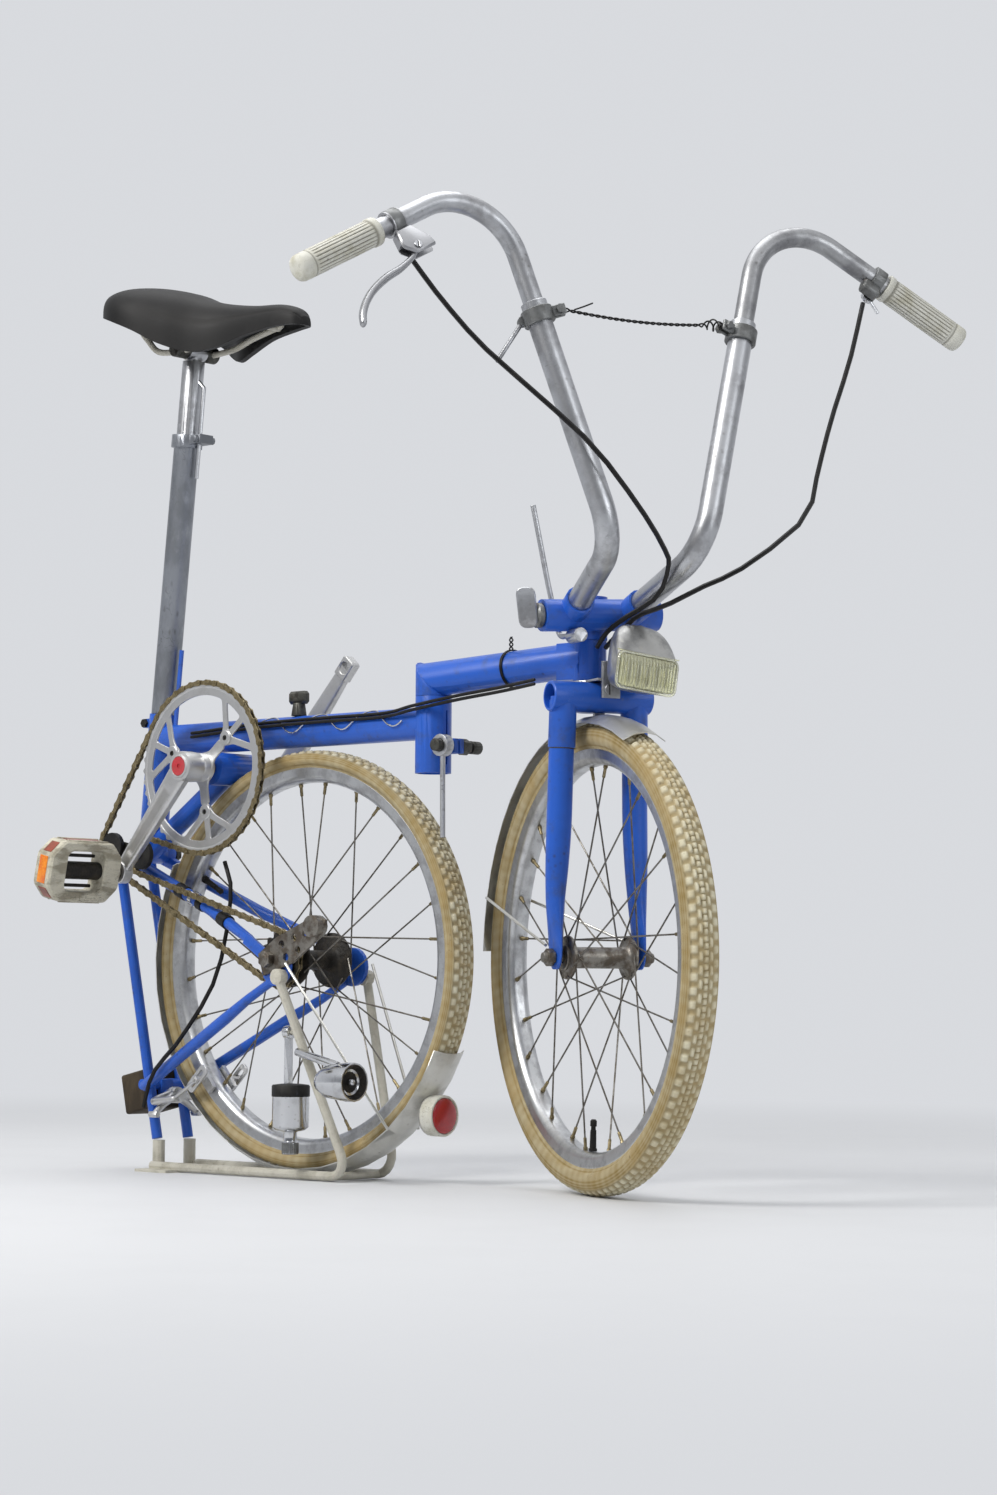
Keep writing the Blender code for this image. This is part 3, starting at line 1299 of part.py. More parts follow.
def fork():
    f = FORK_OFFSET
    shapes = [
        rod((0, 0, CROWN_Z - 0.013), (0, 0, STEM_Z + 0.017), STEERER_RADIUS, sides=20),
        rod((f, -CROWN_HALF, CROWN_Z), (f, CROWN_HALF, CROWN_Z), CROWN_RADIUS, sides=20),
        block((f / 2, 0, CROWN_Z), (f, 0.024, 0.026)),
    ]
    for side in (-1, 1):
        top = (f - 0.0005, side * LEG_TOP_SIDE, CROWN_Z)
        sleeve = (f - 0.0015, side * (LEG_TOP_SIDE + 0.0006), LEG_SLEEVE_END)
        middle = (f - 0.003, side * 0.0415, 0.365)
        end = (f - 0.0045, side * LEG_END_SIDE, DROPOUT_TOP - 0.008)
        shapes += [
            rod(top, sleeve, LEG_SLEEVE_RADIUS),
            tapered([(top, LEG_RADIUS), (middle, LEG_RADIUS), (end, 0.0088)]),
            block(
                (f - 0.001, side * LEG_END_SIDE, (DROPOUT_TOP + FRONT_TYRE_RADIUS - 0.012) / 2),
                (DROPOUT_WIDTH, DROPOUT_THICK, DROPOUT_TOP - FRONT_TYRE_RADIUS + 0.012),
            ),
        ]
    body = joined(*shapes)
    cutters = [rod(
        (f, -0.09, FRONT_TYRE_RADIUS),
        (f, 0.09, FRONT_TYRE_RADIUS),
        AXLE_RADIUS + GAP,
        sides=12,
    )]
    for side in (-1, 1):
        cutters.append(rod((f, side * 0.053 / 2, CROWN_Z), (f, side * 0.09, CROWN_Z), CROWN_BORE, sides=18))
    body = cut(body, *cutters)
    named(moved(body, fork_place()), "fork", "fork", BLUE, 0.35)
    pin = axle((f, 0, FRONT_TYRE_RADIUS), (0, 1, 0), LEG_END_SIDE + DROPOUT_THICK / 2, 0.060)
    named(moved(pin, fork_place()), "front_axle", "fork", DULL_STEEL, 0.45, 1.0)


def tapered(stations, sides=12):
    """A round bar whose radius changes from one station to the next."""
    bm = bmesh.new()
    rings = []
    for i, (point, radius) in enumerate(stations):
        before = Vector(stations[max(i - 1, 0)][0])
        after = Vector(stations[min(i + 1, len(stations) - 1)][0])
        turn = (after - before).to_track_quat("Z", "Y").to_matrix()
        ring = []
        for j in range(sides):
            angle = 2 * math.pi * j / sides
            ring.append(bm.verts.new(Vector(point) + turn @ Vector((
                radius * math.cos(angle),
                radius * math.sin(angle),
                0,
            ))))
        rings.append(ring)
    for first, second in zip(rings, rings[1:]):
        for j in range(sides):
            k = (j + 1) % sides
            bm.faces.new((first[j], first[k], second[k], second[j]))
    bm.faces.new(rings[0][::-1])
    bm.faces.new(rings[-1])
    return solid_from(bm)


def front_guard():
    """A strip over the rear of the front wheel, hung from the crown, with wire stays to the axle."""
    centre = (FORK_OFFSET, FRONT_TYRE_RADIUS)
    strip = guard(
        Matrix.Translation((centre[0], 0, centre[1])), FRONT_GUARD_RADIUS - GUARD_SKIN, 64.0, 178.0, 16
    )
    shapes = [
        strip,
        rod(
            (FORK_OFFSET, 0, centre[1] + FRONT_GUARD_RADIUS - 0.0015),
            (FORK_OFFSET, 0, CROWN_Z - CROWN_RADIUS - GAP),
            0.006,
            sides=10,
        ),
    ]
    for side in (-1, 1):
        edge = polar(
            centre,
            FRONT_GUARD_RADIUS - GUARD_DROP,
            math.radians(164),
            side * (GUARD_HALF_WIDTH + 0.0003),
        )
        root = (FORK_OFFSET - 0.0155, side * (LEG_END_SIDE + 0.004), FRONT_TYRE_RADIUS + 0.012)
        shapes.append(rod(edge, root, 0.0016, sides=6))
    named(moved(joined(*shapes), fork_place()), "front_guard", "fork", ALUMINIUM, 0.45, 0.6)


def bar_points(side):
    return [Vector((f, side * l, z)) for f, l, z in (BAR_SOCKET, BAR_KNEE, BAR_COLLAR)]


def stem_turn():
    """The stem's slight tilt, right end down."""
    centre = Matrix.Translation((FORK_OFFSET, 0, STEM_Z))
    return centre @ Matrix.Rotation(STEM_TILT, 4, "X") @ centre.inverted()


def stem():
    f = FORK_OFFSET
    collar_low = HEAD_TUBE_TOP + GAP
    cross = moved(rod((f, -STEM_HALF, STEM_Z), (f, STEM_HALF, STEM_Z), STEM_RADIUS, sides=20), stem_turn())
    shapes = [cross, rod((0, 0, collar_low), (0, 0, STEM_Z + 0.020), STEM_COLLAR_RADIUS, sides=20)]
    cutters = [rod((0, 0, 0.5), (0, 0, 0.65), STEERER_RADIUS + GAP, sides=20)]
    for side in (-1, 1):
        socket, knee, _ = bar_points(side)
        along = (knee - socket).normalized()
        shapes.append(rod(
            socket - along * 0.004,
            socket + along * 0.016,
            LOWER_BAR_RADIUS + 0.0028,
            sides=16,
        ))
        cutters.append(rod(socket - along * GAP, socket + along * 0.05, LOWER_BAR_RADIUS + GAP, sides=16))
    cutters.append(moved(
        rod((f, -0.09, STEM_Z), (f, -STEM_HALF + 0.022, STEM_Z), LEVER_PIN_RADIUS + GAP, sides=12),
        stem_turn(),
    ))
    body = cut(joined(*shapes), *cutters)
    named(moved(body, fork_place()), "stem", "fork", BLUE, 0.35)


def stem_lever():
    """Quick-release paddle and its pin at the right end of the stem."""
    f = FORK_OFFSET
    end = -STEM_HALF
    shape = joined(
        rod((f, end + 0.020, STEM_Z), (f, end - 0.011, STEM_Z), LEVER_PIN_RADIUS, sides=12),
        rod((f, end - GAP, STEM_Z), (f, end - 0.0085, STEM_Z), 0.0125, sides=18),
        rounded(
            block((f - 0.004, end - 0.0135, STEM_Z + 0.006), (LEVER_WIDTH, 0.006, LEVER_LENGTH)), 0.0022
        ),
    )
    named(moved(shape, fork_place() @ stem_turn()), "stem_lever", "stem_lever", ALUMINIUM, 0.4, 1.0)


def tommy_bar():
    """Cranked bar that stands up at the right of the stem and turns a screw below it."""
    f, l, z = TOMMY_BOLT
    route = [
        (f - 0.006, l, z + 0.001),
        (0.003, l - 0.001, z + 0.002),
        (0.0, l - 0.0125, z + 0.0545),
        (0.0, l - 0.0294, z + 0.1325),
    ]
    body = joined(
        tube(bent(route, 0.008, math.radians(25)), 0.0028, 2),
        rod((f - 0.012, l, z), (f + 0.010, l, z), 0.0072, sides=14),
    )
    named(moved(body, fork_place()), "stem_tommy_bar", "tommy_bar", ALUMINIUM, 0.45, 1.0)


# Handlebars

def upper_bar_route(side):
    """Straight out of the collar, round one bend and out along the grip."""
    _, knee, collar = bar_points(side)
    up = (collar - knee).normalized()
    out = Vector((0, side, 0))
    out = (out - up * out.dot(up)).normalized()
    cross = up.cross(out) * side
    roll = BAR_ROLL_RIGHT if side < 0 else BAR_ROLL_LEFT
    out = math.cos(roll) * out + math.sin(roll) * cross
    rise = BAR_RISE_RIGHT if side < 0 else BAR_RISE_LEFT
    start = collar + up * rise
    centre = start + out * BAR_TOP_BEND
    points = [collar - up * BAR_INSERTED]
    count = 9
    for i in range(count + 1):
        angle = BAR_TOP_ANGLE * i / count
        points.append(centre - out * BAR_TOP_BEND * math.cos(angle) + up * BAR_TOP_BEND * math.sin(angle))
    grip = (up * math.cos(BAR_TOP_ANGLE) + out * math.sin(BAR_TOP_ANGLE)).normalized()
    grip_start = points[-1] + grip * BAR_RUN
    points.append(grip_start + grip * (GRIP_LENGTH - 0.006))
    return points, grip_start, grip


def handlebars():
    place = fork_place()
    for side, hand in ((-1, "right"), (1, "left")):
        socket, knee, collar = bar_points(side)
        up = (collar - knee).normalized()
        along = (knee - socket).normalized()
        lower = tube(
            bent([socket, knee, collar + up * COLLAR_HEIGHT / 2], BAR_KNEE_BEND),
            LOWER_BAR_RADIUS,
            4,
        )
        lug = (Vector((0.25, -side, 0.1)) - up * Vector((0.25, -side, 0.1)).dot(up)).normalized()
        ring_low = collar - up * COLLAR_HEIGHT / 2
        ring_high = collar + up * (COLLAR_HEIGHT / 2 - 0.001)
        turn = Matrix((up.cross(lug), lug, up)).transposed().to_4x4()
        lower = joined(
            lower,
            rod(ring_low, ring_high, COLLAR_RADIUS, sides=18),
            block(collar + lug * (COLLAR_RADIUS + 0.005), (0.010, 0.016, COLLAR_HEIGHT * 0.62), turn),
        )
        bore = rod(
            collar - up * (BAR_INSERTED + BAR_TRAVEL),
            collar + up * 0.05,
            UPPER_BAR_RADIUS + GAP,
            sides=18,
        )
        lower = cut(lower, bore)
        body = f"{hand}_bar"
        named(moved(lower, place), f"{hand}_lower_bar", body, ALUMINIUM, 0.45, 1.0)
        points, grip_start, grip = upper_bar_route(side)
        named(
            moved(tube(points, UPPER_BAR_RADIUS, 4), place),
            f"{hand}_upper_bar",
            f"{hand}_bar_top",
            ALUMINIUM,
            0.45,
            1.0,
        )
        inside = UPPER_BAR_RADIUS + GAP
        profile = [
            (0.0, GRIP_LENGTH),
            (GRIP_RADIUS - 0.004, GRIP_LENGTH),
            (GRIP_RADIUS, GRIP_LENGTH - 0.004),
            (GRIP_RADIUS, 0.004),
            (GRIP_RADIUS + 0.0008, 0.0),
            (inside, 0.0),
            (inside, GRIP_LENGTH - 0.005),
            (0.0, GRIP_LENGTH - 0.005),
        ]
        sleeve = turned(profile, grip_start, grip, steps=16)
        named(moved(sleeve, place), f"{hand}_grip", f"{hand}_bar_top", CREAM, 0.6)


def lever_axes(side):
    """Unit vectors along the grip, from the bar towards the lever blade, and square to both."""
    _, start, grip = upper_bar_route(side)
    down = Vector((0, 0, -1))
    down = (down - grip * down.dot(grip)).normalized()
    ahead = Vector((1, 0, 0))
    ahead = (ahead - grip * ahead.dot(grip) - down * ahead.dot(down)).normalized()
    reach = (down * math.cos(LEVER_TURN) + ahead * math.sin(LEVER_TURN)).normalized()
    return start, grip, reach, grip.cross(reach)


def brake_lever():
    start, grip, reach, across = lever_axes(-1)
    place = fork_place()
    middle = start - grip * BAND_BACK
    ring = cut(
        rod(middle - grip * 0.0075, middle + grip * 0.0075, UPPER_BAR_RADIUS + 0.0032, sides=18),
        rod(middle - grip * 0.02, middle + grip * 0.02, UPPER_BAR_RADIUS + GAP, sides=18),
    )
    turn = Matrix((grip, reach, across)).transposed().to_4x4()
    near = UPPER_BAR_RADIUS + 0.0018
    outline = [
        (-0.010, near),
        (0.009, near),
        (0.015, HOOD_REACH * 0.72),
        (0.006, HOOD_REACH),
        (-0.019, HOOD_REACH),
        (-0.019, HOOD_REACH * 0.75),
    ]
    hood = rounded(plate(outline, HOOD_THICK, Matrix.Translation(middle) @ turn), 0.002, 1)
    pivot = middle + reach * LEVER_PIVOT_REACH
    slot = block(middle + reach * (LEVER_PIVOT_REACH + 0.009), (0.080, 0.035, HOOD_SLOT), turn)
    pin = rod(pivot - across * HOOD_THICK * 0.47, pivot + across * HOOD_THICK * 0.47, LEVER_PIN, sides=8)
    hood = joined(cut(hood, slot), pin)
    named(moved(joined(ring, hood), place), "brake_lever_mount", "right_bar_top", ALUMINIUM, 0.35, 1.0)
    spine = [
        (0.003, LEVER_PIVOT_REACH + 0.002, 0.0036),
        (0.012, 0.0420, 0.0037),
        (0.030, 0.0465, 0.0046),
        (0.050, 0.0485, 0.0052),
        (0.070, 0.0535, 0.0052),
        (0.086, 0.0610, 0.0052),
        (0.098, 0.0700, 0.0052),
        (0.105, 0.0785, 0.0046),
    ]
    blade = joined(
        rod(
            pivot - across * (HOOD_SLOT / 2 - GAP),
            pivot + across * (HOOD_SLOT / 2 - GAP),
            0.0060,
            sides=14,
        ),
        tapered([(middle + grip * g + reach * r, radius) for g, r, radius in spine], 10),
    )
    blade = cut(blade, rod(pivot - across * 0.02, pivot + across * 0.02, LEVER_PIN + GAP, sides=8))
    named(moved(blade, place), "brake_lever", "brake_lever", ALUMINIUM, 0.3, 1.0)


def shifter():
    """Clamp and short trigger at the left grip."""
    start, grip, reach, across = lever_axes(1)
    place = fork_place()
    middle = start - grip * 0.010
    ring = cut(
        rod(middle - grip * 0.006, middle + grip * 0.006, UPPER_BAR_RADIUS + 0.0035, sides=18),
        rod(middle - grip * 0.02, middle + grip * 0.02, UPPER_BAR_RADIUS + GAP, sides=18),
    )
    turn = Matrix((grip, reach, across)).transposed().to_4x4()
    shell = block(middle + reach * (UPPER_BAR_RADIUS + 0.008) - grip * 0.004, (0.020, 0.013, 0.012), turn)
    named(
        moved(joined(ring, rounded(shell, 0.002, 1)), place),
        "shifter_mount",
        "left_bar_top",
        ALUMINIUM,
        0.35,
        1.0,
    )
    pivot = middle + reach * (UPPER_BAR_RADIUS + 0.009) + across * 0.0085
    trigger = joined(
        rod(pivot - across * 0.002, pivot + across * 0.002, 0.007, sides=12),
        tube([pivot, pivot + reach * 0.012 + grip * 0.016], 0.0021, 1),
    )
    named(moved(trigger, place), "shifter_trigger", "shifter_trigger", ALUMINIUM, 0.3, 1.0)


# Headlamp

def headlamp():
    f, l, z = LAMP_FORWARD, LAMP_SIDE, LAMP_Z
    roll = Matrix.Translation((f, l, z)) @ Matrix.Rotation(LAMP_ROLL, 4, "X")
    w, h, d = LAMP_WIDTH / 2, LAMP_HEIGHT / 2, LAMP_DEPTH / 2
    bm = bmesh.new()
    rings = []
    for t, scale, drop in (
        (-1.0, 0.42, 0.0),
        (-0.8, 0.62, 0.0),
        (-0.2, 0.90, 0.0),
        (0.45, 1.0, 0.0),
        (0.86, 1.0, 0.0),
    ):
        ring = []
        for i in range(24):
            a = 2 * math.pi * i / 24
            c, s = math.cos(a), math.sin(a)
            power = 0.62
            y = w * scale * math.copysign(abs(c) ** power, c)
            up = h * (scale if s < 0 else 0.25 * scale + 0.75 * scale) * math.copysign(abs(s) ** power, s)
            ring.append(bm.verts.new((d * t, y, up + drop)))
        rings.append(ring)
    for first, second in zip(rings, rings[1:]):
        for i in range(24):
            k = (i + 1) % 24
            bm.faces.new((first[i], first[k], second[k], second[i]))
    bm.faces.new(rings[0])
    bm.faces.new(rings[-1])
    shell = moved(solid_from(bm), roll)
    visor = rounded(block((0, 0, 0), (LAMP_DEPTH * 0.80, LAMP_WIDTH * 0.92, 0.006)), 0.0025)
    shell = joined(shell, moved(visor, roll @ Matrix.Translation((0.012, 0, h - 0.004))))
    lens_width, lens_height, lens_drop = LAMP_WIDTH * 0.84, LAMP_HEIGHT * 0.48, -LAMP_HEIGHT * 0.20
    pocket = block((0, 0, 0), (0.012, lens_width, lens_height))
    shell = cut(shell, moved(pocket, roll @ Matrix.Translation((d * 0.86, 0, lens_drop))))
    place = fork_place()
    glass = rounded(block((0, 0, 0), (0.006, lens_width - 2 * GAP, lens_height - 2 * GAP)), 0.0015)
    glass = moved(glass, roll @ Matrix.Translation((d * 0.86 - 0.006 + 0.003 + GAP, 0, lens_drop)))
    named(moved(glass, place), "headlamp_lens", "headlamp", (0.80, 0.76, 0.50), 0.2)
    named(moved(shell, place), "headlamp_shell", "headlamp", CREAM, 0.35)
    # Bracket held round the steerer above the crown, out to the bolt that the lamp turns on
    face = LAMP_FORWARD - LAMP_DEPTH / 2 - GAP
    thick = 0.0024
    level = (CROWN_Z + CROWN_RADIUS + HEAD_TUBE_BOTTOM) / 2 + 0.0001
    bracket = joined(
        rod((0, 0, level - thick / 2), (0, 0, level + thick / 2), 0.0185, sides=20),
        block((face / 2 + 0.005, 0, level), (face - 0.010, 0.022, thick)),
        block((face - thick / 2, LAMP_BOLT_SIDE, 0.5065), (thick, 0.020, 0.0365)),
    )
    bore = rod((0, 0, 0.45), (0, 0, 0.60), STEERER_RADIUS + GAP, sides=20)
    named(moved(cut(bracket, bore), place), "headlamp_bracket", "fork", ALUMINIUM, 0.5, 1.0)


# Seat

def seat_post():
    collar_low = POST_COLLAR_Z
    collar_high = POST_COLLAR_Z + POST_COLLAR_HEIGHT
    lower = joined(
        rod(seat_line(POST_FOOT), seat_line(collar_high - 0.002), POST_RADIUS, sides=20),
        rod(seat_line(collar_low), seat_line(collar_high), POST_RADIUS + 0.0032, sides=20),
        block(
            (*seat_line((collar_low + collar_high) / 2, 0.022)[:2], (collar_low + collar_high) / 2),
            (0.020, 0.020, 0.010),
        ),
        rod(
            (seat_line(collar_low, 0.027)[0], -0.015, (collar_low + collar_high) / 2),
            (seat_line(collar_low, 0.027)[0], 0.015, (collar_low + collar_high) / 2),
            0.0042,
            sides=8,
        ),
    )
    bore_low = UPPER_POST_FOOT - 0.075
    lower = cut(
        lower,
        rod(seat_line(bore_low), seat_line(collar_high + 0.02), UPPER_POST_RADIUS + GAP, sides=20),
        rod(
            seat_line(collar_low - 0.05, GUIDE_ROD_AHEAD),
            seat_line(collar_high + 0.05, GUIDE_ROD_AHEAD),
            GUIDE_ROD_RADIUS + GAP,
            sides=8,
        ),
    )
    named(lower, "lower_seat_post", "lower_post", ALUMINIUM, 0.45, 1.0)
    rod_top = SADDLE_CLAMP_Z - 0.042
    rod_foot = POST_COLLAR_Z - GUIDE_ROD_DROP
    upper = joined(
        rod(seat_line(UPPER_POST_FOOT), seat_line(UPPER_POST_TOP), UPPER_POST_RADIUS, sides=20),
        rod(seat_line(UPPER_POST_TOP - 0.004), seat_line(SADDLE_CLAMP_Z), 0.0085),
        rod(
            (seat_line(SADDLE_CLAMP_Z)[0], -SADDLE_BARREL_HALF, SADDLE_CLAMP_Z),
            (seat_line(SADDLE_CLAMP_Z)[0], SADDLE_BARREL_HALF, SADDLE_CLAMP_Z),
            0.0095,
            sides=16,
        ),
        rod(
            seat_line(rod_foot, GUIDE_ROD_AHEAD),
            seat_line(rod_top, GUIDE_ROD_AHEAD),
            GUIDE_ROD_RADIUS,
            sides=8,
        ),
        rod(
            seat_line(rod_top - 0.001, GUIDE_ROD_AHEAD),
            seat_line(rod_top + 0.012, 0.006),
            GUIDE_ROD_RADIUS,
            sides=8,
        ),
    )
    named(upper, "upper_seat_post", "upper_post", ALUMINIUM, 0.45, 1.0)


def saddle():
    """A shell lofted through the stations, open below between its skirts."""
    bm = bmesh.new()
    rings = []
    across = 10
    for i, (x, half, top, skirt) in enumerate(SADDLE_STATIONS):
        ring = []
        height = top - skirt
        level = SADDLE_CLAMP_Z + skirt
        for j in range(across + 1):
            a = math.pi * j / across
            y = -half * math.copysign(abs(math.cos(a)) ** 0.8, math.cos(a))
            ring.append(bm.verts.new((x, y, level + height * math.sin(a) ** 0.62)))
        inner_half = max(half - SADDLE_WALL, half * 0.35)
        end = i in (0, len(SADDLE_STATIONS) - 1)
        depth = 0.0 if end else max(height - 0.016, 0.0)
        for j in range(across, -1, -1):
            a = math.pi * j / across
            y = -inner_half * math.copysign(abs(math.cos(a)) ** 0.8, math.cos(a))
            ring.append(bm.verts.new((x, y, level + 0.0004 + depth * math.sin(a) ** 0.62)))
        rings.append(ring)
    count = len(rings[0])
    for first, second in zip(rings, rings[1:]):
        for i in range(count):
            k = (i + 1) % count
            bm.faces.new((first[i], first[k], second[k], second[i]))
    bm.faces.new(rings[0])
    bm.faces.new(rings[-1])
    named(solid_from(bm), "saddle", "saddle", BLACK, 0.45)


def rails():
    """Two rails under the saddle, each in a clamp beside the barrel on top of the seat post."""
    clamp_z = SADDLE_CLAMP_Z
    clamp_x = seat_line(clamp_z)[0]
    shapes = []
    for side in (-1, 1):
        route = [
            (-0.070, side * 0.030, 0.951),
            (-0.055, side * 0.026, 0.930),
            (-0.035, side * RAIL_SIDE, clamp_z),
            (0.030, side * RAIL_SIDE, clamp_z),
            (0.075, side * 0.014, 0.921),
            (0.125, side * 0.008, 0.928),
        ]
        shapes.append(tube(flowing(route, 12), RAIL_RADIUS, 1))
        inner, outer = side * (SADDLE_BARREL_HALF + GAP), side * 0.031
        shapes.append(rod((clamp_x, inner, clamp_z), (clamp_x, outer, clamp_z), 0.0090, sides=14))
    shapes.append(rod((0.118, -0.010, 0.9268), (0.118, 0.010, 0.9268), 0.0045, sides=10))
    named(joined(*shapes), "saddle_rails", "saddle", CREAM, 0.4, 0.6)


# Cables

def cables():
    place = fork_place()
    right_route = [
        (0.110, -0.2406, 0.8897),
        (0.112, -0.2115, 0.8547),
        (0.125, -0.1756, 0.8114),
        (0.148, -0.1338, 0.7678),
        (0.165, -0.0768, 0.7151),
        (0.160, -0.0236, 0.6593),
        (0.140, 0.0132, 0.6237),
        (0.126, 0.0238, 0.6095),
        (0.098, 0.0262, 0.5845),
        (0.058, 0.0110, 0.5665),
        (0.043, 0.0020, 0.5565),
        (0.032, -0.0010, 0.5485),
        (0.0212, -0.0020, 0.5400),
    ]
    cable = tube(flowing(right_route, 28), CABLE_RADIUS, 1)
    named(moved(cable, place), "brake_cable", "fork", BLACK, 0.5)
    left_route = [
        (0.110, 0.2502, 0.8918),
        (0.118, 0.2304, 0.8307),
        (0.130, 0.2026, 0.7678),
        (0.143, 0.1805, 0.7150),
        (0.150, 0.1600, 0.6623),
        (0.138, 0.1000, 0.6125),
        (0.118, 0.0656, 0.5935),
        (0.090, 0.0400, 0.5770),
        (0.060, 0.0240, 0.5690),
        (0.045, 0.0160, 0.5570),
        (0.033, 0.0105, 0.5480),
        (0.0206, 0.0075, 0.5400),
    ]
    cable = tube(flowing(left_route, 24), CABLE_RADIUS, 1)
    named(moved(cable, place), "shifter_cable", "fork", BLACK, 0.5)
    reach = MAIN_TUBE_RADIUS + CABLE_RADIUS + 0.0005

    def along_tube(x, z):
        return (x, -math.sqrt(reach**2 - (z - MAIN_TUBE_Z) ** 2), z)

    lower_step = 2 * CABLE_RADIUS - 0.0008
    upper_route = [along_tube(x, z) for x, z in ((0.020, 0.4815), (0.120, 0.4870), (0.220, 0.4885), (0.310, 0.4890))]
    lower_route = [along_tube(x, z - lower_step) for x, _, z in upper_route]
    onward = [
        (SLEEVE_X - 0.008, -(SLEEVE_RADIUS + CABLE_RADIUS + 0.0015), 0.4940),
        (0.420, -0.0225, 0.5010),
        (0.480, -0.0235, 0.5060),
        (0.525, -0.0235, 0.5110),
    ]
    bundle = joined(
        tube(flowing(upper_route + onward, 14), CABLE_RADIUS, 1),
        tube(flowing(lower_route + [(x, y, z - lower_step) for x, y, z in onward], 14), CABLE_RADIUS, 1),
    )
    named(bundle, "frame_cables", "root", BLACK, 0.5)
    rear_route = [
        (0.083, -0.0275, 0.338),
        (0.096, -0.0300, 0.300),
        (0.080, -0.0345, 0.215),
        (0.040, -0.0455, 0.150),
        (-0.006, -0.0465, 0.108),
        (-0.024, -0.0440, 0.070),
    ]
    named(tube(flowing(rear_route, 14), CABLE_RADIUS, 1), "rear_brake_cable", "rear_frame", BLACK, 0.5)


def place_bodies():
    """Parents each moving body's pieces to an empty on its joint's axis."""
    crank = (CRANK_X, 0, CRANK_Z)
    fork_axis = fork_place()
    pedal_eye = polar((CRANK_X, CRANK_Z), CRANK_LENGTH, CRANK_ANGLE, RIGHT_ARM_Y)
    right_socket, left_socket = bar_points(-1)[0], bar_points(1)[0]
    spots = {
        "hinge_bar": (CLAMP_X, 0, CLAMP_Z),
        "knob": (KNOB_X, 0, MAIN_TUBE_Z),
        "front_frame": (SLEEVE_X, 0, UPPER_TUBE_REAR_Z),
        "fork": (STEER_X, 0, CROWN_Z),
        "front_wheel": fork_axis @ Vector((FORK_OFFSET, 0, FRONT_TYRE_RADIUS)),
        "stem_lever": fork_axis @ Vector((FORK_OFFSET, -STEM_HALF, STEM_Z)),
        "tommy_bar": fork_axis @ Vector(TOMMY_BOLT),
        "headlamp": fork_axis @ Vector((LAMP_FORWARD - LAMP_DEPTH / 2, 0, 0.500)),
        "right_bar": fork_axis @ right_socket,
        "left_bar": fork_axis @ left_socket,
        "right_bar_top": fork_axis @ bar_points(-1)[2],
        "left_bar_top": fork_axis @ bar_points(1)[2],
        "brake_lever": fork_axis @ (lever_axes(-1)[0] - lever_axes(-1)[1] * BAND_BACK),
        "shifter_trigger": fork_axis @ lever_axes(1)[0],
        "crankset": crank,
        "pedal": pedal_eye,
        "upper_pulley": (UPPER_PULLEY[0], CHAIN_Y, UPPER_PULLEY[1]),
        "lower_pulley": (LOWER_PULLEY[0], CHAIN_Y, LOWER_PULLEY[1]),
        "rear_frame": (PIVOT_X, 0, PIVOT_Z),
        "rear_wheel": (REAR_AXLE_X, 0, REAR_AXLE_Z),
        "sprocket": (REAR_AXLE_X, CHAIN_Y, REAR_AXLE_Z),
        "dynamo": DYNAMO_PIN,
        "right_brake_arm": (BRAKE_X, BRAKE_SIDE, BRAKE_Z),
        "left_brake_arm": (BRAKE_X, BRAKE_SIDE, BRAKE_Z),
        "lower_post": seat_line(SEAT_TUBE_TOP),
        "upper_post": seat_line(POST_COLLAR_Z),
        "saddle": seat_line(SADDLE_CLAMP_Z),
    }
    for body, spot in spots.items():
        pivot = bpy.data.objects.new(f"{body}_axis", None)
        collection.objects.link(pivot)
        pivot.location = spot
        bpy.context.view_layer.update()
        for piece in bodies[body]:
            piece.parent = pivot
            piece.matrix_parent_inverse = pivot.matrix_world.inverted()


main_frame()
clamp()
knob()
pivot_axle()
pulleys()
wheels()
chainring()
cranks()
pedal()
chain()
rear_frame()
bumper()
rack()
rear_guard()
rear_lamp()
dynamo()
torque_arm()
rear_brake()
named(
    axle(
        (REAR_AXLE_X, 0, REAR_AXLE_Z),
        (0, 1, 0),
        DROPOUT_SIDE + REAR_DROPOUT_THICK / 2 + TORQUE_THICK + GAP,
        0.0725,
    ),
    "rear_axle",
    "rear_frame",
    DULL_STEEL,
    0.45,
    1.0,
)
front_frame()
fork()
front_guard()
stem()
stem_lever()
tommy_bar()
handlebars()
brake_lever()
shifter()
headlamp()
seat_post()
saddle()
rails()
cables()
place_bodies()
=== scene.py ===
import json
import math

import bmesh
import bpy
import numpy as np
from mathutils import Matrix, Vector
from mathutils.geometry import tessellate_polygon

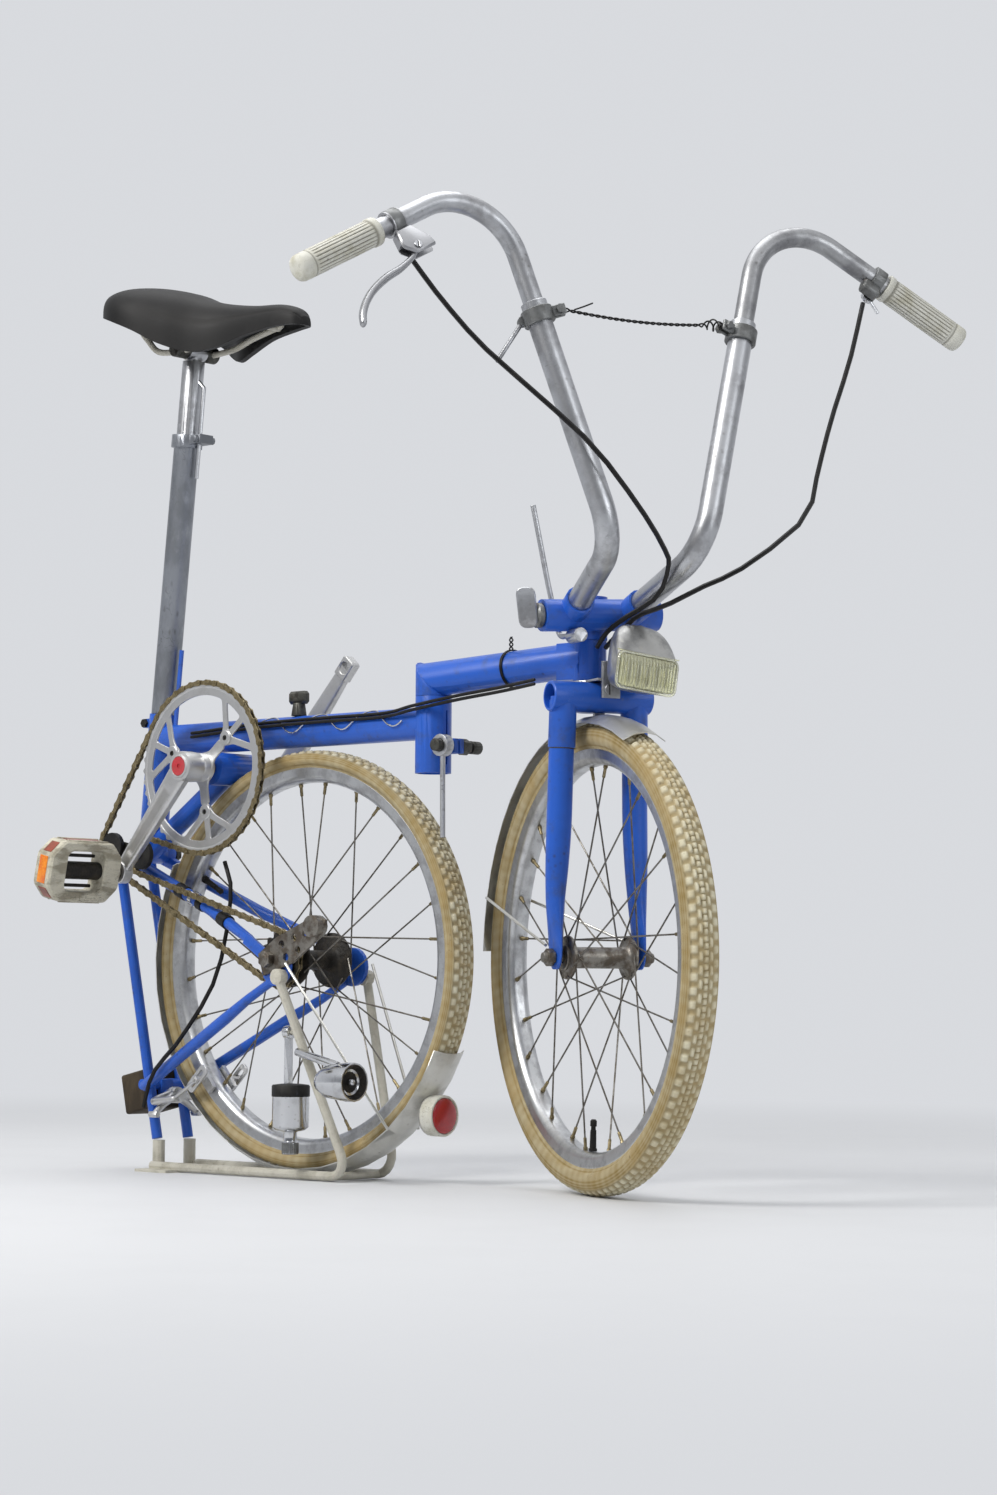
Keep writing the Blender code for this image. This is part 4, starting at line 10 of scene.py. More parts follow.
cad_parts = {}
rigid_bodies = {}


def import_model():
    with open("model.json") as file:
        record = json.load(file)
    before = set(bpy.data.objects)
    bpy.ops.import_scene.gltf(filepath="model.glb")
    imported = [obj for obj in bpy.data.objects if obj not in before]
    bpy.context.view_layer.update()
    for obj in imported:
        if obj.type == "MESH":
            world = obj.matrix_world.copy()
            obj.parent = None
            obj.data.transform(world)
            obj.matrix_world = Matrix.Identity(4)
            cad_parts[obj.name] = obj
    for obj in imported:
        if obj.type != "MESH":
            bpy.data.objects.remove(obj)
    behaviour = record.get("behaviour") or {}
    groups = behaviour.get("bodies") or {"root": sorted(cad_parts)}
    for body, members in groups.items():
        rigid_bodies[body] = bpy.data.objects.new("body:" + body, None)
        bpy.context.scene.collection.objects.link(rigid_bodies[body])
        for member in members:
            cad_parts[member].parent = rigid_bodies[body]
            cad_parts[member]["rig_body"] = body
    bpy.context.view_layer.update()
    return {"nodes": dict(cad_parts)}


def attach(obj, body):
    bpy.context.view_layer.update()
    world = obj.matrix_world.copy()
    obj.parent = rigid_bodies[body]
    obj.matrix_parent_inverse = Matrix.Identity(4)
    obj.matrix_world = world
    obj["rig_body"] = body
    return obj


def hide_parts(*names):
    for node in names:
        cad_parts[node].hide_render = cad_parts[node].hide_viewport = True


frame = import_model()
nodes = frame["nodes"]

# Places that several pieces share: the same figures as in the part's source, in metres
bike = {
    "steerX": 0.578, "steerTurn": math.radians(-24.4), "forkOffset": 0.022,
    "rimRadius": 0.206, "frontTyre": 0.233, "rearTyre": 0.2245,
    "rearAxle": (0.1905, 0.2315), "crank": (0.0655, 0.44), "crankTurn": math.radians(-131.4),
    "chainY": -0.0465, "pitch": 0.0127, "armY": -0.073,
    "upperPulley": (-0.03, 0.347), "lowerPulley": (-0.078, 0.357),
    "seatTube": (-0.0481, 0.507, 0.105),
}


# Shapes as arrays. A shell is a dictionary: p points, q quads, c loops of corners, m slot, t groove mask

def shell(points, quads, caps=(), slot=0, tint=None):
    # One piece of surface: n points (x, y, z), quads as rows of four point numbers, other faces as loops
    points = np.asarray(points, float).reshape(-1, 3)
    tint = np.zeros(len(points)) if tint is None else np.asarray(tint, float).ravel()
    return {"p": points, "q": quads, "c": [list(map(int, c)) for c in caps], "m": slot, "t": tint}


def grid(points, roundU=False, slot=0, tint=None, roundV=True):
    # Point (i, j) is row i, column j; each cell is one quad; rows close on themselves, open ends get a cap
    rows, cols = points.shape[:2]
    i, j = np.meshgrid(
        np.arange(rows if roundU else rows - 1), np.arange(cols if roundV else cols - 1), indexing="ij"
    )
    below, beside = (i + 1) % rows, (j + 1) % cols
    quads = np.stack([i * cols + j, i * cols + beside, below * cols + beside, below * cols + j], -1)
    caps = [] if roundU or not roundV else [range(cols), range((rows - 1) * cols, rows * cols)]
    return shell(points, quads.reshape(-1, 4), caps, slot, tint)


def unit(v):
    # Each vector over its own length
    v = np.asarray(v, float)
    return v / np.linalg.norm(v, axis=-1, keepdims=True)


def axes(direction):
    # Two unit vectors square to a direction and to each other
    d = unit(direction)
    spare = np.array([0.0, 0.0, 1.0]) if abs(d[2]) < 0.9 else np.array([1.0, 0.0, 0.0])
    first = unit(np.cross(spare, d))
    return first, np.cross(d, first), d


def lathe(profile, centre, axis, steps=40, ring=False, slot=0, ripple=None, tint=None):
    # Each (radius, height) goes once round the axis: centre + height * axis + radius * (cos, sin)
    profile = np.asarray(profile, float)
    first, second, d = axes(axis)
    angle = np.linspace(0, 2 * np.pi, steps, endpoint=False)
    swing = 0 if ripple is None else ripple(profile[:, 1:2], angle[None, :])
    radius = np.maximum(profile[:, :1], 2e-5) + swing
    points = (
        np.asarray(centre, float)
        + profile[:, 1][:, None, None] * d
        + (radius * np.cos(angle))[..., None] * first
        + (radius * np.sin(angle))[..., None] * second
    )
    mask = None if tint is None else tint(profile[:, 1:2], angle[None, :]) * np.ones_like(radius * angle)
    return grid(points, roundU=ring, slot=slot, tint=mask)


def carried(path):
    # Tangents by central difference, and a side vector that is carried along them without twist
    tangent = unit(np.gradient(path, axis=0))
    side = axes(tangent[0])[0]
    sides = []
    for t in tangent:
        side = unit(side - t * side.dot(t))
        sides.append(side)
    sides = np.array(sides)
    return tangent, sides, np.cross(tangent, sides)


def pipe(path, radius, sides=16, slot=0, domed=False, closed=False):
    # A circle of the radius at each place, square to the path; domed ends close as quarter circles
    path = np.asarray(path, float)
    radius = np.broadcast_to(np.asarray(radius, float), (len(path),)).copy()
    if domed:
        lean = np.radians([80.0, 55.0, 28.0])
        before, after = unit(path[0] - path[1]), unit(path[-1] - path[-2])
        head = path[0] + before * (np.sin(lean) * radius[0])[:, None]
        tail = path[-1] + after * (np.sin(lean[::-1]) * radius[-1])[:, None]
        path = np.concatenate([head, path, tail])
        radius = np.concatenate([np.cos(lean) * radius[0], radius, np.cos(lean[::-1]) * radius[-1]])
    _, side, over = carried(path)
    angle = np.linspace(0, 2 * np.pi, sides, endpoint=False)[None, :, None]
    around = np.cos(angle) * side[:, None] + np.sin(angle) * over[:, None]
    return grid(path[:, None] + radius[:, None, None] * around, roundU=closed, slot=slot)


def smooth(places, count):
    # A Catmull-Rom curve through the places, read at even parameters
    places = np.asarray(places, float)
    ends = np.concatenate([[2 * places[0] - places[1]], places, [2 * places[-1] - places[-2]]])
    s = np.linspace(0, len(places) - 1, count)
    span = np.minimum(s.astype(int), len(places) - 2)
    t = (s - span)[:, None] if places.ndim > 1 else s - span
    a, b, c, d = (ends[span + k] for k in range(4))
    return 0.5 * (2 * b + (c - a) * t + (2 * a - 5 * b + 4 * c - d) * t**2 + (3 * b - a - 3 * c + d) * t**3)


def bent(corners, bend, turns=14):
    # Straight runs joined by arcs of the bend radius at the inner corners
    corners = np.asarray(corners, float)
    points = [corners[:1]]
    for before, corner, after in zip(corners, corners[1:], corners[2:]):
        back, ahead = unit(before - corner), unit(after - corner)
        turn = np.pi - np.arccos(back.dot(ahead))
        reach = bend * np.tan(turn / 2)
        centre = corner + unit(back + ahead) * bend / np.cos(turn / 2)
        start, end = corner + back * reach - centre, corner + ahead * reach - centre
        t = np.linspace(0, 1, turns)[:, None]
        points.append(centre + (start * np.sin((1 - t) * turn) + end * np.sin(t * turn)) / np.sin(turn))
    return np.concatenate([*points, corners[-1:]])


def dense(path, step):
    # The same line with points no further apart than the step
    path = np.asarray(path, float)
    run = np.r_[0, np.cumsum(np.linalg.norm(np.diff(path, axis=0), axis=1))]
    at = np.union1d(run, np.linspace(0, run[-1], max(2, int(run[-1] / step))))
    at = at[np.r_[True, np.diff(at) > step * 0.2]]
    return np.stack([np.interp(at, run, path[:, k]) for k in range(3)], 1)


def roundCorners(outline, radius, steps=5):
    # Each corner becomes a quadratic curve that starts and ends the radius away from it
    outline = np.asarray(outline, float)
    before, after = np.roll(outline, 1, 0) - outline, np.roll(outline, -1, 0) - outline
    nearBefore = np.minimum(radius, np.linalg.norm(before, axis=1) * 0.45)[:, None] * unit(before)
    nearAfter = np.minimum(radius, np.linalg.norm(after, axis=1) * 0.45)[:, None] * unit(after)
    t = np.linspace(0, 1, steps)[None, :, None]
    start, end = (outline + nearBefore)[:, None], (outline + nearAfter)[:, None]
    return ((1 - t) ** 2 * start + 2 * t * (1 - t) * outline[:, None] + t**2 * end).reshape(-1, 2)


def plate(loops, thick, edge=0.0004, slot=0, lift=0.0):
    # An outline with holes, as thick as said about z = 0; both faces are drawn in by the edge width
    points, quads, caps, start = [], [], [], 0
    faces = []
    for k, loop in enumerate(loops):
        loop = np.asarray(loop, float)
        along = unit(np.roll(loop, -1, 0) - np.roll(loop, 1, 0))
        area = np.sum(loop[:, 0] * np.roll(loop[:, 1], -1) - loop[:, 1] * np.roll(loop[:, 0], -1))
        inward = np.stack([-along[:, 1], along[:, 0]], 1) * (np.sign(area) if k == 0 else -np.sign(area))
        drawn = loop + inward * edge
        half = thick / 2
        levels = ((drawn, half), (loop, half - edge), (loop, edge - half), (drawn, -half))
        side = grid(np.stack([np.c_[row, np.full(len(loop), h)] for row, h in levels]))
        points.append(side["p"])
        quads.append(side["q"] + start)
        faces.append((drawn, start, len(loop)))
        start += len(side["p"])
    flat = [[Vector((*p, 0)) for p in drawn] for drawn, _, _ in faces]
    top = np.concatenate([np.arange(n) + s for _, s, n in faces])
    low = np.concatenate([np.arange(n) + s + 3 * n for _, s, n in faces])
    for a, b, c in tessellate_polygon(flat):
        caps += [(top[a], top[b], top[c]), (low[c], low[b], low[a])]
    made = shell(np.concatenate(points), np.concatenate(quads), caps, slot)
    made["p"][:, 2] += lift
    return made


def slab(size, edge=0.0006, slot=0):
    # A box with all its edges cut back: a rounded rectangle on the larger face, drawn in at both ends
    x, y, z = (s / 2 for s in size)
    corners = np.array([(-x, -y), (x, -y), (x, y), (-x, y)])
    return plate([roundCorners(corners, edge * 2, 4)], 2 * z, edge, slot)


def circle(radius, centre=(0, 0), count=24):
    # Points centre + radius * (cos, sin) at even angles
    a = np.linspace(0, 2 * np.pi, count, endpoint=False)
    return np.stack([centre[0] + radius * np.cos(a), centre[1] + radius * np.sin(a)], 1)


def placed(made, origin, x=None, y=None, z=None):
    # The shell in a frame of its own: origin and three unit vectors
    made["p"] = np.asarray(origin, float) + made["p"] @ np.array([unit(x), unit(y), unit(z)])
    return made


def turnedBy(made, matrix):
    # Every point times the rotation part of the matrix, plus its place part
    matrix = np.array(matrix)
    made["p"] = made["p"] @ matrix[:3, :3].T + matrix[:3, 3]
    return made


forkPlace = np.array(Matrix.Translation((bike["steerX"], 0, 0)) @ Matrix.Rotation(bike["steerTurn"], 4, "Z"))


def atFork(made):
    # From the straight-ahead frame of the fork into the steered one
    return turnedBy(made, forkPlace)


def seatPoint(z, ahead=0.0, y=0.0):
    # The seat tube line at a height: x grows with the height by the lean
    x, base, lean = bike["seatTube"]
    return np.array([x + lean * (z - base) + ahead, y, z])


def copies(template, origins, x, y, z):
    # One small shell set down at many places at once, each with its own three directions
    t = template["p"][None]
    x, y, z = x[:, None], y[:, None], z[:, None]
    points = origins[:, None] + t[..., :1] * x + t[..., 1:2] * y + t[..., 2:] * z
    n, k = len(origins), len(template["p"])
    shift = (np.arange(n) * k)[:, None, None]
    quads = (template["q"][None] + shift).reshape(-1, 4)
    caps = [[v + s * k for v in c] for s in range(n) for c in template["c"]]
    return shell(points, quads, caps, template["m"], np.tile(template["t"], n))


def joinShells(shells):
    # All shells as one, with point numbers shifted by the counts before them; slot of the first
    start = np.cumsum([0] + [len(s["p"]) for s in shells])[:-1]
    return shell(
        np.concatenate([s["p"] for s in shells]),
        np.concatenate([s["q"].reshape(-1, 4) + k for s, k in zip(shells, start)]).astype(int),
        [[v + k for v in c] for s, k in zip(shells, start) for c in s["c"]],
        shells[0]["m"],
        np.concatenate([s["t"] for s in shells]),
    )


def meshOf(name, shells):
    # Points, corners and faces end to end in flat arrays; a face keeps its slot, a point its groove mask
    start = np.cumsum([0] + [len(s["p"]) for s in shells])[:-1]
    points = np.concatenate([s["p"] for s in shells])
    quads = [s["q"].reshape(-1, 4) + k for s, k in zip(shells, start)]
    loops = [[v + k for v in c] for s, k in zip(shells, start) for c in s["c"]]
    slots = [np.full(len(q), s["m"]) for q, s in zip(quads, shells)]
    slots.append(np.array([s["m"] for s in shells for _ in s["c"]], int))
    quads = np.concatenate(quads)
    sizes = np.concatenate([np.full(len(quads), 4), [len(c) for c in loops]]).astype(int)
    corners = np.concatenate([quads.ravel(), *[np.asarray(c) for c in loops]]).astype(int)
    mesh = bpy.data.meshes.new(name)
    mesh.vertices.add(len(points))
    mesh.vertices.foreach_set("co", points.ravel())
    mesh.loops.add(len(corners))
    mesh.loops.foreach_set("vertex_index", corners)
    mesh.polygons.add(len(sizes))
    mesh.polygons.foreach_set("loop_start", np.r_[0, np.cumsum(sizes)[:-1]])
    mesh.polygons.foreach_set("material_index", np.concatenate(slots))
    mesh.update(calc_edges=True)
    groove = mesh.attributes.new("groove", "FLOAT", "POINT")
    groove.data.foreach_set("value", np.concatenate([s["t"] for s in shells]))
    bm = bmesh.new()
    bm.from_mesh(mesh)
    bmesh.ops.recalc_face_normals(bm, faces=bm.faces)
    bm.to_mesh(mesh)
    bm.free()
    return mesh


def addPiece(name, shells, body, finishes, replaces=(), sharp=38, bevel=0.0):
    # A new visible piece from shells, riding on a body and replacing the named nodes
    mesh = meshOf(name, shells)
    return settle(name, mesh, body, finishes, replaces, sharp, bevel)


def settle(name, mesh, body, finishes, replaces, sharp, bevel):
    # The object with its finishes, smooth up to the sharp angle, with a width of bevel if any
    piece = bpy.data.objects.new(name, mesh)
    bpy.context.scene.collection.objects.link(piece)
    for made in finishes:
        mesh.materials.append(made)
    mesh.shade_smooth()
    mesh.set_sharp_from_angle(angle=math.radians(sharp))
    if bevel:
        soft = piece.modifiers.new("edges", "BEVEL")
        soft.width = bevel
        soft.segments = 2
        soft.limit_method = "ANGLE"
        soft.angle_limit = math.radians(sharp)
    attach(piece, body)
    if replaces:
        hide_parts(*replaces)
    return piece


def dress(node, name, made, bevel=0.0, sharp=33):
    # A merged copy of a CAD node's own mesh, shaded smooth up to its real edges, in place of it
    bm = bmesh.new()
    bm.from_mesh(nodes[node].data)
    bmesh.ops.remove_doubles(bm, verts=bm.verts, dist=2e-6)
    bmesh.ops.dissolve_degenerate(bm, edges=bm.edges, dist=1e-6)
    mesh = bpy.data.meshes.new(name)
    bm.to_mesh(mesh)
    bm.free()
    mesh.polygons.foreach_set("material_index", np.zeros(len(mesh.polygons), int))
    mesh.attributes.new("groove", "FLOAT", "POINT")
    return settle(name, mesh, nodes[node]["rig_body"], [made], [node], sharp, bevel)


# Shared masks

def newGroup(name, scale, low, high):
    # A node group with a place, a scale and two limits as inputs, and one mask as output
    tree = bpy.data.node_groups.new(name, "ShaderNodeTree")
    tree.interface.new_socket("Vector", in_out="INPUT", socket_type="NodeSocketVector")
    for label, value in (("Scale", scale), ("Low", low), ("High", high)):
        tree.interface.new_socket(label, in_out="INPUT", socket_type="NodeSocketFloat").default_value = value
    tree.interface.new_socket("Mask", in_out="OUTPUT", socket_type="NodeSocketFloat")
    return tree, tree.nodes.new("NodeGroupInput").outputs, tree.nodes.new("NodeGroupOutput")


def put(tree, kind, links=(), **values):
    # A node with its plain settings, and its inputs set by number or linked from other sockets
    node = tree.nodes.new(kind)
    for key, value in values.items():
        setattr(node, key, value)
    for key, value in links:
        if isinstance(value, bpy.types.NodeSocket):
            tree.links.new(value, node.inputs[key])
        else:
            node.inputs[key].default_value = value
    return node


def mathNode(tree, operation, first, second=0.0, clamp=False):
    # One math node over two values or sockets
    links = [(0, first), (1, second)]
    return put(tree, "ShaderNodeMath", links, operation=operation, use_clamp=clamp).outputs[0]


def ramp(tree, value, low, high, soft=False):
    # From 0 at low to 1 at high, straight or as a smooth step
    links = [("Value", value), ("From Min", low), ("From Max", high)]
    way = "SMOOTHSTEP" if soft else "LINEAR"
    return put(tree, "ShaderNodeMapRange", links, interpolation_type=way).outputs["Result"]


def noise(tree, where, scale, **values):
    # Noise between 0 and 1 at the place times the scale
    links = [("Vector", where), ("Scale", scale), *values.items()]
    return put(tree, "ShaderNodeTexNoise", links).outputs["Fac"]


def maskGroups():
    # patches: smooth step over noise; scuffs: 1 near the noise value 0.5; specks: 1 near Voronoi centres.
    # The last two are times a broad noise, so that they come in clusters
    patchTree, given, out = newGroup("patches", 30.0, 0.45, 0.65)
    cloud = noise(patchTree, given["Vector"], given["Scale"], Detail=6.0, Roughness=0.62)
    patchTree.links.new(ramp(patchTree, cloud, given["Low"], given["High"], soft=True), out.inputs["Mask"])

    scuffTree, given, out = newGroup("scuffs", 60.0, 0.012, 0.55)
    cloud = noise(scuffTree, given["Vector"], given["Scale"], Detail=1.0, Distortion=1.6)
    near = mathNode(scuffTree, "ABSOLUTE", mathNode(scuffTree, "SUBTRACT", cloud, 0.5))
    line = ramp(scuffTree, near, given["Low"], 0.0)
    some = ramp(scuffTree, noise(scuffTree, given["Vector"], 22.0, Detail=3.0), given["High"], 0.75)
    scuffTree.links.new(mathNode(scuffTree, "MULTIPLY", line, some), out.inputs["Mask"])

    speckTree, given, out = newGroup("specks", 200.0, 0.12, 0.5)
    cells = put(speckTree, "ShaderNodeTexVoronoi", [("Vector", given["Vector"]), ("Scale", given["Scale"])])
    dot = ramp(speckTree, cells.outputs["Distance"], given["Low"], 0.0)
    some = ramp(speckTree, noise(speckTree, given["Vector"], 28.0, Detail=3.0), given["High"], 0.72)
    speckTree.links.new(mathNode(speckTree, "MULTIPLY", dot, some, clamp=True), out.inputs["Mask"])
    return {"patches": patchTree, "scuffs": scuffTree, "specks": speckTree}


masks = maskGroups()


def finish(name, base, rough, layers, metal=0.0, coat=0.0, bump=0.0006, stretch=None, glass=0.0, specular=0.5):
    # Layers lie over the base colour in turn; each is a mask with its own colour, roughness and height
    made = bpy.data.materials.new(name)
    made.use_nodes = True
    tree = made.node_tree
    shader = tree.nodes["Principled BSDF"]
    where = put(tree, "ShaderNodeTexCoord").outputs["Object"]
    if stretch:
        where = put(tree, "ShaderNodeMapping", [("Vector", where), ("Scale", stretch)]).outputs["Vector"]
    rgba = (*base, 1.0)
    colour = roughness = height = metallic = None
    for over in layers:
        kind = over["kind"]
        if kind == "groove":
            mask = put(tree, "ShaderNodeAttribute", attribute_name="groove").outputs["Fac"]
        else:
            node = tree.nodes.new("ShaderNodeGroup")
            node.node_tree = masks[kind]
            tree.links.new(where, node.inputs["Vector"])
            for key, label in (("scale", "Scale"), ("low", "Low"), ("high", "High")):
                if key in over:
                    node.inputs[label].default_value = over[key]
            mask = node.outputs["Mask"]
        part = mathNode(tree, "MULTIPLY", mask, over["amount"], clamp=True)
        if "colour" in over:
            links = [("Factor", part), (6, colour or rgba), (7, (*over["colour"], 1.0))]
            colour = put(tree, "ShaderNodeMix", links, data_type="RGBA").outputs[2]
        if "rough" in over:
            links = [(0, part), (2, roughness or rough), (3, over["rough"])]
            roughness = put(tree, "ShaderNodeMix", links).outputs[0]
        if "metal" in over:
            links = [(0, part), (2, metallic or metal), (3, over["metal"])]
            metallic = put(tree, "ShaderNodeMix", links).outputs[0]
        if "height" in over:
            size = mathNode(tree, "MULTIPLY", part, over["height"])
            height = size if height is None else mathNode(tree, "ADD", height, size)
    plain = {
        "Base Color": rgba, "Roughness": rough, "Metallic": metal, "Coat Weight": coat, "Coat Roughness": 0.12,
        "Transmission Weight": glass, "Specular IOR Level": specular,
    }
    for label, value in plain.items():
        shader.inputs[label].default_value = value
    for label, socket in (("Base Color", colour), ("Roughness", roughness), ("Metallic", metallic)):
        if socket:
            tree.links.new(socket, shader.inputs[label])
    if height:
        relief = put(tree, "ShaderNodeBump", [("Height", height), ("Distance", bump)])
        tree.links.new(relief.outputs["Normal"], shader.inputs["Normal"])
    return made


def layer(kind, colour, values):
    # The mask's kind and values, with the colour where there is one
    return {"kind": kind, **({"colour": colour} if colour else {}), **values}


def patches(colour=None, scale=30.0, low=0.45, high=0.65, amount=1.0, **more):
    # Layer of soft patches where noise lies between low and high
    return layer("patches", colour, {"scale": scale, "low": low, "high": high, "amount": amount, **more})


def scuffs(colour=None, scale=60.0, width=0.012, where=0.5, amount=1.0, **more):
    # Layer of thin winding lines; width in noise value, where = how rare
    return layer("scuffs", colour, {"scale": scale, "low": width, "high": where, "amount": amount, **more})


def specks(colour=None, scale=200.0, size=0.18, where=0.5, amount=1.0, **more):
    # Layer of round dots of the size (in cells), where = how rare
    return layer("specks", colour, {"scale": scale, "low": size, "high": where, "amount": amount, **more})


def groove(colour=None, amount=1.0, **more):
    # Layer over the mesh's own groove mask; where it darkens grooves, that is painted shade, on worn parts with
    # dirt
    return layer("groove", colour, {"amount": amount, **more})


bluePaint = finish("blueEnamel", (0.016, 0.098, 0.5), 0.36, [
    patches((0.012, 0.066, 0.33), 14, 0.42, 0.7, 0.55),
    patches((0.045, 0.062, 0.125), 48, 0.52, 0.74, 0.55, rough=0.58),
    scuffs((0.1, 0.2, 0.5), 90, 0.01, 0.48, 0.6, rough=0.5),
    specks((0.03, 0.026, 0.024), 110, 0.26, 0.47, 0.95, rough=0.7, height=-0.8),
    specks((0.16, 0.15, 0.13), 70, 0.16, 0.53, 0.8, rough=0.6, height=-0.6),
    patches(None, 420, 0.35, 0.7, 0.12, height=0.35),
], coat=0.1, bump=0.00025, specular=0.35)
# Darker copy of oldAluminium, used only for the left upper bar on the far side: painted shade
shadedBar = finish("shadedBar", (0.36, 0.365, 0.375), 0.34, [
    patches((0.19, 0.19, 0.2), 30, 0.42, 0.68, 0.85, rough=0.5),
    patches((0.48, 0.485, 0.5), 90, 0.54, 0.7, 0.5),
    scuffs((0.1, 0.095, 0.09), 80, 0.014, 0.48, 0.7, rough=0.6),
    specks((0.08, 0.065, 0.05), 140, 0.28, 0.48, 0.85, rough=0.7, height=-0.6),
], metal=1.0, bump=0.0002)
oldAluminium = finish("oldAluminium", (0.47, 0.48, 0.5), 0.34, [
    patches((0.26, 0.26, 0.27), 26, 0.44, 0.7, 0.85, rough=0.5),
    patches((0.6, 0.61, 0.64), 90, 0.52, 0.7, 0.5),
    scuffs((0.16, 0.16, 0.16), 70, 0.014, 0.48, 0.75, rough=0.6),
    specks((0.12, 0.105, 0.09), 130, 0.28, 0.48, 0.85, rough=0.7, height=-0.6),
    patches(None, 600, 0.3, 0.7, 0.2, height=0.3),
], metal=1.0, bump=0.0002)
postMetal = finish("postMetal", (0.3, 0.315, 0.345), 0.38, [
    patches((0.19, 0.2, 0.215), 24, 0.42, 0.68, 0.8, rough=0.5),
    patches((0.4, 0.42, 0.45), 80, 0.54, 0.72, 0.5),
    scuffs((0.1, 0.1, 0.1), 60, 0.014, 0.48, 0.75, rough=0.6),
    specks((0.09, 0.08, 0.07), 120, 0.26, 0.47, 0.85, rough=0.7, height=-0.6),
], metal=1.0, bump=0.0002, stretch=(1.0, 1.0, 0.45))
leverAlloy = finish("leverAlloy", (0.4, 0.405, 0.42), 0.34, [
    patches((0.31, 0.31, 0.32), 30, 0.46, 0.7, 0.55, rough=0.4),
    scuffs((0.3, 0.3, 0.3), 60, 0.008, 0.52, 0.5, rough=0.4),
], metal=1.0, bump=0.0001)
brightAlloy = finish("brightAlloy", (0.6, 0.6, 0.6), 0.4, [
    patches((0.44, 0.44, 0.43), 40, 0.45, 0.7, 0.55, rough=0.48),
    scuffs((0.3, 0.29, 0.27), 110, 0.01, 0.5, 0.6, rough=0.5),
    specks((0.2, 0.18, 0.15), 150, 0.2, 0.55, 0.7, rough=0.7),
    # Crank flutes darker: painted shade and dirt
    groove((0.28, 0.27, 0.25), 0.75, rough=0.5),
], metal=1.0, bump=0.0002)
rimMetal = finish("rimMetal", (0.56, 0.57, 0.58), 0.3, [
    patches((0.34, 0.34, 0.35), 60, 0.42, 0.66, 0.75, rough=0.46),
    specks((0.66, 0.66, 0.65), 420, 0.3, 0.42, 0.6, rough=0.5, height=0.4),
    specks((0.16, 0.12, 0.08), 260, 0.24, 0.46, 0.8, rough=0.75, metal=0.3),
    scuffs((0.2, 0.2, 0.2), 80, 0.012, 0.48, 0.6),
], metal=1.0, bump=0.0002)
spokeSteel = finish("spokeSteel", (0.2, 0.19, 0.175), 0.42, [
    patches((0.1, 0.085, 0.065), 90, 0.42, 0.62, 0.8, rough=0.6),
    specks((0.24, 0.15, 0.08), 300, 0.3, 0.45, 0.6, rough=0.7),
], metal=1.0)
hubSteel = finish("hubSteel", (0.26, 0.245, 0.22), 0.4, [
    patches((0.1, 0.08, 0.062), 80, 0.4, 0.62, 0.85, rough=0.6),
    specks((0.22, 0.13, 0.07), 260, 0.3, 0.44, 0.7, rough=0.75, metal=0.4, height=-0.3),
], metal=1.0)
chainMetal = finish("chainMetal", (0.27, 0.22, 0.125), 0.42, [
    patches((0.11, 0.088, 0.048), 150, 0.42, 0.62, 0.8, rough=0.62),
    patches((0.42, 0.36, 0.22), 320, 0.54, 0.7, 0.6, rough=0.35),
    # Rollers darker: dirt and painted shade
    groove((0.04, 0.032, 0.024), 0.95, rough=0.7, metal=0.3),
], metal=0.9)
darkFitting = finish("darkFitting", (0.07, 0.07, 0.062), 0.46, [
    patches((0.15, 0.145, 0.125), 70, 0.5, 0.7, 0.65, rough=0.38),
    patches((0.03, 0.027, 0.023), 130, 0.46, 0.62, 0.8, rough=0.65),
    specks((0.18, 0.08, 0.035), 160, 0.3, 0.5, 0.6, rough=0.8, metal=0.1),
], metal=0.7, bump=0.0003)
greyFitting = finish("greyFitting", (0.2, 0.205, 0.205), 0.42, [
    patches((0.1, 0.1, 0.095), 60, 0.44, 0.66, 0.8, rough=0.55),
    scuffs((0.38, 0.38, 0.37), 90, 0.014, 0.46, 0.6, rough=0.35),
    specks((0.24, 0.09, 0.035), 110, 0.36, 0.55, 0.7, rough=0.8, metal=0.1),
], metal=0.85, bump=0.0003)
tyreRubber = finish("tyreRubber", (0.67, 0.63, 0.475), 0.84, [
    patches((0.5, 0.42, 0.25), 30, 0.44, 0.66, 0.65),
    # Tread grooves and wall rings darker, the wall a darker tone: painted shade and dirt
    groove((0.225, 0.15, 0.04), 1.0, rough=0.88),
    patches((0.4, 0.29, 0.13), 12, 0.42, 0.7, 0.5),
    specks((0.13, 0.08, 0.035), 240, 0.26, 0.42, 0.8),
    specks((0.08, 0.055, 0.03), 90, 0.2, 0.52, 0.7),
    patches(None, 500, 0.3, 0.7, 0.5, height=0.6),
], bump=0.0004, specular=0.25)
creamPlastic = finish("creamPlastic", (0.605, 0.6, 0.54), 0.46, [
    patches((0.42, 0.4, 0.3), 45, 0.44, 0.68, 0.7, rough=0.6),
    scuffs((0.15, 0.135, 0.095), 110, 0.02, 0.44, 0.8, rough=0.7),
    # Grip flutes, dots and rings darker: painted shade and dirt
    groove((0.11, 0.1, 0.072), 0.9, rough=0.7),
    specks((0.07, 0.062, 0.045), 150, 0.26, 0.52, 0.85),
], bump=0.0003, specular=0.35)
pedalPlastic = finish("pedalPlastic", (0.56, 0.53, 0.43), 0.52, [
    patches((0.24, 0.215, 0.155), 50, 0.42, 0.6, 0.8, rough=0.7, height=-0.4),
    groove((0.15, 0.125, 0.085), 0.92, rough=0.75),
    scuffs((0.07, 0.062, 0.045), 130, 0.034, 0.32, 0.95, rough=0.7, height=-0.6),
    scuffs((0.09, 0.082, 0.06), 240, 0.034, 0.36, 0.85, height=-0.4),
], bump=0.0005, stretch=(1.0, 0.45, 1.6), specular=0.3)
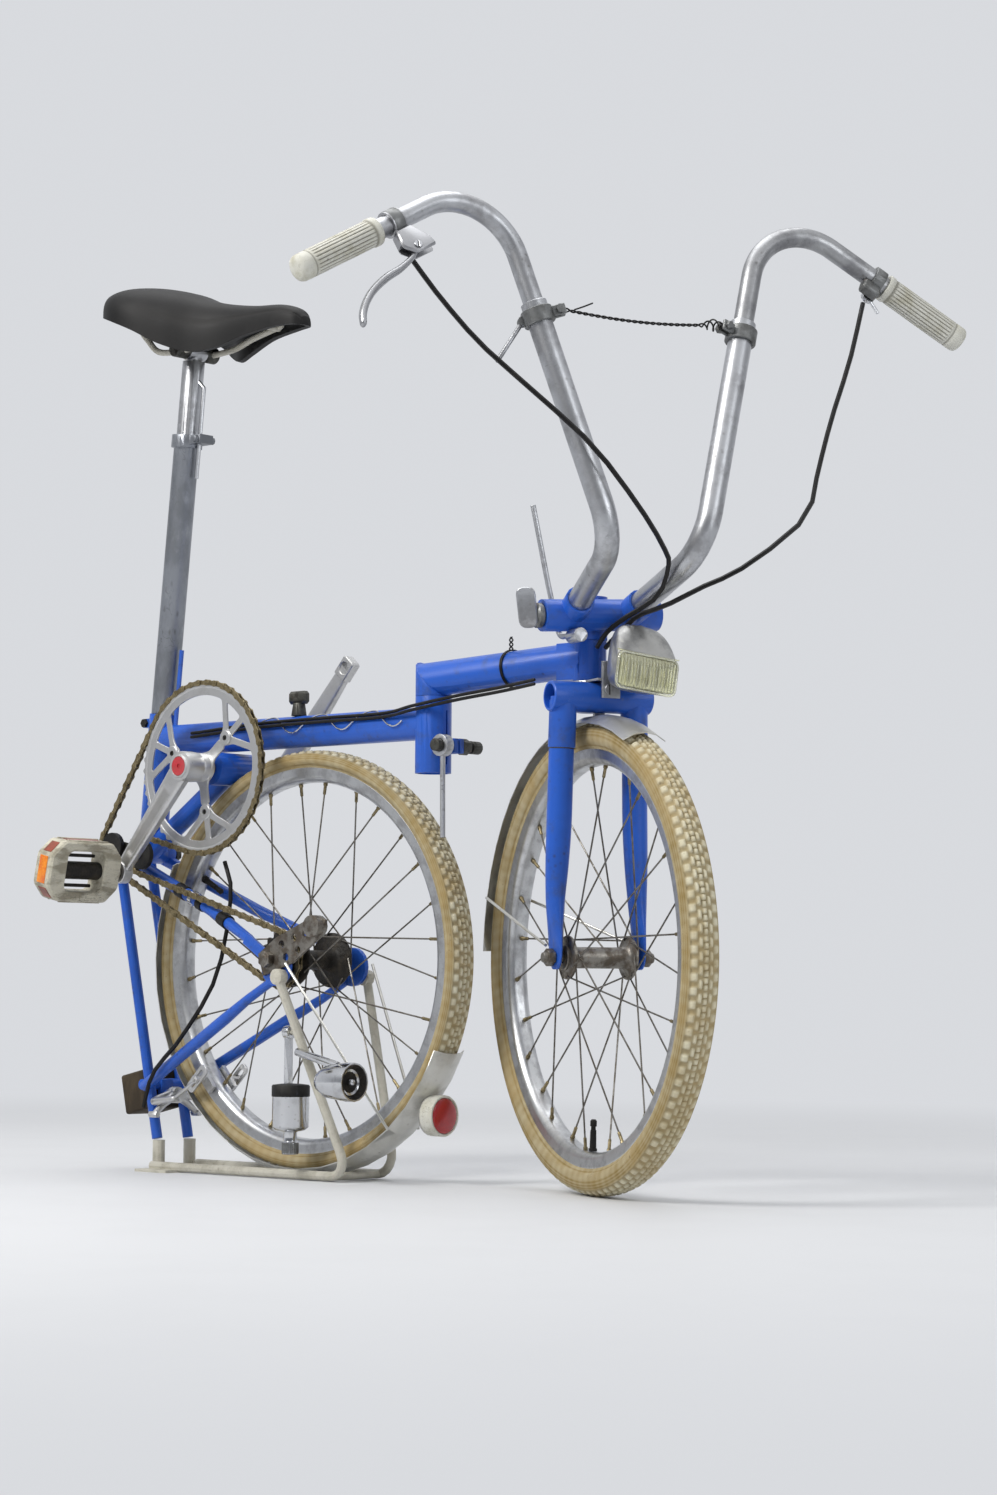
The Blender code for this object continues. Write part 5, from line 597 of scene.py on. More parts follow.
creamEnamel = finish("creamEnamel", (0.52, 0.5, 0.43), 0.42, [
    patches((0.34, 0.32, 0.26), 40, 0.44, 0.66, 0.75, rough=0.55),
    specks((0.12, 0.085, 0.055), 110, 0.28, 0.46, 0.9, rough=0.8, height=-0.5),
    scuffs((0.2, 0.17, 0.13), 80, 0.016, 0.44, 0.8),
], coat=0.1, bump=0.0003, specular=0.4)
guardMetal = finish("guardMetal", (0.62, 0.615, 0.58), 0.34, [
    patches((0.42, 0.41, 0.375), 22, 0.42, 0.68, 0.75, rough=0.46),
    scuffs((0.3, 0.29, 0.27), 60, 0.01, 0.46, 0.6),
    specks((0.14, 0.11, 0.085), 110, 0.22, 0.5, 0.85, rough=0.7),
], metal=0.8, bump=0.0002)
chrome = finish("chrome", (0.6, 0.61, 0.63), 0.13, [
    patches((0.36, 0.36, 0.37), 50, 0.48, 0.7, 0.6, rough=0.28),
    specks((0.1, 0.075, 0.05), 190, 0.24, 0.48, 0.85, rough=0.6, metal=0.4),
], metal=1.0)
blackRubber = finish("blackRubber", (0.008, 0.0075, 0.0075), 0.55, [
    patches((0.022, 0.02, 0.018), 50, 0.45, 0.68, 0.7, rough=0.65),
    scuffs((0.045, 0.042, 0.04), 120, 0.012, 0.5, 0.6),
    patches(None, 500, 0.3, 0.7, 0.4, height=0.3),
], bump=0.0002, specular=0.22)
cableBlack = finish("cableBlack", (0.0065, 0.006, 0.006), 0.42, [
    patches((0.022, 0.02, 0.018), 60, 0.5, 0.7, 0.6, rough=0.55),
    scuffs((0.06, 0.055, 0.05), 160, 0.012, 0.52, 0.5),
], specular=0.25)
oldBlock = finish("oldBlock", (0.04, 0.03, 0.02), 0.76, [
    patches((0.08, 0.06, 0.036), 34, 0.46, 0.64, 0.7),
    scuffs((0.02, 0.017, 0.014), 90, 0.03, 0.4, 0.8, height=-0.6),
    patches((0.11, 0.08, 0.036), 20, 0.58, 0.72, 0.6),
], bump=0.0005, stretch=(1.0, 1.0, 0.35), specular=0.2)
saddleCover = finish("saddleCover", (0.0065, 0.0063, 0.0066), 0.52, [
    patches((0.013, 0.0125, 0.0125), 24, 0.42, 0.68, 0.8, rough=0.6),
    specks(None, 620, 0.4, 0.1, 0.5, height=-0.5),
    scuffs((0.04, 0.038, 0.037), 60, 0.008, 0.56, 0.5, rough=0.6),
    groove((0.022, 0.021, 0.02), 0.8, rough=0.65),
], bump=0.00025, specular=0.24)
blackPlastic = finish("blackPlastic", (0.009, 0.009, 0.009), 0.5, [
    patches((0.028, 0.026, 0.023), 45, 0.46, 0.68, 0.7, rough=0.65),
    scuffs((0.06, 0.056, 0.05), 90, 0.014, 0.5, 0.6),
], bump=0.0003, specular=0.25)
greasyBlack = finish("greasyBlack", (0.014, 0.012, 0.01), 0.42, [
    patches((0.042, 0.034, 0.024), 70, 0.46, 0.66, 0.8, rough=0.62, height=0.5),
    specks((0.09, 0.075, 0.05), 180, 0.3, 0.48, 0.6, rough=0.5),
    patches(None, 260, 0.3, 0.7, 0.8, height=0.8),
], metal=0.25, bump=0.0006, specular=0.35)
silverShell = finish("silverShell", (0.42, 0.42, 0.41), 0.28, [
    patches((0.22, 0.22, 0.22), 30, 0.44, 0.58, 0.8, rough=0.42),
    patches((0.58, 0.57, 0.52), 60, 0.54, 0.7, 0.6),
    scuffs((0.16, 0.16, 0.15), 80, 0.01, 0.48, 0.7),
    specks((0.1, 0.09, 0.07), 140, 0.24, 0.5, 0.8, rough=0.7),
], metal=0.8, coat=0.15)
lensYellow = finish("lensYellow", (0.9, 0.9, 0.68), 0.1, [
    patches((0.74, 0.73, 0.46), 50, 0.42, 0.66, 0.6, rough=0.22),
    # Rib troughs darker: painted shade
    groove((0.36, 0.34, 0.14), 0.85),
    scuffs((0.85, 0.83, 0.68), 120, 0.012, 0.46, 0.5, rough=0.4),
], coat=0.6, glass=0.72)
redLens = finish("redLens", (0.36, 0.008, 0.012), 0.18, [
    specks((0.2, 0.004, 0.008), 480, 0.5, 0.05, 0.8, height=-0.5),
    patches((0.24, 0.008, 0.012), 50, 0.45, 0.66, 0.5, rough=0.3),
], coat=0.5, bump=0.0003)
amberLens = finish("amberLens", (0.8, 0.24, 0.01), 0.2, [
    patches((0.6, 0.085, 0.012), 60, 0.42, 0.62, 0.8, rough=0.35),
    specks((0.98, 0.5, 0.05), 420, 0.45, 0.05, 0.7, height=-0.5),
    scuffs((0.3, 0.16, 0.08), 140, 0.014, 0.46, 0.6),
], coat=0.5, bump=0.0003)
dullRed = finish("dullRed", (0.26, 0.045, 0.018), 0.34, [
    patches((0.14, 0.035, 0.018), 70, 0.42, 0.62, 0.8, rough=0.5),
    specks((0.4, 0.1, 0.04), 420, 0.45, 0.1, 0.6, height=-0.5),
    scuffs((0.1, 0.05, 0.03), 140, 0.014, 0.46, 0.7),
], coat=0.2, bump=0.0003)
redCap = finish("redCap", (0.46, 0.024, 0.034), 0.36, [
    patches((0.3, 0.04, 0.04), 90, 0.45, 0.66, 0.7, rough=0.5),
    scuffs((0.6, 0.28, 0.26), 160, 0.014, 0.46, 0.6),
    groove((0.05, 0.01, 0.01), 0.9),
], coat=0.2)
tapeBlack = finish("tapeBlack", (0.01, 0.0095, 0.009), 0.42, [
    patches((0.03, 0.028, 0.025), 60, 0.46, 0.66, 0.8, rough=0.6),
    scuffs((0.06, 0.056, 0.052), 100, 0.02, 0.42, 0.6, height=0.6),
], bump=0.0006, specular=0.25)
print("finishes made")


# Tyres and rims

tyreForm = {
    "half": 0.0177, "lugs": 112, "steps": 10, "across": 50, "depth": 0.0023, "tread": 0.0136, "seat": 0.0012,
    "reach": math.radians(133), "widest": 0.45, "under": 1.35, "square": (0.92, 0.9), "ring": (0.00035, 34),
    "bead": (0.0052, 0.0102), "mottle": 0.09, "dirt": (0.66, 0.24),
}
treadForm = {
    "shoulderRun": (0.36, 0.22), "shoulderIn": (0.62, 0.72), "shoulderOut": (1.12, 0.98),
    "diamondRun": (0.38, 0.24), "diamondIn": (0.22, 0.31), "diamondOut": (0.6, 0.5), "slant": (0.35, 0.4),
    "knobRun": (0.48, 0.24), "knobOut": (0.19, 0.09), "sway": 0.05,
}


def treadHeight(turn, w):
    # 1 on a block, 0 in a groove: shoulder lugs, half-step diamonds inside them, small knobs in the middle
    def soft(x, a, b):
        # Cubic step from 0 at a to 1 at b
        t = np.clip((x - a) / (b - a), 0, 1)
        return t * t * (3 - 2 * t)

    f = treadForm
    c = np.abs(w) / tyreForm["tread"]
    lug = turn * tyreForm["lugs"] / (2 * np.pi)
    across = soft(c, *f["shoulderIn"]) * soft(c, *f["shoulderOut"])
    shoulder = soft(np.abs((lug % 1) - 0.5), *f["shoulderRun"]) * across
    lean = (lug + 0.5 + f["slant"][0] * np.sign(w) * (c - f["slant"][1])) % 1
    middle = soft(np.abs(lean - 0.5), *f["diamondRun"]) * soft(c, *f["diamondIn"]) * soft(c, *f["diamondOut"])
    sway = f["sway"] * np.sin(lug * np.pi)
    knob = soft(c, *(e + sway for e in f["knobOut"])) * soft(np.abs(((lug * 2) % 1) - 0.5), *f["knobRun"])
    return np.maximum(np.maximum(shoulder, middle), knob)


def tyre(name, radius, place, body, node):
    # Section: an oval in (radius, width) from bead to bead; tread blocks keep its height, grooves sink
    form = tyreForm
    lip = bike["rimRadius"] + form["seat"]
    turn = np.linspace(0, 2 * np.pi, form["lugs"] * form["steps"], endpoint=False)[:, None]
    lean = np.linspace(-1, 1, form["across"])[None, :] * form["reach"]
    middle = lip + (radius - lip) * form["widest"]
    tall = np.where(np.cos(lean) > 0, radius - middle, (middle - lip) * form["under"])
    w = form["half"] * np.sign(np.sin(lean)) * np.abs(np.sin(lean)) ** form["square"][0]
    r = middle + tall * np.sign(np.cos(lean)) * np.abs(np.cos(lean)) ** form["square"][1]
    inTread = (np.abs(w) < form["tread"] * 1.08) & (np.cos(lean) > 0)
    high = np.where(inTread, treadHeight(turn, w), 0.0)
    sunk = np.where(inTread, (1 - high) * form["depth"], 0.0)
    wall = np.clip((np.abs(w) - form["tread"]) / (form["half"] - form["tread"]), 0, 1) + (np.cos(lean) <= 0)
    ridge = form["ring"][0] * (np.sin(np.abs(lean) * form["ring"][1]) > 0.2) * (np.clip(wall, 0, 1) > 0.5)
    r = r - sunk * np.cos(lean)
    w = w - sunk * np.sin(lean) * 0.4 - ridge * np.sign(w)
    # Groove mask: the tread grooves and the wall's sunk rings are darker, painted shade and dirt; the whole
    # wall has a darker tone
    mottle = form["mottle"] * np.sin(turn * 41 + w * 700) * np.sin(turn * 67 - w * 400)
    groove, line = form["dirt"]
    mask = np.where(inTread, groove * (1 - high), groove + mottle + line * (ridge > 0))
    inset, half = form["bead"]
    bead = np.full_like(r[:, :1], bike["rimRadius"] - inset)
    side = np.full_like(w[:, :1], half)
    r = np.concatenate([bead, r, bead], 1)
    w = np.concatenate([-side, w, side], 1)
    mask = np.concatenate([mask[:, :1], mask, mask[:, -1:]], 1)
    points = np.stack([r * np.cos(turn), w, r * np.sin(turn)], -1)
    made = turnedBy(grid(points, roundU=True, tint=mask), place)
    addPiece(name, [made], body, [tyreRubber], [node], sharp=60)


frontWheel = forkPlace @ np.array(Matrix.Translation((bike["forkOffset"], 0, bike["frontTyre"])))
rearWheel = np.array(Matrix.Translation((bike["rearAxle"][0], 0, bike["rearAxle"][1])))
tyre("frontTyre", bike["frontTyre"], frontWheel, "front_wheel", "front_tyre")
tyre("rearTyre", bike["rearTyre"], rearWheel, "rear_wheel", "rear_tyre")

rimForm = [
    (0.19, 0.003), (0.1901, 0.0052), (0.191, 0.0076), (0.193, 0.01), (0.1958, 0.0117),
    (0.1975, 0.0119), (0.204, 0.0123), (0.2052, 0.0125), (0.206, 0.012), (0.2058, 0.011), (0.2045, 0.0106),
    (0.2005, 0.0105),
]


def rimPiece(name, place, body, node):
    # A hollow-backed profile turned round the axle
    profile = rimForm + [(r, -w) for r, w in reversed(rimForm)]
    made = turnedBy(lathe(profile, (0, 0, 0), (0, 1, 0), steps=168, ring=True), place)
    addPiece(name, [made], body, [rimMetal], [node], sharp=50)


rimPiece("frontRim", frontWheel, "front_wheel", "front_rim")
rimPiece("rearRim", rearWheel, "rear_wheel", "rear_rim")

spokeForm = {
    "count": 28, "radius": 0.0009, "tip": 0.1895, "cross": math.radians(62), "hole": 0.003, "weave": 0.0022,
    "hook": (0.0026, 0.0004, 0.006), "lift": 0.0025,
    "nipple": [(0.0011, -0.0125), (0.0017, -0.0115), (0.0017, -0.003), (0.0024, -0.0022), (0.0024, 0.0005)],
}
hubForm = {"bore": 0.0053, "barrel": 0.0105, "thick": 0.0016, "end": 0.0385}
valveForm = [
    (0.0042, 0.1895), (0.0042, 0.187), (0.0034, 0.1868), (0.003, 0.169), (0.0024, 0.1688), (0.0024, 0.1655),
    (0.0033, 0.1652), (0.0033, 0.16), (0.002, 0.1585),
]


def laced(name, place, body, node, flange, spread, valveTurn, hubSlot):
    # The hub is one turned profile; spokes run from each flange to the rim, crossing two others
    f = spokeForm
    bore, barrel, thick, end = (hubForm[k] for k in ("bore", "barrel", "thick", "end"))
    half = [
        (bore, end), (barrel + 0.001, end), (barrel + 0.002, end - 0.001),
        (barrel + 0.002, spread + thick + 0.001), (flange - 0.001, spread + thick),
        (flange, spread + thick - 0.0006), (flange, spread - thick + 0.0006),
        (flange - 0.001, spread - thick), (barrel + 0.004, spread - thick - 0.001),
        (barrel + 0.0008, spread - thick - 0.004), (barrel, spread - thick - 0.009),
    ]
    whole = half + [(r, -h) for r, h in reversed(half)]
    parts = [lathe(whole, (0, 0, 0), (0, 1, 0), 56, ring=True, slot=hubSlot)]
    wires, nipples, perSide = [], [], f["count"] // 2
    hook, bend, run = f["hook"]
    for side in (-1, 1):
        for i in range(perSide):
            lean = 1 if i % 2 else -1
            rimTurn = -(2 * math.pi * (i + 0.25 * side) / perSide)
            hubTurn = rimTurn - lean * f["cross"]
            height = side * (spread + lean * f["weave"])
            root = flange - f["hole"]
            a = np.array([root * math.cos(hubTurn), height, root * math.sin(hubTurn)])
            b = np.array([f["tip"] * math.cos(rimTurn), side * f["lift"], f["tip"] * math.sin(rimTurn)])
            out = np.array([0, lean * side, 0])
            line = np.array([a - out * hook, a - out * bend, a + (b - a) * run, b])
            wires.append(pipe(line, f["radius"], 7, slot=2))
            nipples.append(lathe(f["nipple"], b, unit(b - a), 8, slot=3))
    reach = unit(np.array([math.cos(valveTurn), 0, math.sin(valveTurn)]))
    valve = lathe(valveForm, (0, 0, 0), reach, 20, slot=4)
    every = [turnedBy(s, place) for s in parts + wires + nipples + [valve]]
    finishes = [hubSteel, greasyBlack, spokeSteel, chainMetal, blackRubber]
    addPiece(name, every, body, finishes, [node], sharp=40)


frontHub, rearHub = (0.0215, 0.033, math.radians(-93), 0), (0.0295, 0.031, math.radians(152), 1)
laced("frontHubAndSpokes", frontWheel, "front_wheel", "front_hub_and_spokes", *frontHub)
laced("rearHubAndSpokes", rearWheel, "rear_wheel", "rear_hub_and_spokes", *rearHub)
print("wheels made")


# Chain, chainring and sprocket

chainForm = {
    "plateHalf": 0.0036, "waist": 0.0024, "outer": 0.0029, "inner": 0.0019, "thick": 0.0009,
    "roller": 0.0032, "pin": (0.0031, 0.0017), "dirt": 0.8, "teeth": (46, 10, 14), "root": 0.0036,
}


def pitchRadius(teeth):
    # Half the pitch over the sine of half the tooth angle
    return bike["pitch"] / (2 * math.sin(math.pi / teeth))


def toothed(teeth, depth=0.0011):
    # Radius against angle: a rounded tooth between each pair of rollers
    deep = chainForm["root"]
    a = np.linspace(0, 2 * np.pi, teeth * 10, endpoint=False)
    wave = (np.cos(a * teeth) + 1) / 2
    r = pitchRadius(teeth) - deep + (deep + depth) * wave**0.8
    return np.stack([r * np.cos(a), r * np.sin(a)], 1)


def chainRoute():
    # Arcs of the pitch circles joined by their common tangents, as in the part's source
    def touching(first, r1, second, r2, way):
        # Angle of the common tangent of two circles, measured at the first; a negative radius crosses over
        x, z = second[0] - first[0], second[1] - first[1]
        return math.atan2(z, x) + way * math.acos((r1 - r2) / math.hypot(x, z))

    def arc(centre, r, start, end):
        # 60 points on a circle from one angle to the other
        a = np.linspace(start, end, 60)
        return np.stack([centre[0] + r * np.cos(a), centre[1] + r * np.sin(a)], 1)

    big, small, driven = (pitchRadius(teeth) for teeth in chainForm["teeth"])
    ring, hub, upper, lower = bike["crank"], bike["rearAxle"], bike["upperPulley"], bike["lowerPulley"]
    full = 2 * math.pi
    top = touching(ring, big, lower, small, -1) % full
    bottom = touching(ring, big, upper, -small, 1)
    leave = touching(upper, small, hub, -driven, -1) % full
    under = touching(lower, small, hub, driven, -1) % full
    low, high = arc(lower, small, under, top), arc(upper, small, bottom + math.pi, leave)
    front = np.concatenate([low, arc(ring, big, top, bottom), high])
    rear = arc(hub, driven, leave - math.pi, under - full)
    return front, rear


def chainPieces():
    # Links at even steps along the route, wide and slim by turns: waisted plates, a roller and its pin
    front, rear = chainRoute()
    loop = np.concatenate([front, rear, front[:1]])
    run = np.r_[0, np.cumsum(np.linalg.norm(np.diff(loop, axis=0), axis=1))]
    frontRun = run[len(front) - 1]
    count = 2 * round(run[-1] / bike["pitch"] / 2)
    at = np.linspace(0, run[-1], count, endpoint=False)
    pins = np.stack([np.interp(at, run, loop[:, k]) for k in range(2)], 1)
    pins = np.c_[pins[:, 0], np.full(count, bike["chainY"]), pins[:, 1]]
    after = np.roll(pins, -1, 0)
    along = unit(after - pins)
    across = np.tile([0.0, 1.0, 0.0], (count, 1))
    up = np.cross(along, across)
    half, form = bike["pitch"] / 2, chainForm
    a = np.linspace(0, 2 * np.pi, 20, endpoint=False)
    x = np.cos(a) * (half + form["plateHalf"])
    ends = np.sqrt(np.maximum(form["plateHalf"] ** 2 - (np.abs(x) - half) ** 2, 0))
    waist = form["waist"] + (form["plateHalf"] - form["waist"]) * (np.abs(x) / half) ** 2
    outline = np.stack([x, np.sign(np.sin(a)) * np.where(np.abs(x) > half, ends, waist)], 1)

    def plateAt(y):
        # A side plate at the distance y from the middle plane
        side = plate([outline], form["thick"], 0.0002)
        side["p"] = side["p"][:, [0, 2, 1]] + np.array([0, y, 0])
        return side

    def pinAt(length, radius, tint=0.0):
        # A round bar across the link at its first pin
        bar = lathe([(radius, -length), (radius, length)], (-half, 0, 0), (0, 1, 0), 10)
        bar["t"][:] = tint
        return bar

    wide = [plateAt(form["outer"] - form["thick"] / 2), plateAt(form["thick"] / 2 - form["outer"])]
    slim = [plateAt(form["inner"] - form["thick"] / 2), plateAt(form["thick"] / 2 - form["inner"])]
    # The roller is darker through the groove mask: dirt and painted shade between the plates
    roller = [pinAt(form["inner"] - form["thick"], form["roller"], form["dirt"]), pinAt(*form["pin"])]
    middles = (pins + after) / 2
    inFront = (at + half) % run[-1] < frontRun
    halves = (("chainFrontLinks", "root", "chain_front", inFront),
              ("chainRearLinks", "rear_section", "chain_rear", ~inFront))
    for name, body, node, chosen in halves:
        shells = []
        for parity, plates in ((0, wide), (1, slim)):
            pick = chosen & (np.arange(count) % 2 == parity)
            for template in plates + roller:
                shells.append(copies(template, middles[pick], along[pick], across[pick], up[pick]))
        addPiece(name, shells, body, [chainMetal], [node], sharp=40)


chainPieces()

ringForm = {
    "thick": 0.0026, "inner": 0.0795, "outer": 0.0842, "bolt": 0.049, "branch": math.radians(27),
    "hubSide": 0.0062, "half": 0.0036, "armHalf": 0.0098, "hub": (0.0205, 0.04), "boltHole": 0.0029,
    "bore": 0.0085, "turns": (159.0, 39.0, 279.0),
    "rim": [(0.0905, 0.0012), (0.0905, 0.0019), (0.089, 0.0021), (0.087, 0.0012)],
    "boss": [(0.0086, -0.004), (0.016, -0.004), (0.016, 0.0075), (0.0148, 0.0098), (0.0086, 0.01)],
    "screw": [(0.003, -0.0022), (0.0082, -0.0022), (0.0082, 0.0024), (0.0074, 0.0031), (0.003, 0.0031)],
    "socket": [(0.0, -0.0018), (0.0031, -0.0018), (0.0031, 0.0012), (0.0, 0.0012)],
}


def ringWindows():
    # In each third: a wide window between two arms, and two small ones between the branches of one arm
    f = ringForm
    loops = []
    b, e = np.array([f["bolt"], 0.0]), f["outer"]
    to = unit(np.array([e * math.cos(f["branch"]), e * math.sin(f["branch"])]) - b)
    off = np.array([-to[1], to[0]])

    def onArc(start, end):
        # Six places on the ring's inner circle
        return [f["inner"] * np.array([math.cos(a), math.sin(a)]) for a in np.linspace(start, end, 6)]

    def meet(point):
        # The angle at which a line along the branch through the point leaves the inner circle
        s = -point.dot(to) + math.sqrt(point.dot(to) ** 2 - point.dot(point) + f["inner"] ** 2)
        hit = point + to * s
        return math.atan2(hit[1], hit[0])

    near = b - off * f["half"]
    t = (f["half"] - near[1]) / to[1]
    small = [near + to * t, *onArc(math.asin(f["half"] / f["inner"]), meet(near))]
    small = roundCorners(np.array(small), 0.003)
    far = b + off * f["half"]
    half = [(r, f["hubSide"]) for r in f["hub"]] + [b + off * f["armHalf"] - to * 0.002, far + to * 0.0125]
    half = np.array(half + onArc(meet(far), math.radians(60)))
    mirror = math.radians(120)
    flip = np.array([[math.cos(mirror), math.sin(mirror)], [math.sin(mirror), -math.cos(mirror)]])
    wide = roundCorners(np.concatenate([half, (half[:-1] @ flip.T)[::-1]]), 0.004)
    for turn in np.radians(f["turns"]):
        spin = np.array([[math.cos(turn), math.sin(turn)], [-math.sin(turn), math.cos(turn)]])
        loops += [small @ spin, (small * [1, -1]) @ spin, wide @ spin]
        loops.append(circle(f["boltHole"], tuple(b @ spin), 20))
    return loops


def chainringPiece():
    # Toothed plate with its windows, a raised rim, a boss and three bolts with sunk sockets
    f = ringForm
    x, z = bike["crank"]
    centre, out = (x, bike["chainY"], z), (0, -1, 0)
    ring = plate([toothed(chainForm["teeth"][0])] + ringWindows() + [circle(f["bore"])], f["thick"], 0.0005)
    ring["p"] = ring["p"][:, [0, 2, 1]] + np.array(centre)
    parts = [ring, lathe(f["rim"], centre, out, 120, ring=True), lathe(f["boss"], centre, out, 48, ring=True)]
    for turn in np.radians(f["turns"]):
        c = (x + f["bolt"] * math.cos(turn), bike["chainY"], z + f["bolt"] * math.sin(turn))
        parts += [lathe(f["screw"], c, out, 28, ring=True), lathe(f["socket"], c, out, 20, slot=1)]
    addPiece("chainringPlate", parts, "crankset", [brightAlloy, greasyBlack], ["chainring"], sharp=35)


chainringPiece()


sprocketForm = {
    "bore": 0.015, "tooth": 0.0006, "thick": 0.0022,
    "carrier": [
        (0.0054, -0.0029), (0.014, -0.0029), (0.0158, -0.0018), (0.0158, 0.002), (0.014, 0.0029),
        (0.0054, 0.0029),
    ],
}


def sprocketPiece():
    # Toothed plate on a turned carrier with chamfered ends
    f = sprocketForm
    x, z = bike["rearAxle"]
    disc = plate([toothed(chainForm["teeth"][2], f["tooth"]), circle(f["bore"])], f["thick"], 0.0004)
    disc["p"] = disc["p"][:, [0, 2, 1]] + np.array([x, bike["chainY"], z])
    core = lathe(f["carrier"], (x, bike["chainY"], z), (0, -1, 0), 48, ring=True)
    addPiece("sprocketPlate", [disc, core], "sprocket", [greasyBlack], ["sprocket"], sharp=35)


sprocketPiece()
print("drive made")


# Cranks and pedal

armForm = {
    "length": 0.15, "thick": 0.0112, "leftY": 0.077, "flute": (0.03, 0.126), "fluteDepth": 0.0016,
    "width": ([-0.006, 0.018, 0.145, 0.15], [0.029, 0.027, 0.0172, 0.0165]),
    "rightBoss": [
        (0.0086, 0.016), (0.016, 0.016), (0.0166, 0.01), (0.0166, -0.003), (0.0158, -0.0065),
        (0.0128, -0.0071), (0.0122, -0.0085), (0.0108, -0.0089), (0.01, -0.0075), (0.0086, -0.0073),
    ],
    "eye": [
        (0.0056, 0.0065), (0.0118, 0.0065), (0.0126, 0.0057), (0.0126, -0.0057), (0.0118, -0.0065),
        (0.0056, -0.0065),
    ],
    "cap": [
        (0.0, -0.0068), (0.0026, -0.0068), (0.0026, -0.0079), (0.0084, -0.0081), (0.0102, -0.0087),
        (0.0104, -0.006),
    ],
    "leftBoss": [
        (0.0086, -0.0065), (0.0152, -0.0065), (0.016, -0.0055), (0.016, 0.0055), (0.015, 0.0065),
        (0.0086, 0.0065),
    ],
    "leftSocket": [(0.0, 0.005), (0.0086, 0.005), (0.0086, 0.0025), (0.0, 0.0025)],
    "block": [
        (-0.0125, -0.0092), (0.0105, -0.0092), (0.012, -0.006), (0.012, 0.006), (0.0105, 0.0092),
        (-0.0125, 0.0092),
    ],
}


def crankArm(sideY, turn, outward):
    # A rounded rectangle lofted along the arm, with a long flute sunk in its outer face
    f = armForm
    s = np.r_[np.linspace(-0.006, 0.02, 8), np.linspace(0.024, 0.132, 46), np.linspace(0.136, 0.15, 8)]
    width = np.interp(s, *f["width"])
    thick = np.interp(s, [0, 0.05, 0.15], [f["thick"], f["thick"], f["thick"] * 0.86])
    base = roundCorners(np.array([(-0.5, -0.5), (0.5, -0.5), (0.5, 0.5), (-0.5, 0.5)]), 0.3, 7)
    closed = np.r_[base, base[:1]]
    run = np.r_[0, np.cumsum(np.linalg.norm(np.diff(closed, axis=0), axis=1))]
    at = np.linspace(0, run[-1], 64, endpoint=False)
    section = np.stack([np.interp(at, run, closed[:, k]) for k in range(2)], 1)
    across = section[None, :, 0] * width[:, None]
    high = section[None, :, 1] * thick[:, None]
    inFlute = np.clip((s - f["flute"][0]) / 0.006, 0, 1) * np.clip((f["flute"][1] - s) / 0.006, 0, 1)
    narrow = np.clip(1 - np.abs(across) / (width[:, None] * 0.3), 0, 1)
    hollow = np.clip(narrow * 3, 0, 1) * inFlute[:, None] * (high > 0)
    high = high - hollow * f["fluteDepth"]
    along = np.broadcast_to(s[:, None], across.shape)
    ux = np.array([math.cos(turn), 0, math.sin(turn)])
    uz = np.array([-math.sin(turn), 0, math.cos(turn)])
    uy = np.array([0, outward, 0])
    origin = np.array([bike["crank"][0], sideY, bike["crank"][1]])
    points = origin + along[..., None] * ux + across[..., None] * uz + high[..., None] * uy
    # The flute is darker through the groove mask: painted shade and dirt
    return grid(points, tint=hollow * 0.6), origin + ux * f["length"]


def crankPieces():
    # Arm with a turned boss and eye; the left one ends in a square block with a hole
    f, turn = armForm, bike["crankTurn"]
    x, z = bike["crank"]
    right, left, out = (x, bike["armY"], z), (x, f["leftY"], z), (0, 1, 0)
    arm, eye = crankArm(bike["armY"], turn, -1.0)
    shells = [arm, lathe(f["rightBoss"], right, out, 56, ring=True), lathe(f["eye"], eye, out, 40, ring=True)]
    shells.append(lathe(f["cap"], right, out, 40, slot=1))
    addPiece("rightCrankArm", shells, "crankset", [brightAlloy, redCap], ["right_crank"], sharp=40)
    arm, eye = crankArm(f["leftY"], turn + math.pi, 1.0)
    reach = np.array([-math.cos(turn), 0, -math.sin(turn)])
    over = np.array([-reach[2], 0, reach[0]])
    block = plate([roundCorners(np.array(f["block"]), 0.0012), circle(0.0066)], 0.0124, 0.001)
    shells = [arm, lathe(f["leftBoss"], left, out, 48, ring=True)]
    shells.append(placed(block, eye - reach * 0.0005, reach, over, out))
    shells.append(lathe(f["leftSocket"], left, out, 24, slot=1))
    addPiece("leftCrankArm", shells, "crankset", [brightAlloy, greasyBlack], ["left_crank"], sharp=40)


crankPieces()

pedalForm = {
    "tilt": math.radians(102), "start": -0.0855, "length": 0.1, "width": 0.066, "height": 0.027,
    "chamfer": 0.016,
    "window": [
        (-0.0175, 0.0265), (-0.0225, 0.0215), (-0.0225, -0.0215), (-0.0175, -0.0265),
        (0.0175, -0.0265), (0.0225, -0.0215), (0.0225, 0.0215), (0.0175, 0.0265),
    ],
    "barrel": [(0.0054, -0.046), (0.0092, -0.046), (0.0098, -0.044), (0.0098, 0.049), (0.0054, 0.049)],
    "eyeCap": [
        (0.005, 0.048), (0.0125, 0.048), (0.013, 0.0488), (0.0118, 0.0506), (0.006, 0.0512), (0.005, 0.0508),
    ],
    "bar": (0.0035, 0.04, 0.0035), "barAt": 0.0165, "rib": (0.0022, 0.058, 0.0022), "ribAt": 0.0085,
    "proud": 0.0002, "sidePane": (0.0012, 0.046, 0.0115), "endPane": (0.03, 0.0012, 0.0125),
    "cornerPane": (0.015, 0.001, 0.0125),
}


def movedBar(size, place, edge, slot=0):
    # A small block with its middle at the place
    bar = slab(size, edge, slot)
    bar["p"] += np.array(place)
    return bar


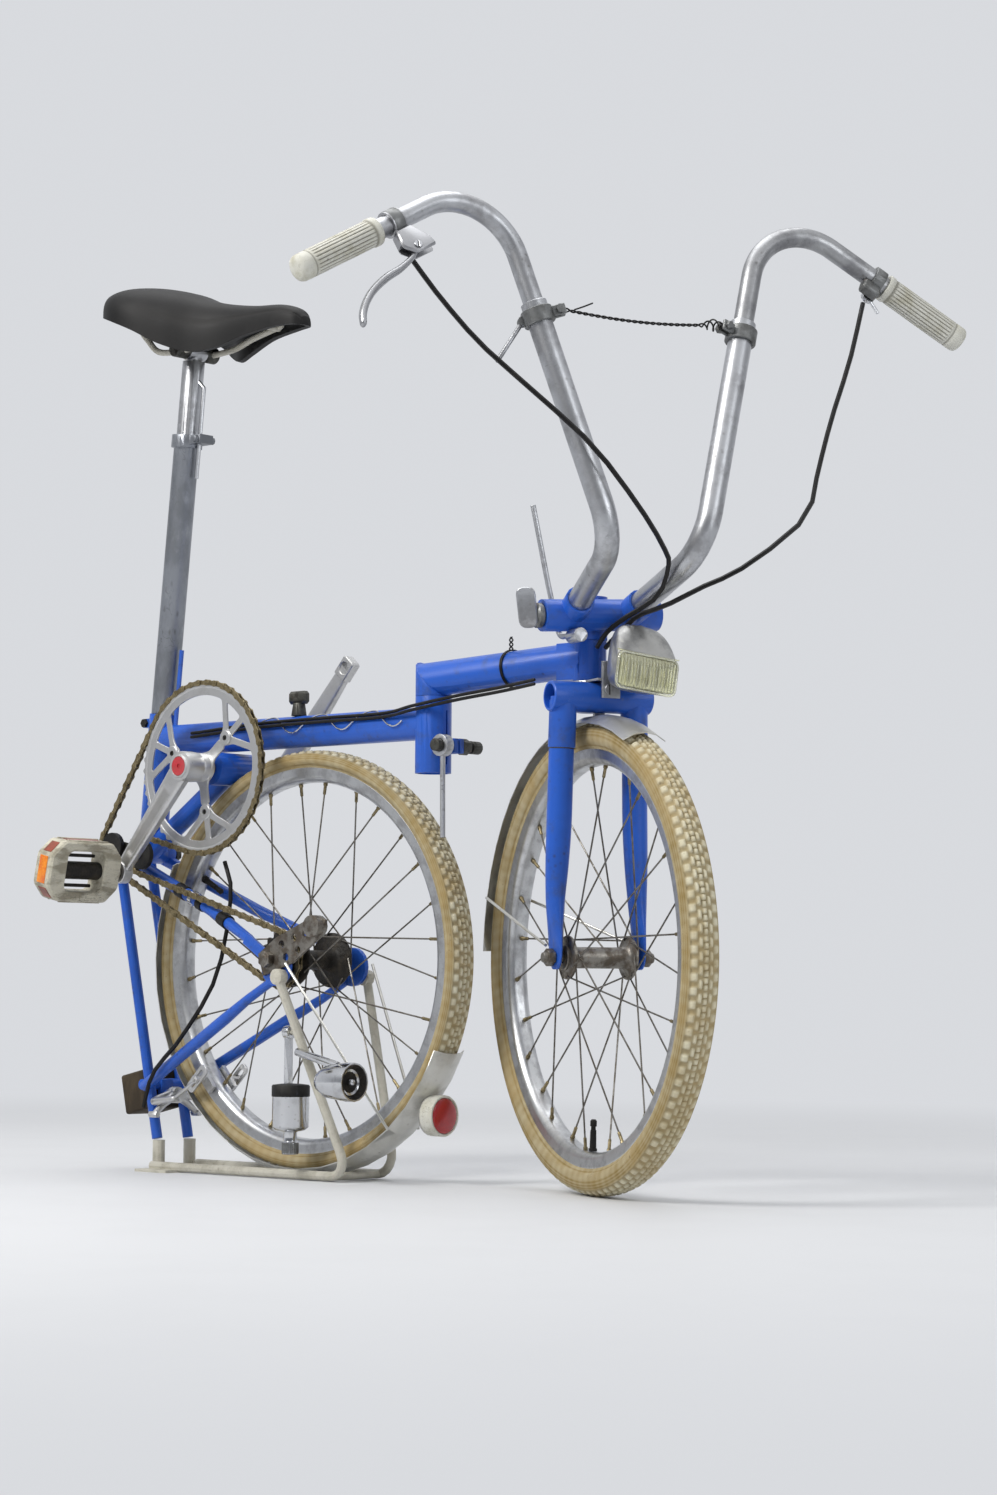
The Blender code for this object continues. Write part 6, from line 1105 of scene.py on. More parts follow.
def pedalPiece():
    # An eight-sided frame with a chamfered window on each side of the barrel, ribs and set-in reflectors
    f, arm, turn = pedalForm, armForm["length"], bike["crankTurn"]
    cx, cz = bike["crank"][0] + arm * math.cos(turn), bike["crank"][1] + arm * math.sin(turn)
    middle = Matrix.Translation((cx, f["start"] - f["length"] / 2, cz))
    tilt = np.array(middle @ Matrix.Rotation(f["tilt"], 4, "Y"))
    w, l, c, out = f["width"] / 2, f["length"] / 2, f["chamfer"], f["width"] / 2 + f["proud"]
    outline = np.array([
        (w, l - c), (w - c, l), (c - w, l), (-w, l - c), (-w, c - l), (c - w, -l), (w - c, -l), (w, c - l)
    ])
    body = plate([roundCorners(outline, 0.004), roundCorners(f["window"], 0.003)], f["height"], 0.002)
    inner = [lathe(f["barrel"], (0, 0, 0), (0, 1, 0), 36, ring=True, slot=1)]
    inner += [movedBar(f["bar"], (side * f["barAt"], 0, 0), 0.0006, slot=1) for side in (-1, 1)]
    spots = [(side * out, 0, up * f["ribAt"]) for side in (-1, 1) for up in (-1, 1)]
    ribs = [movedBar(f["rib"], spot, 0.0004) for spot in spots]
    eyeCap = lathe(f["eyeCap"], (0, 0, 0), (0, 1, 0), 36, ring=True)
    every = [turnedBy(s, tilt) for s in [body, eyeCap] + inner + ribs]
    addPiece("pedalFrame", every, "pedal", [pedalPlastic, greasyBlack], ["pedal_body"], sharp=40)
    panes = [movedBar(f["sidePane"], (side * out, 0, 0), 0.0003, slot=1) for side in (-1, 1)]
    panes.append(movedBar(f["endPane"], (0, -l - f["proud"], 0), 0.0003))
    for side in (-1, 1):
        chamfer = slab(f["cornerPane"], 0.0003, slot=1)
        lean = math.radians(45) * side
        cosine, sine = math.cos(lean), math.sin(lean)
        turned = np.array([[cosine, -sine, 0], [sine, cosine, 0], [0, 0, 1]])
        corner = np.array([side * (w - c / 2 + 0.0001), c / 2 - l - 0.0001, 0])
        chamfer["p"] = chamfer["p"] @ turned.T + corner
        panes.append(chamfer)
    addPiece("pedalReflectors", [turnedBy(s, tilt) for s in panes], "pedal", [amberLens, dullRed], sharp=40)


pedalPiece()
print("cranks made")


# Handlebars, grips and their collars

barForm = {
    "socket": (0.034, 0.0315, 0.5772), "knee": (0.1546, 0.048, 0.6255), "collar": (0.113, 0.11, 0.845),
    "kneeBend": 0.05, "topBend": 0.065, "topTurn": math.radians(105.5), "run": 0.066, "end": 0.094,
    "lower": 0.012, "upper": 0.01, "right": {"side": -1, "rise": 0.062, "roll": math.radians(-5.2)},
    "left": {"side": 1, "rise": 0.068, "roll": math.radians(0.7)},
}


def barRoute(hand):
    # Straight out of the collar, round one bend, then straight along the grip
    f, own = barForm, barForm[hand]
    side = own["side"]
    flip = np.array([1, side, 1])
    socket, knee, collar = (np.array(f[k]) * flip for k in ("socket", "knee", "collar"))
    up = unit(collar - knee)
    out = np.array([0.0, side, 0.0])
    out = unit(out - up * out.dot(up))
    cross = np.cross(up, out) * side
    out = math.cos(own["roll"]) * out + math.sin(own["roll"]) * cross
    centre = collar + up * own["rise"] + out * f["topBend"]
    a = np.linspace(0, f["topTurn"], 40)[:, None]
    arc = centre - out * f["topBend"] * np.cos(a) + up * f["topBend"] * np.sin(a)
    grip = unit(up * math.cos(f["topTurn"]) + out * math.sin(f["topTurn"]))
    start = arc[-1] + grip * f["run"]
    return dict(socket=socket, knee=knee, collar=collar, up=up, arc=arc, grip=grip, start=start)


gripForm = {"radius": 0.0133, "flutes": 22, "dots": 26, "depth": (0.0007, 0.0004), "rings": (0.0845, 0.008)}


def gripShape(start, grip):
    # A turned sleeve whose middle zone is fluted; dirt and painted shade lie in the flutes and round the end
    # bands
    f, r = gripForm, gripForm["radius"]
    h = np.r_[0, 0.0004, 0.0015, 0.006, 0.0075, 0.0085, np.linspace(0.011, 0.08, 16), 0.083, 0.0845, 0.086,
              0.095, 0.0975, 0.0992, 0.1, 0.1]
    base = np.r_[0.0103, r + 0.0006, r + 0.0008, r + 0.0008, r - 0.0003, r - 0.0003, np.full(16, r), r,
                 r - 0.0006, r, r - 0.0002, r - 0.0012, r - 0.0034, r - 0.006, 0.0]

    def flute(height, angle):
        # Ridges between the end bands, which fade over 2 mm, and dots round the outer band
        zone = np.clip((height - 0.0095) / 0.002, 0, 1) * np.clip((0.083 - height) / 0.002, 0, 1)
        wave = np.clip((np.cos(angle * f["flutes"]) - 0.35) / 0.65, 0, 1)
        dots = np.clip((np.cos(angle * f["dots"]) - 0.2) * 3, 0, 1) * (height > 0.0862) * (height < 0.094)
        return wave * zone, dots

    def ripple(height, angle):
        # The radius sinks in the flutes and dots
        line, dots = flute(height, angle)
        return -f["depth"][0] * line - f["depth"][1] * dots

    def tint(height, angle):
        # Mask of dirt and painted shade: flutes, dots and the two ring grooves
        line, dots = flute(height, angle)
        rings = sum(np.abs(height - spot) < 0.0012 for spot in f["rings"])
        return np.clip(line * 0.95 + dots * 0.6 + rings * 0.7 * np.ones_like(angle), 0, 1)

    return lathe(np.stack([base, h], 1), start, grip, 176, ripple=ripple, tint=tint)


collarForm = {
    "band": [
        (0.0121, -0.008), (0.015, -0.008), (0.0156, -0.0073), (0.0156, 0.0063), (0.015, 0.007),
        (0.0121, 0.007),
    ],
    "sleeve": [(0.0102, 0.007), (0.0128, 0.007), (0.0128, 0.0135), (0.0122, 0.0142), (0.0102, 0.0142)],
    "ear": (0.0145, 0.0035, 0.0105), "earAt": (0.0205, 0.0042), "boltAt": 0.022,
    "bolt": [
        (0.0, 0.01), (0.0036, 0.01), (0.0042, 0.0092), (0.0042, 0.0062), (0.0024, 0.006), (0.0024, -0.006),
        (0.0046, -0.0062), (0.0046, -0.0095), (0.0, -0.0098),
    ],
    "pivot": [(0.0, -0.004), (0.0045, -0.004), (0.005, -0.003), (0.005, 0.004), (0.0, 0.005)],
    "leverWay": (-0.1, -0.62, -1.0), "leverRun": (0.02, 0.046), "lever": 0.0024,
}


def barPieces(hand):
    # Lower bar bent at the knee, upper bar over the top bend, grip, and a clamp collar with its ears and bolt
    f, c, route = barForm, collarForm, barRoute(hand)
    up, collar, side = route["up"], route["collar"], f[hand]["side"]
    lower = dense(bent([route["socket"], route["knee"], collar + up * 0.0085], f["kneeBend"], 22), 0.012)
    tube = atFork(pipe(lower, f["lower"], 40))
    addPiece(f"{hand}LowerBar", [tube], f"{hand}_bar", [oldAluminium], [f"{hand}_lower_bar"])
    upper = np.concatenate([[collar - up * 0.088], route["arc"], [route["start"] + route["grip"] * f["end"]]])
    tube = atFork(pipe(dense(upper, 0.012), f["upper"], 36))
    # The far, left upper bar takes the darker copy of the metal: painted shade
    metal = oldAluminium if hand == "right" else shadedBar
    addPiece(f"{hand}UpperBar", [tube], f"{hand}_bar_top", [metal], [f"{hand}_upper_bar"])
    grip = atFork(gripShape(route["start"], route["grip"]))
    addPiece(f"{hand}GripSleeve", [grip], f"{hand}_bar_top", [creamPlastic], [f"{hand}_grip"], sharp=50)
    lug = np.array([0.25, -side, 0.1])
    lug = unit(lug - up * lug.dot(up))
    along = np.cross(up, lug)
    parts = [lathe(c["band"], collar, up, 48, ring=True)]
    parts.append(lathe(c["sleeve"], collar, up, 48, ring=True, slot=1))
    for way in (-1, 1):
        spot = collar + lug * c["earAt"][0] + along * way * c["earAt"][1]
        parts.append(placed(slab(c["ear"], 0.0008), spot, lug, along, up))
    parts.append(lathe(c["bolt"], collar + lug * c["boltAt"], along, 6))
    if hand == "right":
        back = collar - lug * 0.015 + along * 0.004
        way = unit(np.array(c["leverWay"]))
        parts.append(lathe(c["pivot"], back, along, 20))
        ends = [back + way * run for run in (0.0, *c["leverRun"])]
        parts.append(pipe(np.array(ends), c["lever"], 14, slot=1, domed=True))
    parts = [atFork(s) for s in parts]
    addPiece(f"{hand}BarCollar", parts, f"{hand}_bar", [greyFitting, oldAluminium], sharp=35)
    return route, lug


rightRoute, rightLug = barPieces("right")
leftRoute, leftLug = barPieces("left")


tieForm = {
    "reach": 0.026, "sag": 0.005, "turns": 13, "strand": 0.00085, "gap": 0.0009, "knot": (0.0048, 0.94, 0.05),
    "start": (0.0012, 0.03), "tail": ((0, 0.012, 0.001), (0, 0.022, 0.005), (0, 0.031, 0.009)),
    "tailWire": 0.0008,
}


def tieWire():
    # Two strands wound round each other along a shallow sag, in two halves that hook in the middle
    f = tieForm
    a, b = rightRoute["collar"] + rightLug * f["reach"], leftRoute["collar"] + leftLug * f["reach"]
    t = np.linspace(0, 1, 300)
    middle = a + (b - a) * t[:, None]
    middle[:, 2] -= f["sag"] * np.sin(np.pi * t)
    _, side, over = carried(middle)
    turns = 2 * np.pi * f["turns"] * t
    (wide, spot, run), (first, fade) = f["knot"], f["start"]
    loose = f["gap"] + wide * np.exp(-(((t - spot) / run) ** 2)) + first * np.exp(-((t / fade) ** 2))
    for half, chosen, body in (("right", t <= 0.5, "right_bar"), ("left", t >= 0.5, "left_bar")):
        strands = []
        for phase in (0, np.pi):
            turned = np.cos(turns + phase)[:, None] * side + np.sin(turns + phase)[:, None] * over
            wound = middle + loose[:, None] * turned
            strands.append(pipe(wound[chosen], f["strand"], 8, domed=True))
        if half == "right":
            tail = smooth([a + step for step in f["tail"]], 10)
            strands.append(pipe(tail, f["tailWire"], 8, domed=True))
        addPiece(f"tieWire{half.title()}", [atFork(s) for s in strands], body, [cableBlack])


tieWire()
print("handlebars made")


# Saddle

saddleForm = {
    "stations": [
        (-0.105, 0.026, 0.983, 0.968), (-0.099, 0.048, 0.989, 0.96), (-0.085, 0.067, 0.99, 0.953),
        (-0.06, 0.077, 0.9905, 0.944), (-0.03, 0.074, 0.9868, 0.931), (0.0, 0.06, 0.979, 0.914),
        (0.03, 0.042, 0.967, 0.904), (0.06, 0.03, 0.959, 0.907), (0.1, 0.023, 0.952, 0.917),
        (0.14, 0.0195, 0.948, 0.9215), (0.162, 0.015, 0.941, 0.922), (0.172, 0.0075, 0.931, 0.921),
    ],
    "wall": 0.007, "crown": 0.016, "crease": (0.5, 0.18, 0.035, 0.0009), "across": 49, "along": 96,
}


def saddlePiece():
    # Cross-sections run from skirt to skirt over the crown, then back inside, along smoothed stations
    f = saddleForm
    x, half, top, skirt = smooth(np.array(f["stations"]), f["along"]).T[:, :, None]
    a = np.linspace(0, np.pi, f["across"])[None, :]
    across, high = np.sign(np.cos(a)) * np.abs(np.cos(a)) ** 0.8, np.sin(a) ** 0.62
    height = top - skirt
    outer = np.stack(np.broadcast_arrays(x, -half * across, skirt + height * high), -1)
    spot, slope, narrow, deep = f["crease"]
    crease = np.exp(-(((high - spot - slope * np.clip(x / 0.15, -1, 1)) / narrow) ** 2))
    crease = crease * np.clip((x + 0.03) / 0.03, 0, 1)
    outer[..., 1] -= np.sign(outer[..., 1]) * deep * crease
    innerHalf = np.maximum(half - f["wall"], half * 0.35)
    closed = np.clip((x + 0.1045) / 0.004, 0, 1) * np.clip((0.1715 - x) / 0.004, 0, 1)
    deep = np.clip(height - f["crown"], 0, None) * closed
    inner = np.stack(np.broadcast_arrays(x, -innerHalf * across, skirt + 0.0004 + deep * high), -1)[:, ::-1]
    mask = np.concatenate([crease * 0.7 * np.ones_like(outer[..., 0]), np.zeros_like(inner[..., 0])], 1)
    made = grid(np.concatenate([outer, inner], 1), tint=mask)
    piece = addPiece("saddleTop", [made], "saddle", [saddleCover], ["saddle"], sharp=55)


saddlePiece()


railForm = {
    "route": [
        (-0.07, 0.03, 0.951), (-0.055, 0.026, 0.93), (-0.035, 0.021, 0.914), (0.03, 0.021, 0.914),
        (0.075, 0.014, 0.921), (0.125, 0.008, 0.928),
    ],
    "radius": 0.0035, "clampUp": 0.914, "nose": (0.118, 0.01, 0.9268), "noseRadius": 0.0042,
    "clamp": [
        (0.0, 0.0128), (0.0088, 0.0128), (0.0094, 0.0136), (0.0094, 0.03), (0.0084, 0.0312), (0.004, 0.0316),
        (0.0, 0.0316),
    ],
    "nut": [(0.0, 0.0312), (0.0052, 0.0312), (0.0052, 0.0335), (0.0, 0.0338)],
}


def railPiece():
    # The two rails flow from the tail to the nose, with clamps beside the post's barrel
    f, shells = railForm, []
    centre = (seatPoint(f["clampUp"])[0], 0, f["clampUp"])
    for side in (-1, 1):
        route = smooth(np.array(f["route"]) * [1, side, 1], 50)
        shells.append(pipe(route, f["radius"], 16, domed=True))
        shells.append(lathe(f["clamp"], centre, (0, side, 0), 32, slot=1))
        shells.append(lathe(f["nut"], centre, (0, side, 0), 6, slot=1))
    x, half, z = f["nose"]
    shells.append(pipe(np.array([(x, -half, z), (x, half, z)]), f["noseRadius"], 16, domed=True))
    addPiece("saddleRails", shells, "saddle", [creamEnamel, darkFitting], ["saddle_rails"], sharp=38)


railPiece()
print("saddle made")


# Headlamp

lampForm = {
    "forward": 0.068, "side": 0.02, "up": 0.5225, "roll": math.radians(-7.5), "depth": 0.0525,
    "stations": [
        (-1.0, 0.011, -0.01, 0.01), (-0.93, 0.0205, -0.016, 0.0155), (-0.8, 0.029, -0.0215, 0.0205),
        (-0.6, 0.0342, -0.0262, 0.0248), (-0.35, 0.0366, -0.0288, 0.0282), (-0.05, 0.0358, -0.0302, 0.0306),
        (0.25, 0.0306, -0.0311, 0.0322), (0.5, 0.0222, -0.0315, 0.0329), (0.7, 0.0126, -0.0318, 0.0332),
        (0.82, 0.0066, -0.0319, 0.0333), (0.86, 0.0056, -0.0318, 0.033),
    ],
    "lens": (0.0622, 0.033), "lensUp": -0.0142, "mouth": 0.86, "rim": 0.0032, "ribs": (0.00075, 9),
    "bulge": 0.0022, "seam": (0.0331, 0.0052, 0.0008), "ridge": (0.001, 0.003),
}


def lensOutline(grow=0.0):
    # The lens's own outline: a wide rounded rectangle, in (side, up)
    half, high = lampForm["lens"][0] / 2 + grow, lampForm["lens"][1] / 2 + grow
    corners = np.array([(-half, -high), (half, -high), (half, high), (-half, high)])
    return roundCorners(corners, 0.0065 + grow, 6)


def lampPieces():
    # Rounded rectangles through the stations (place, roof, floor, half width); the roof slopes to the lens
    f, d = lampForm, lampForm["depth"] / 2
    place = Matrix.Translation((f["forward"], f["side"], f["up"]))
    roll = np.array(place @ Matrix.Rotation(f["roll"], 4, "X"))
    t, roof, base, half = smooth(np.array(f["stations"]), 60).T[:, :, None]
    a = np.linspace(0, 2 * np.pi, 96, endpoint=False)[None, :]
    y = half * np.sign(np.cos(a)) * np.abs(np.cos(a)) ** 0.6
    rise = np.sign(np.sin(a)) * np.abs(np.sin(a)) ** 0.62
    z = np.where(rise > 0, roof, -base) * rise
    (high, narrow), fade = f["ridge"], np.clip((0.6 - t) / 0.3, 0, 1) * np.clip((t + 0.9) / 0.2, 0, 1)
    ridge = high * np.exp(-((y / narrow) ** 2)) * (rise > 0) * fade
    x = np.broadcast_to(d * t, y.shape)
    body = grid(np.stack([x, y, z + ridge - 0.0005], -1))
    front = d * f["mouth"]

    def lensPlate(outlines, thick, edge, ahead, slot=0):
        # A flat plate square to the lamp's axis, ahead of its mouth
        made = plate(outlines, thick, edge, slot)
        wide, tall, out = made["p"].T
        made["p"] = np.stack([out + front + ahead, wide, tall + f["lensUp"]], 1)
        return made

    rim = lensPlate([lensOutline(0.0022), lensOutline(-0.0002)], f["rim"], 0.0006, 0.0012, slot=1)
    half, up, thin = f["seam"]
    a = np.linspace(0, np.pi, 60)
    line = np.stack([np.full(60, front * 0.985), half * np.cos(a), up - thin * np.sin(a)], 1)
    seam = pipe(line, thin, 10, slot=1, domed=True)
    shells = [atFork(turnedBy(s, roll)) for s in (body, rim, seam)]
    addPiece("lampShell", shells, "headlamp", [silverShell, lensYellow], ["headlamp_shell"], sharp=45)
    mirror = lensPlate([lensOutline(-0.001)], 0.0012, 0.0002, 0.0007)
    addPiece("lampReflector", [atFork(turnedBy(mirror, roll))], "headlamp", [chrome], sharp=40)
    uu, vv = np.meshgrid(np.linspace(-1, 1, 121), np.linspace(-1, 1, 25), indexing="ij")
    wide, tall = f["lens"][0] / 2 - 0.0006, f["lens"][1] / 2 - 0.0006
    corner = np.clip((np.abs(uu) - 0.8) / 0.2, 0, 1)
    pinch = 1 - 0.16 * corner**2
    ribs = f["ribs"][0] * np.abs(np.sin(uu * np.pi * f["ribs"][1]))
    bulge = f["bulge"] * (1 - uu**4) * (1 - vv**4)
    outer = np.stack([front + 0.0022 + ribs + bulge, uu * wide, f["lensUp"] + vv * tall * pinch], -1)
    inner = outer.copy()
    inner[..., 0] = front + 0.0014
    around = [np.concatenate([g[:, 0], g[-1, 1:], g[-2::-1, -1], g[0, -2:0:-1]]) for g in (outer, inner)]
    wall = grid(np.stack(around))
    wall["c"] = []
    # Rib troughs are darker through the groove mask: painted shade
    ribbed = grid(outer, roundV=False, tint=(ribs < 0.00025) * 0.9)
    pane = atFork(turnedBy(joinShells([ribbed, grid(inner, roundV=False), wall]), roll))
    made = addPiece("lampLens", [pane], "headlamp", [lensYellow], ["headlamp_lens"], sharp=60)
    bm = bmesh.new()
    bm.from_mesh(made.data)
    bmesh.ops.remove_doubles(bm, verts=bm.verts, dist=1e-6)
    bmesh.ops.recalc_face_normals(bm, faces=bm.faces)
    bm.to_mesh(made.data)
    bm.free()


lampPieces()


# Fork

forkForm = {
    "crownUp": 0.4896, "crown": 0.015, "crownHalf": 0.054, "bore": 0.0122, "steerer": 0.0127,
    "steererTop": 0.5885, "block": (0.024, 0.026), "sleeve": (0.0388, 0.0398, 0.439), "sides": 40,
    "stations": [
        (0.4896, -0.0005, 0.0388, 0.0125, 0.0125), (0.43, -0.0018, 0.0401, 0.0125, 0.0125),
        (0.365, -0.003, 0.0415, 0.0125, 0.0125), (0.325, -0.0036, 0.0431, 0.0118, 0.0115),
        (0.298, -0.004, 0.0443, 0.0112, 0.0098), (0.28, -0.0036, 0.0449, 0.0118, 0.0082),
        (0.262, -0.0024, 0.0453, 0.0134, 0.0056), (0.248, -0.0012, 0.0455, 0.0146, 0.0036),
        (0.236, -0.0006, 0.0455, 0.014, 0.003), (0.228, -0.0004, 0.0455, 0.0116, 0.0029),
        (0.2228, -0.0004, 0.0455, 0.0072, 0.0028), (0.2213, -0.0004, 0.0455, 0.003, 0.0026),
    ],
}


def forkPiece():
    # Legs: ovals through the stations (height, ahead, side, half length, half width), flat at the bottom
    f, ahead = forkForm, bike["forkOffset"]
    cross = [(f["bore"], 0.0265), (f["bore"], f["crownHalf"]), (f["crown"] - 0.0008, f["crownHalf"]),
             (f["crown"], f["crownHalf"] - 0.0008)]
    cross = cross + [(r, -h) for r, h in reversed(cross)]
    shells = [lathe(cross, (ahead, 0, f["crownUp"]), (0, 1, 0), 64, ring=True)]
    up = f["steererTop"] - f["crownUp"]
    steerer = [(0.0, -0.013), (f["steerer"], -0.013), (f["steerer"], up), (0.0, up)]
    shells.append(lathe(steerer, (0, 0, f["crownUp"]), (0, 0, 1), 48))
    shells.append(movedBar((ahead, *f["block"]), (ahead / 2, 0, f["crownUp"]), 0.0016))
    z, lead, out, long, wide = smooth(np.array(f["stations"]), 110).T[:, :, None]
    a = np.linspace(0, 2 * np.pi, f["sides"], endpoint=False)[None, :]
    nearTop, nearLow, lowUp = f["sleeve"]
    for side in (-1, 1):
        x = ahead + lead + long * np.cos(a)
        y = side * out + wide * np.sin(a)
        shells.append(grid(np.stack(np.broadcast_arrays(x, y, z), -1)))
        top = np.array([ahead - 0.0005, side * nearTop, f["crownUp"] - 0.004])
        low = np.array([ahead - 0.0016, side * nearLow, lowUp])
        run, length = unit(low - top), np.linalg.norm(low - top)
        sleeve = [(0.0118, 0.0), (0.0136, 0.0), (0.0136, length - 0.0008), (0.013, length), (0.0118, length)]
        edge = [(0.012, 0.0001), (0.0129, 0.0001), (0.0129, 0.0011), (0.012, 0.0011)]
        shells.append(lathe(sleeve, top, run, f["sides"], ring=True))
        shells.append(lathe([(r, length + h) for r, h in edge], top, run, f["sides"], ring=True, slot=1))
    shells = [atFork(s) for s in shells]
    addPiece("forkTubes", shells, "steering", [bluePaint, darkFitting], ["fork"], sharp=38)


forkPiece()


# Brake lever

leverForm = {
    "turn": math.radians(32), "back": 0.022, "flat": 0.72, "domes": (78.0, 52.0, 26.0),
    "blade": [
        (0.003, 0.0375, 0.0036), (0.012, 0.042, 0.0037), (0.03, 0.0465, 0.0046), (0.05, 0.0485, 0.0052),
        (0.07, 0.0535, 0.0052), (0.086, 0.061, 0.0052), (0.098, 0.07, 0.0052), (0.105, 0.0785, 0.0046),
    ],
}


def leverFrame():
    # Along the grip, out along the blade's reach, and square to both
    grip, start = rightRoute["grip"], rightRoute["start"]
    down = np.array([0.0, 0.0, -1.0])
    down = unit(down - grip * down.dot(grip))
    ahead = np.array([1.0, 0.0, 0.0])
    ahead = ahead - grip * ahead.dot(grip)
    ahead = unit(ahead - down * ahead.dot(down))
    reach = down * math.cos(leverForm["turn"]) + ahead * math.sin(leverForm["turn"])
    return start - grip * leverForm["back"], grip, reach, np.cross(grip, reach)


def leverPiece():
    # An oval bar swept along the smoothed blade line, wider than thick, with domed ends
    middle, grip, reach, across = leverFrame()
    spots = smooth(np.array(leverForm["blade"]), 60)
    path = middle + spots[:, :1] * grip + spots[:, 1:2] * reach
    radius = spots[:, 2]
    tangent = unit(np.gradient(path, axis=0))
    outward = unit(np.cross(across, tangent))
    a = np.linspace(0, 2 * np.pi, 40, endpoint=False)[None, :, None]
    lean = np.radians(leverForm["domes"])
    head = path[0] - tangent[0] * (np.sin(lean) * radius[0])[:, None]
    tail = path[-1] + tangent[-1] * (np.sin(lean[::-1]) * radius[-1])[:, None]
    path = np.concatenate([head, path, tail])
    radius = np.concatenate([np.cos(lean) * radius[0], radius, np.cos(lean[::-1]) * radius[-1]])
    outward = np.concatenate([np.repeat(outward[:1], 3, 0), outward, np.repeat(outward[-1:], 3, 0)])
    thin = radius[:, None, None] * leverForm["flat"]
    points = path[:, None] + radius[:, None, None] * np.cos(a) * across + thin * np.sin(a) * outward[:, None]
    blade = atFork(grid(points))
    addPiece("brakeLeverBlade", [blade], "brake_lever", [leverAlloy], ["brake_lever"], sharp=60)


leverPiece()


# Reflector, rear lamp and dynamo

reflectorForm = {
    "turn": math.radians(-43.6), "radius": 0.232, "back": (0.01, 0.0173), "lens": (0.0182, 0.0026),
    "housing": [
        (0.0181, -0.0155), (0.0211, -0.0155), (0.0214, -0.001), (0.0206, 0.0006), (0.0192, 0.0008),
        (0.0184, -0.0002),
    ],
}
rearLampForm = {
    "place": (0.3085, -0.08, 0.106),
    "mouth": [
        (0.0, 0.0158), (0.0138, 0.0186), (0.0176, 0.0245), (0.018, 0.0262), (0.017, 0.0262), (0.0132, 0.0196),
        (0.0, 0.017),
    ],
    "bulb": [
        (0.0, 0.0165), (0.0034, 0.0165), (0.0036, 0.0195), (0.004, 0.0215), (0.0034, 0.0238), (0.0018, 0.025),
        (0.0, 0.0252),
    ],
}
dynamoForm = {
    "place": (0.214, -0.052, 0.074), "knurl": (0.00035, 24),
    "cap": [
        (0.0, 0.0276), (0.011, 0.0272), (0.019, 0.0262), (0.02012, 0.0246), (0.02012, 0.0142),
        (0.0192, 0.0138), (0.0, 0.0138),
    ],
    "roller": [
        (0.006, -0.034), (0.0084, -0.034), (0.0086, -0.035), (0.0086, -0.045), (0.0078, -0.0464),
        (0.006, -0.0464),
    ],
}


def knurled(height, angle):
    # The radius grows and sinks once for each tooth round the roller
    deep, teeth = dynamoForm["knurl"]
    return deep * np.cos(angle * teeth) + 0 * height


def rearExtras():
    # Domed lens in its housing on the reflector, mouth and bulb in the lamp, cap and roller on the dynamo
    f, (x, z) = reflectorForm, bike["rearAxle"]
    skin = np.array([x + f["radius"] * math.cos(f["turn"]), 0, z + f["radius"] * math.sin(f["turn"])])
    base, ahead = (np.array([step, 0, 0]) for step in f["back"])
    face = skin + base + ahead
    wide, high = f["lens"]
    quarter = [t * math.pi / 2 for t in np.linspace(0, 1, 9)]
    dome = [(0.0, -0.0001)] + [(wide * math.cos(t * 0.999), high * math.sin(t)) for t in quarter]
    addPiece("reflectorLens", [lathe(dome, face, (1, 0, 0), 64)], "rear_section", [redLens], sharp=50)
    housing = lathe(f["housing"], face, (1, 0, 0), 64, ring=True)
    addPiece("reflectorHousing", [housing], "rear_section", [creamPlastic], sharp=40)
    f = rearLampForm
    mouth = lathe(f["mouth"], f["place"], (1, 0, 0), 48)
    bulb = lathe(f["bulb"], f["place"], (1, 0, 0), 24, slot=1)
    addPiece("rearLampMouth", [mouth, bulb], "rear_section", [greasyBlack, chrome], sharp=40)
    f = dynamoForm
    cap = lathe(f["cap"], f["place"], (0, 0, 1), 48)
    roller = lathe(f["roller"], f["place"], (0, 0, 1), 72, ring=True, slot=1, ripple=knurled)
    addPiece("dynamoCap", [cap, roller], "dynamo", [blackPlastic, greyFitting], sharp=40)


rearExtras()


# Screws, plates and the paddle

screwForm = {"open": 0.44 * np.pi, "slit": 0.14, "flat": 0.98, "floor": (0.96, 0.45)}


def slottedScrew(radius, depth, centre, axis, slot=0):
    # A low domed head with a groove across it, cut as two half discs
    f, heads = screwForm, []
    first, second, _ = axes(axis)
    a = np.linspace(-f["open"], f["open"], 16)
    for way in (-1, 1):
        half = np.stack([way * (radius * np.cos(a)), radius * np.sin(a)], 1)
        slit = way * radius * f["slit"]
        half = np.concatenate([half, [[slit, radius * f["flat"]], [slit, -radius * f["flat"]]]])
        heads.append(placed(plate([half], depth, 0.0003, slot, depth / 2), centre, first, second, axis))
    wide, high = radius * f["floor"][0], depth * f["floor"][1]
    heads.append(lathe([(0.0, 0.0), (wide, 0.0), (wide, high), (0.0, high)], centre, axis, 32, slot=slot + 1))
    return heads


bracketForm = {
    "face": (0.02, 0.0365, 0.0026), "faceAt": (0.0406, 0.004, 0.5065), "screw": (0.0052, 0.0022),
    "screwAt": (0.0419, 0.0015, 0.4965), "boltAt": (0.004, 0, 0.548),
    "bolt": [(0.0, 0.02), (0.0028, 0.02), (0.0028, 0.05), (0.0, 0.05)],
    "nut": [
        (0.0, 0.0502), (0.0046, 0.0502), (0.0052, 0.051), (0.0052, 0.0575), (0.0046, 0.0583), (0.0, 0.0583),
    ],
    "tip": [(0.0, 0.0585), (0.003, 0.0585), (0.003, 0.0625), (0.0022, 0.0635), (0.0, 0.0635)],
}


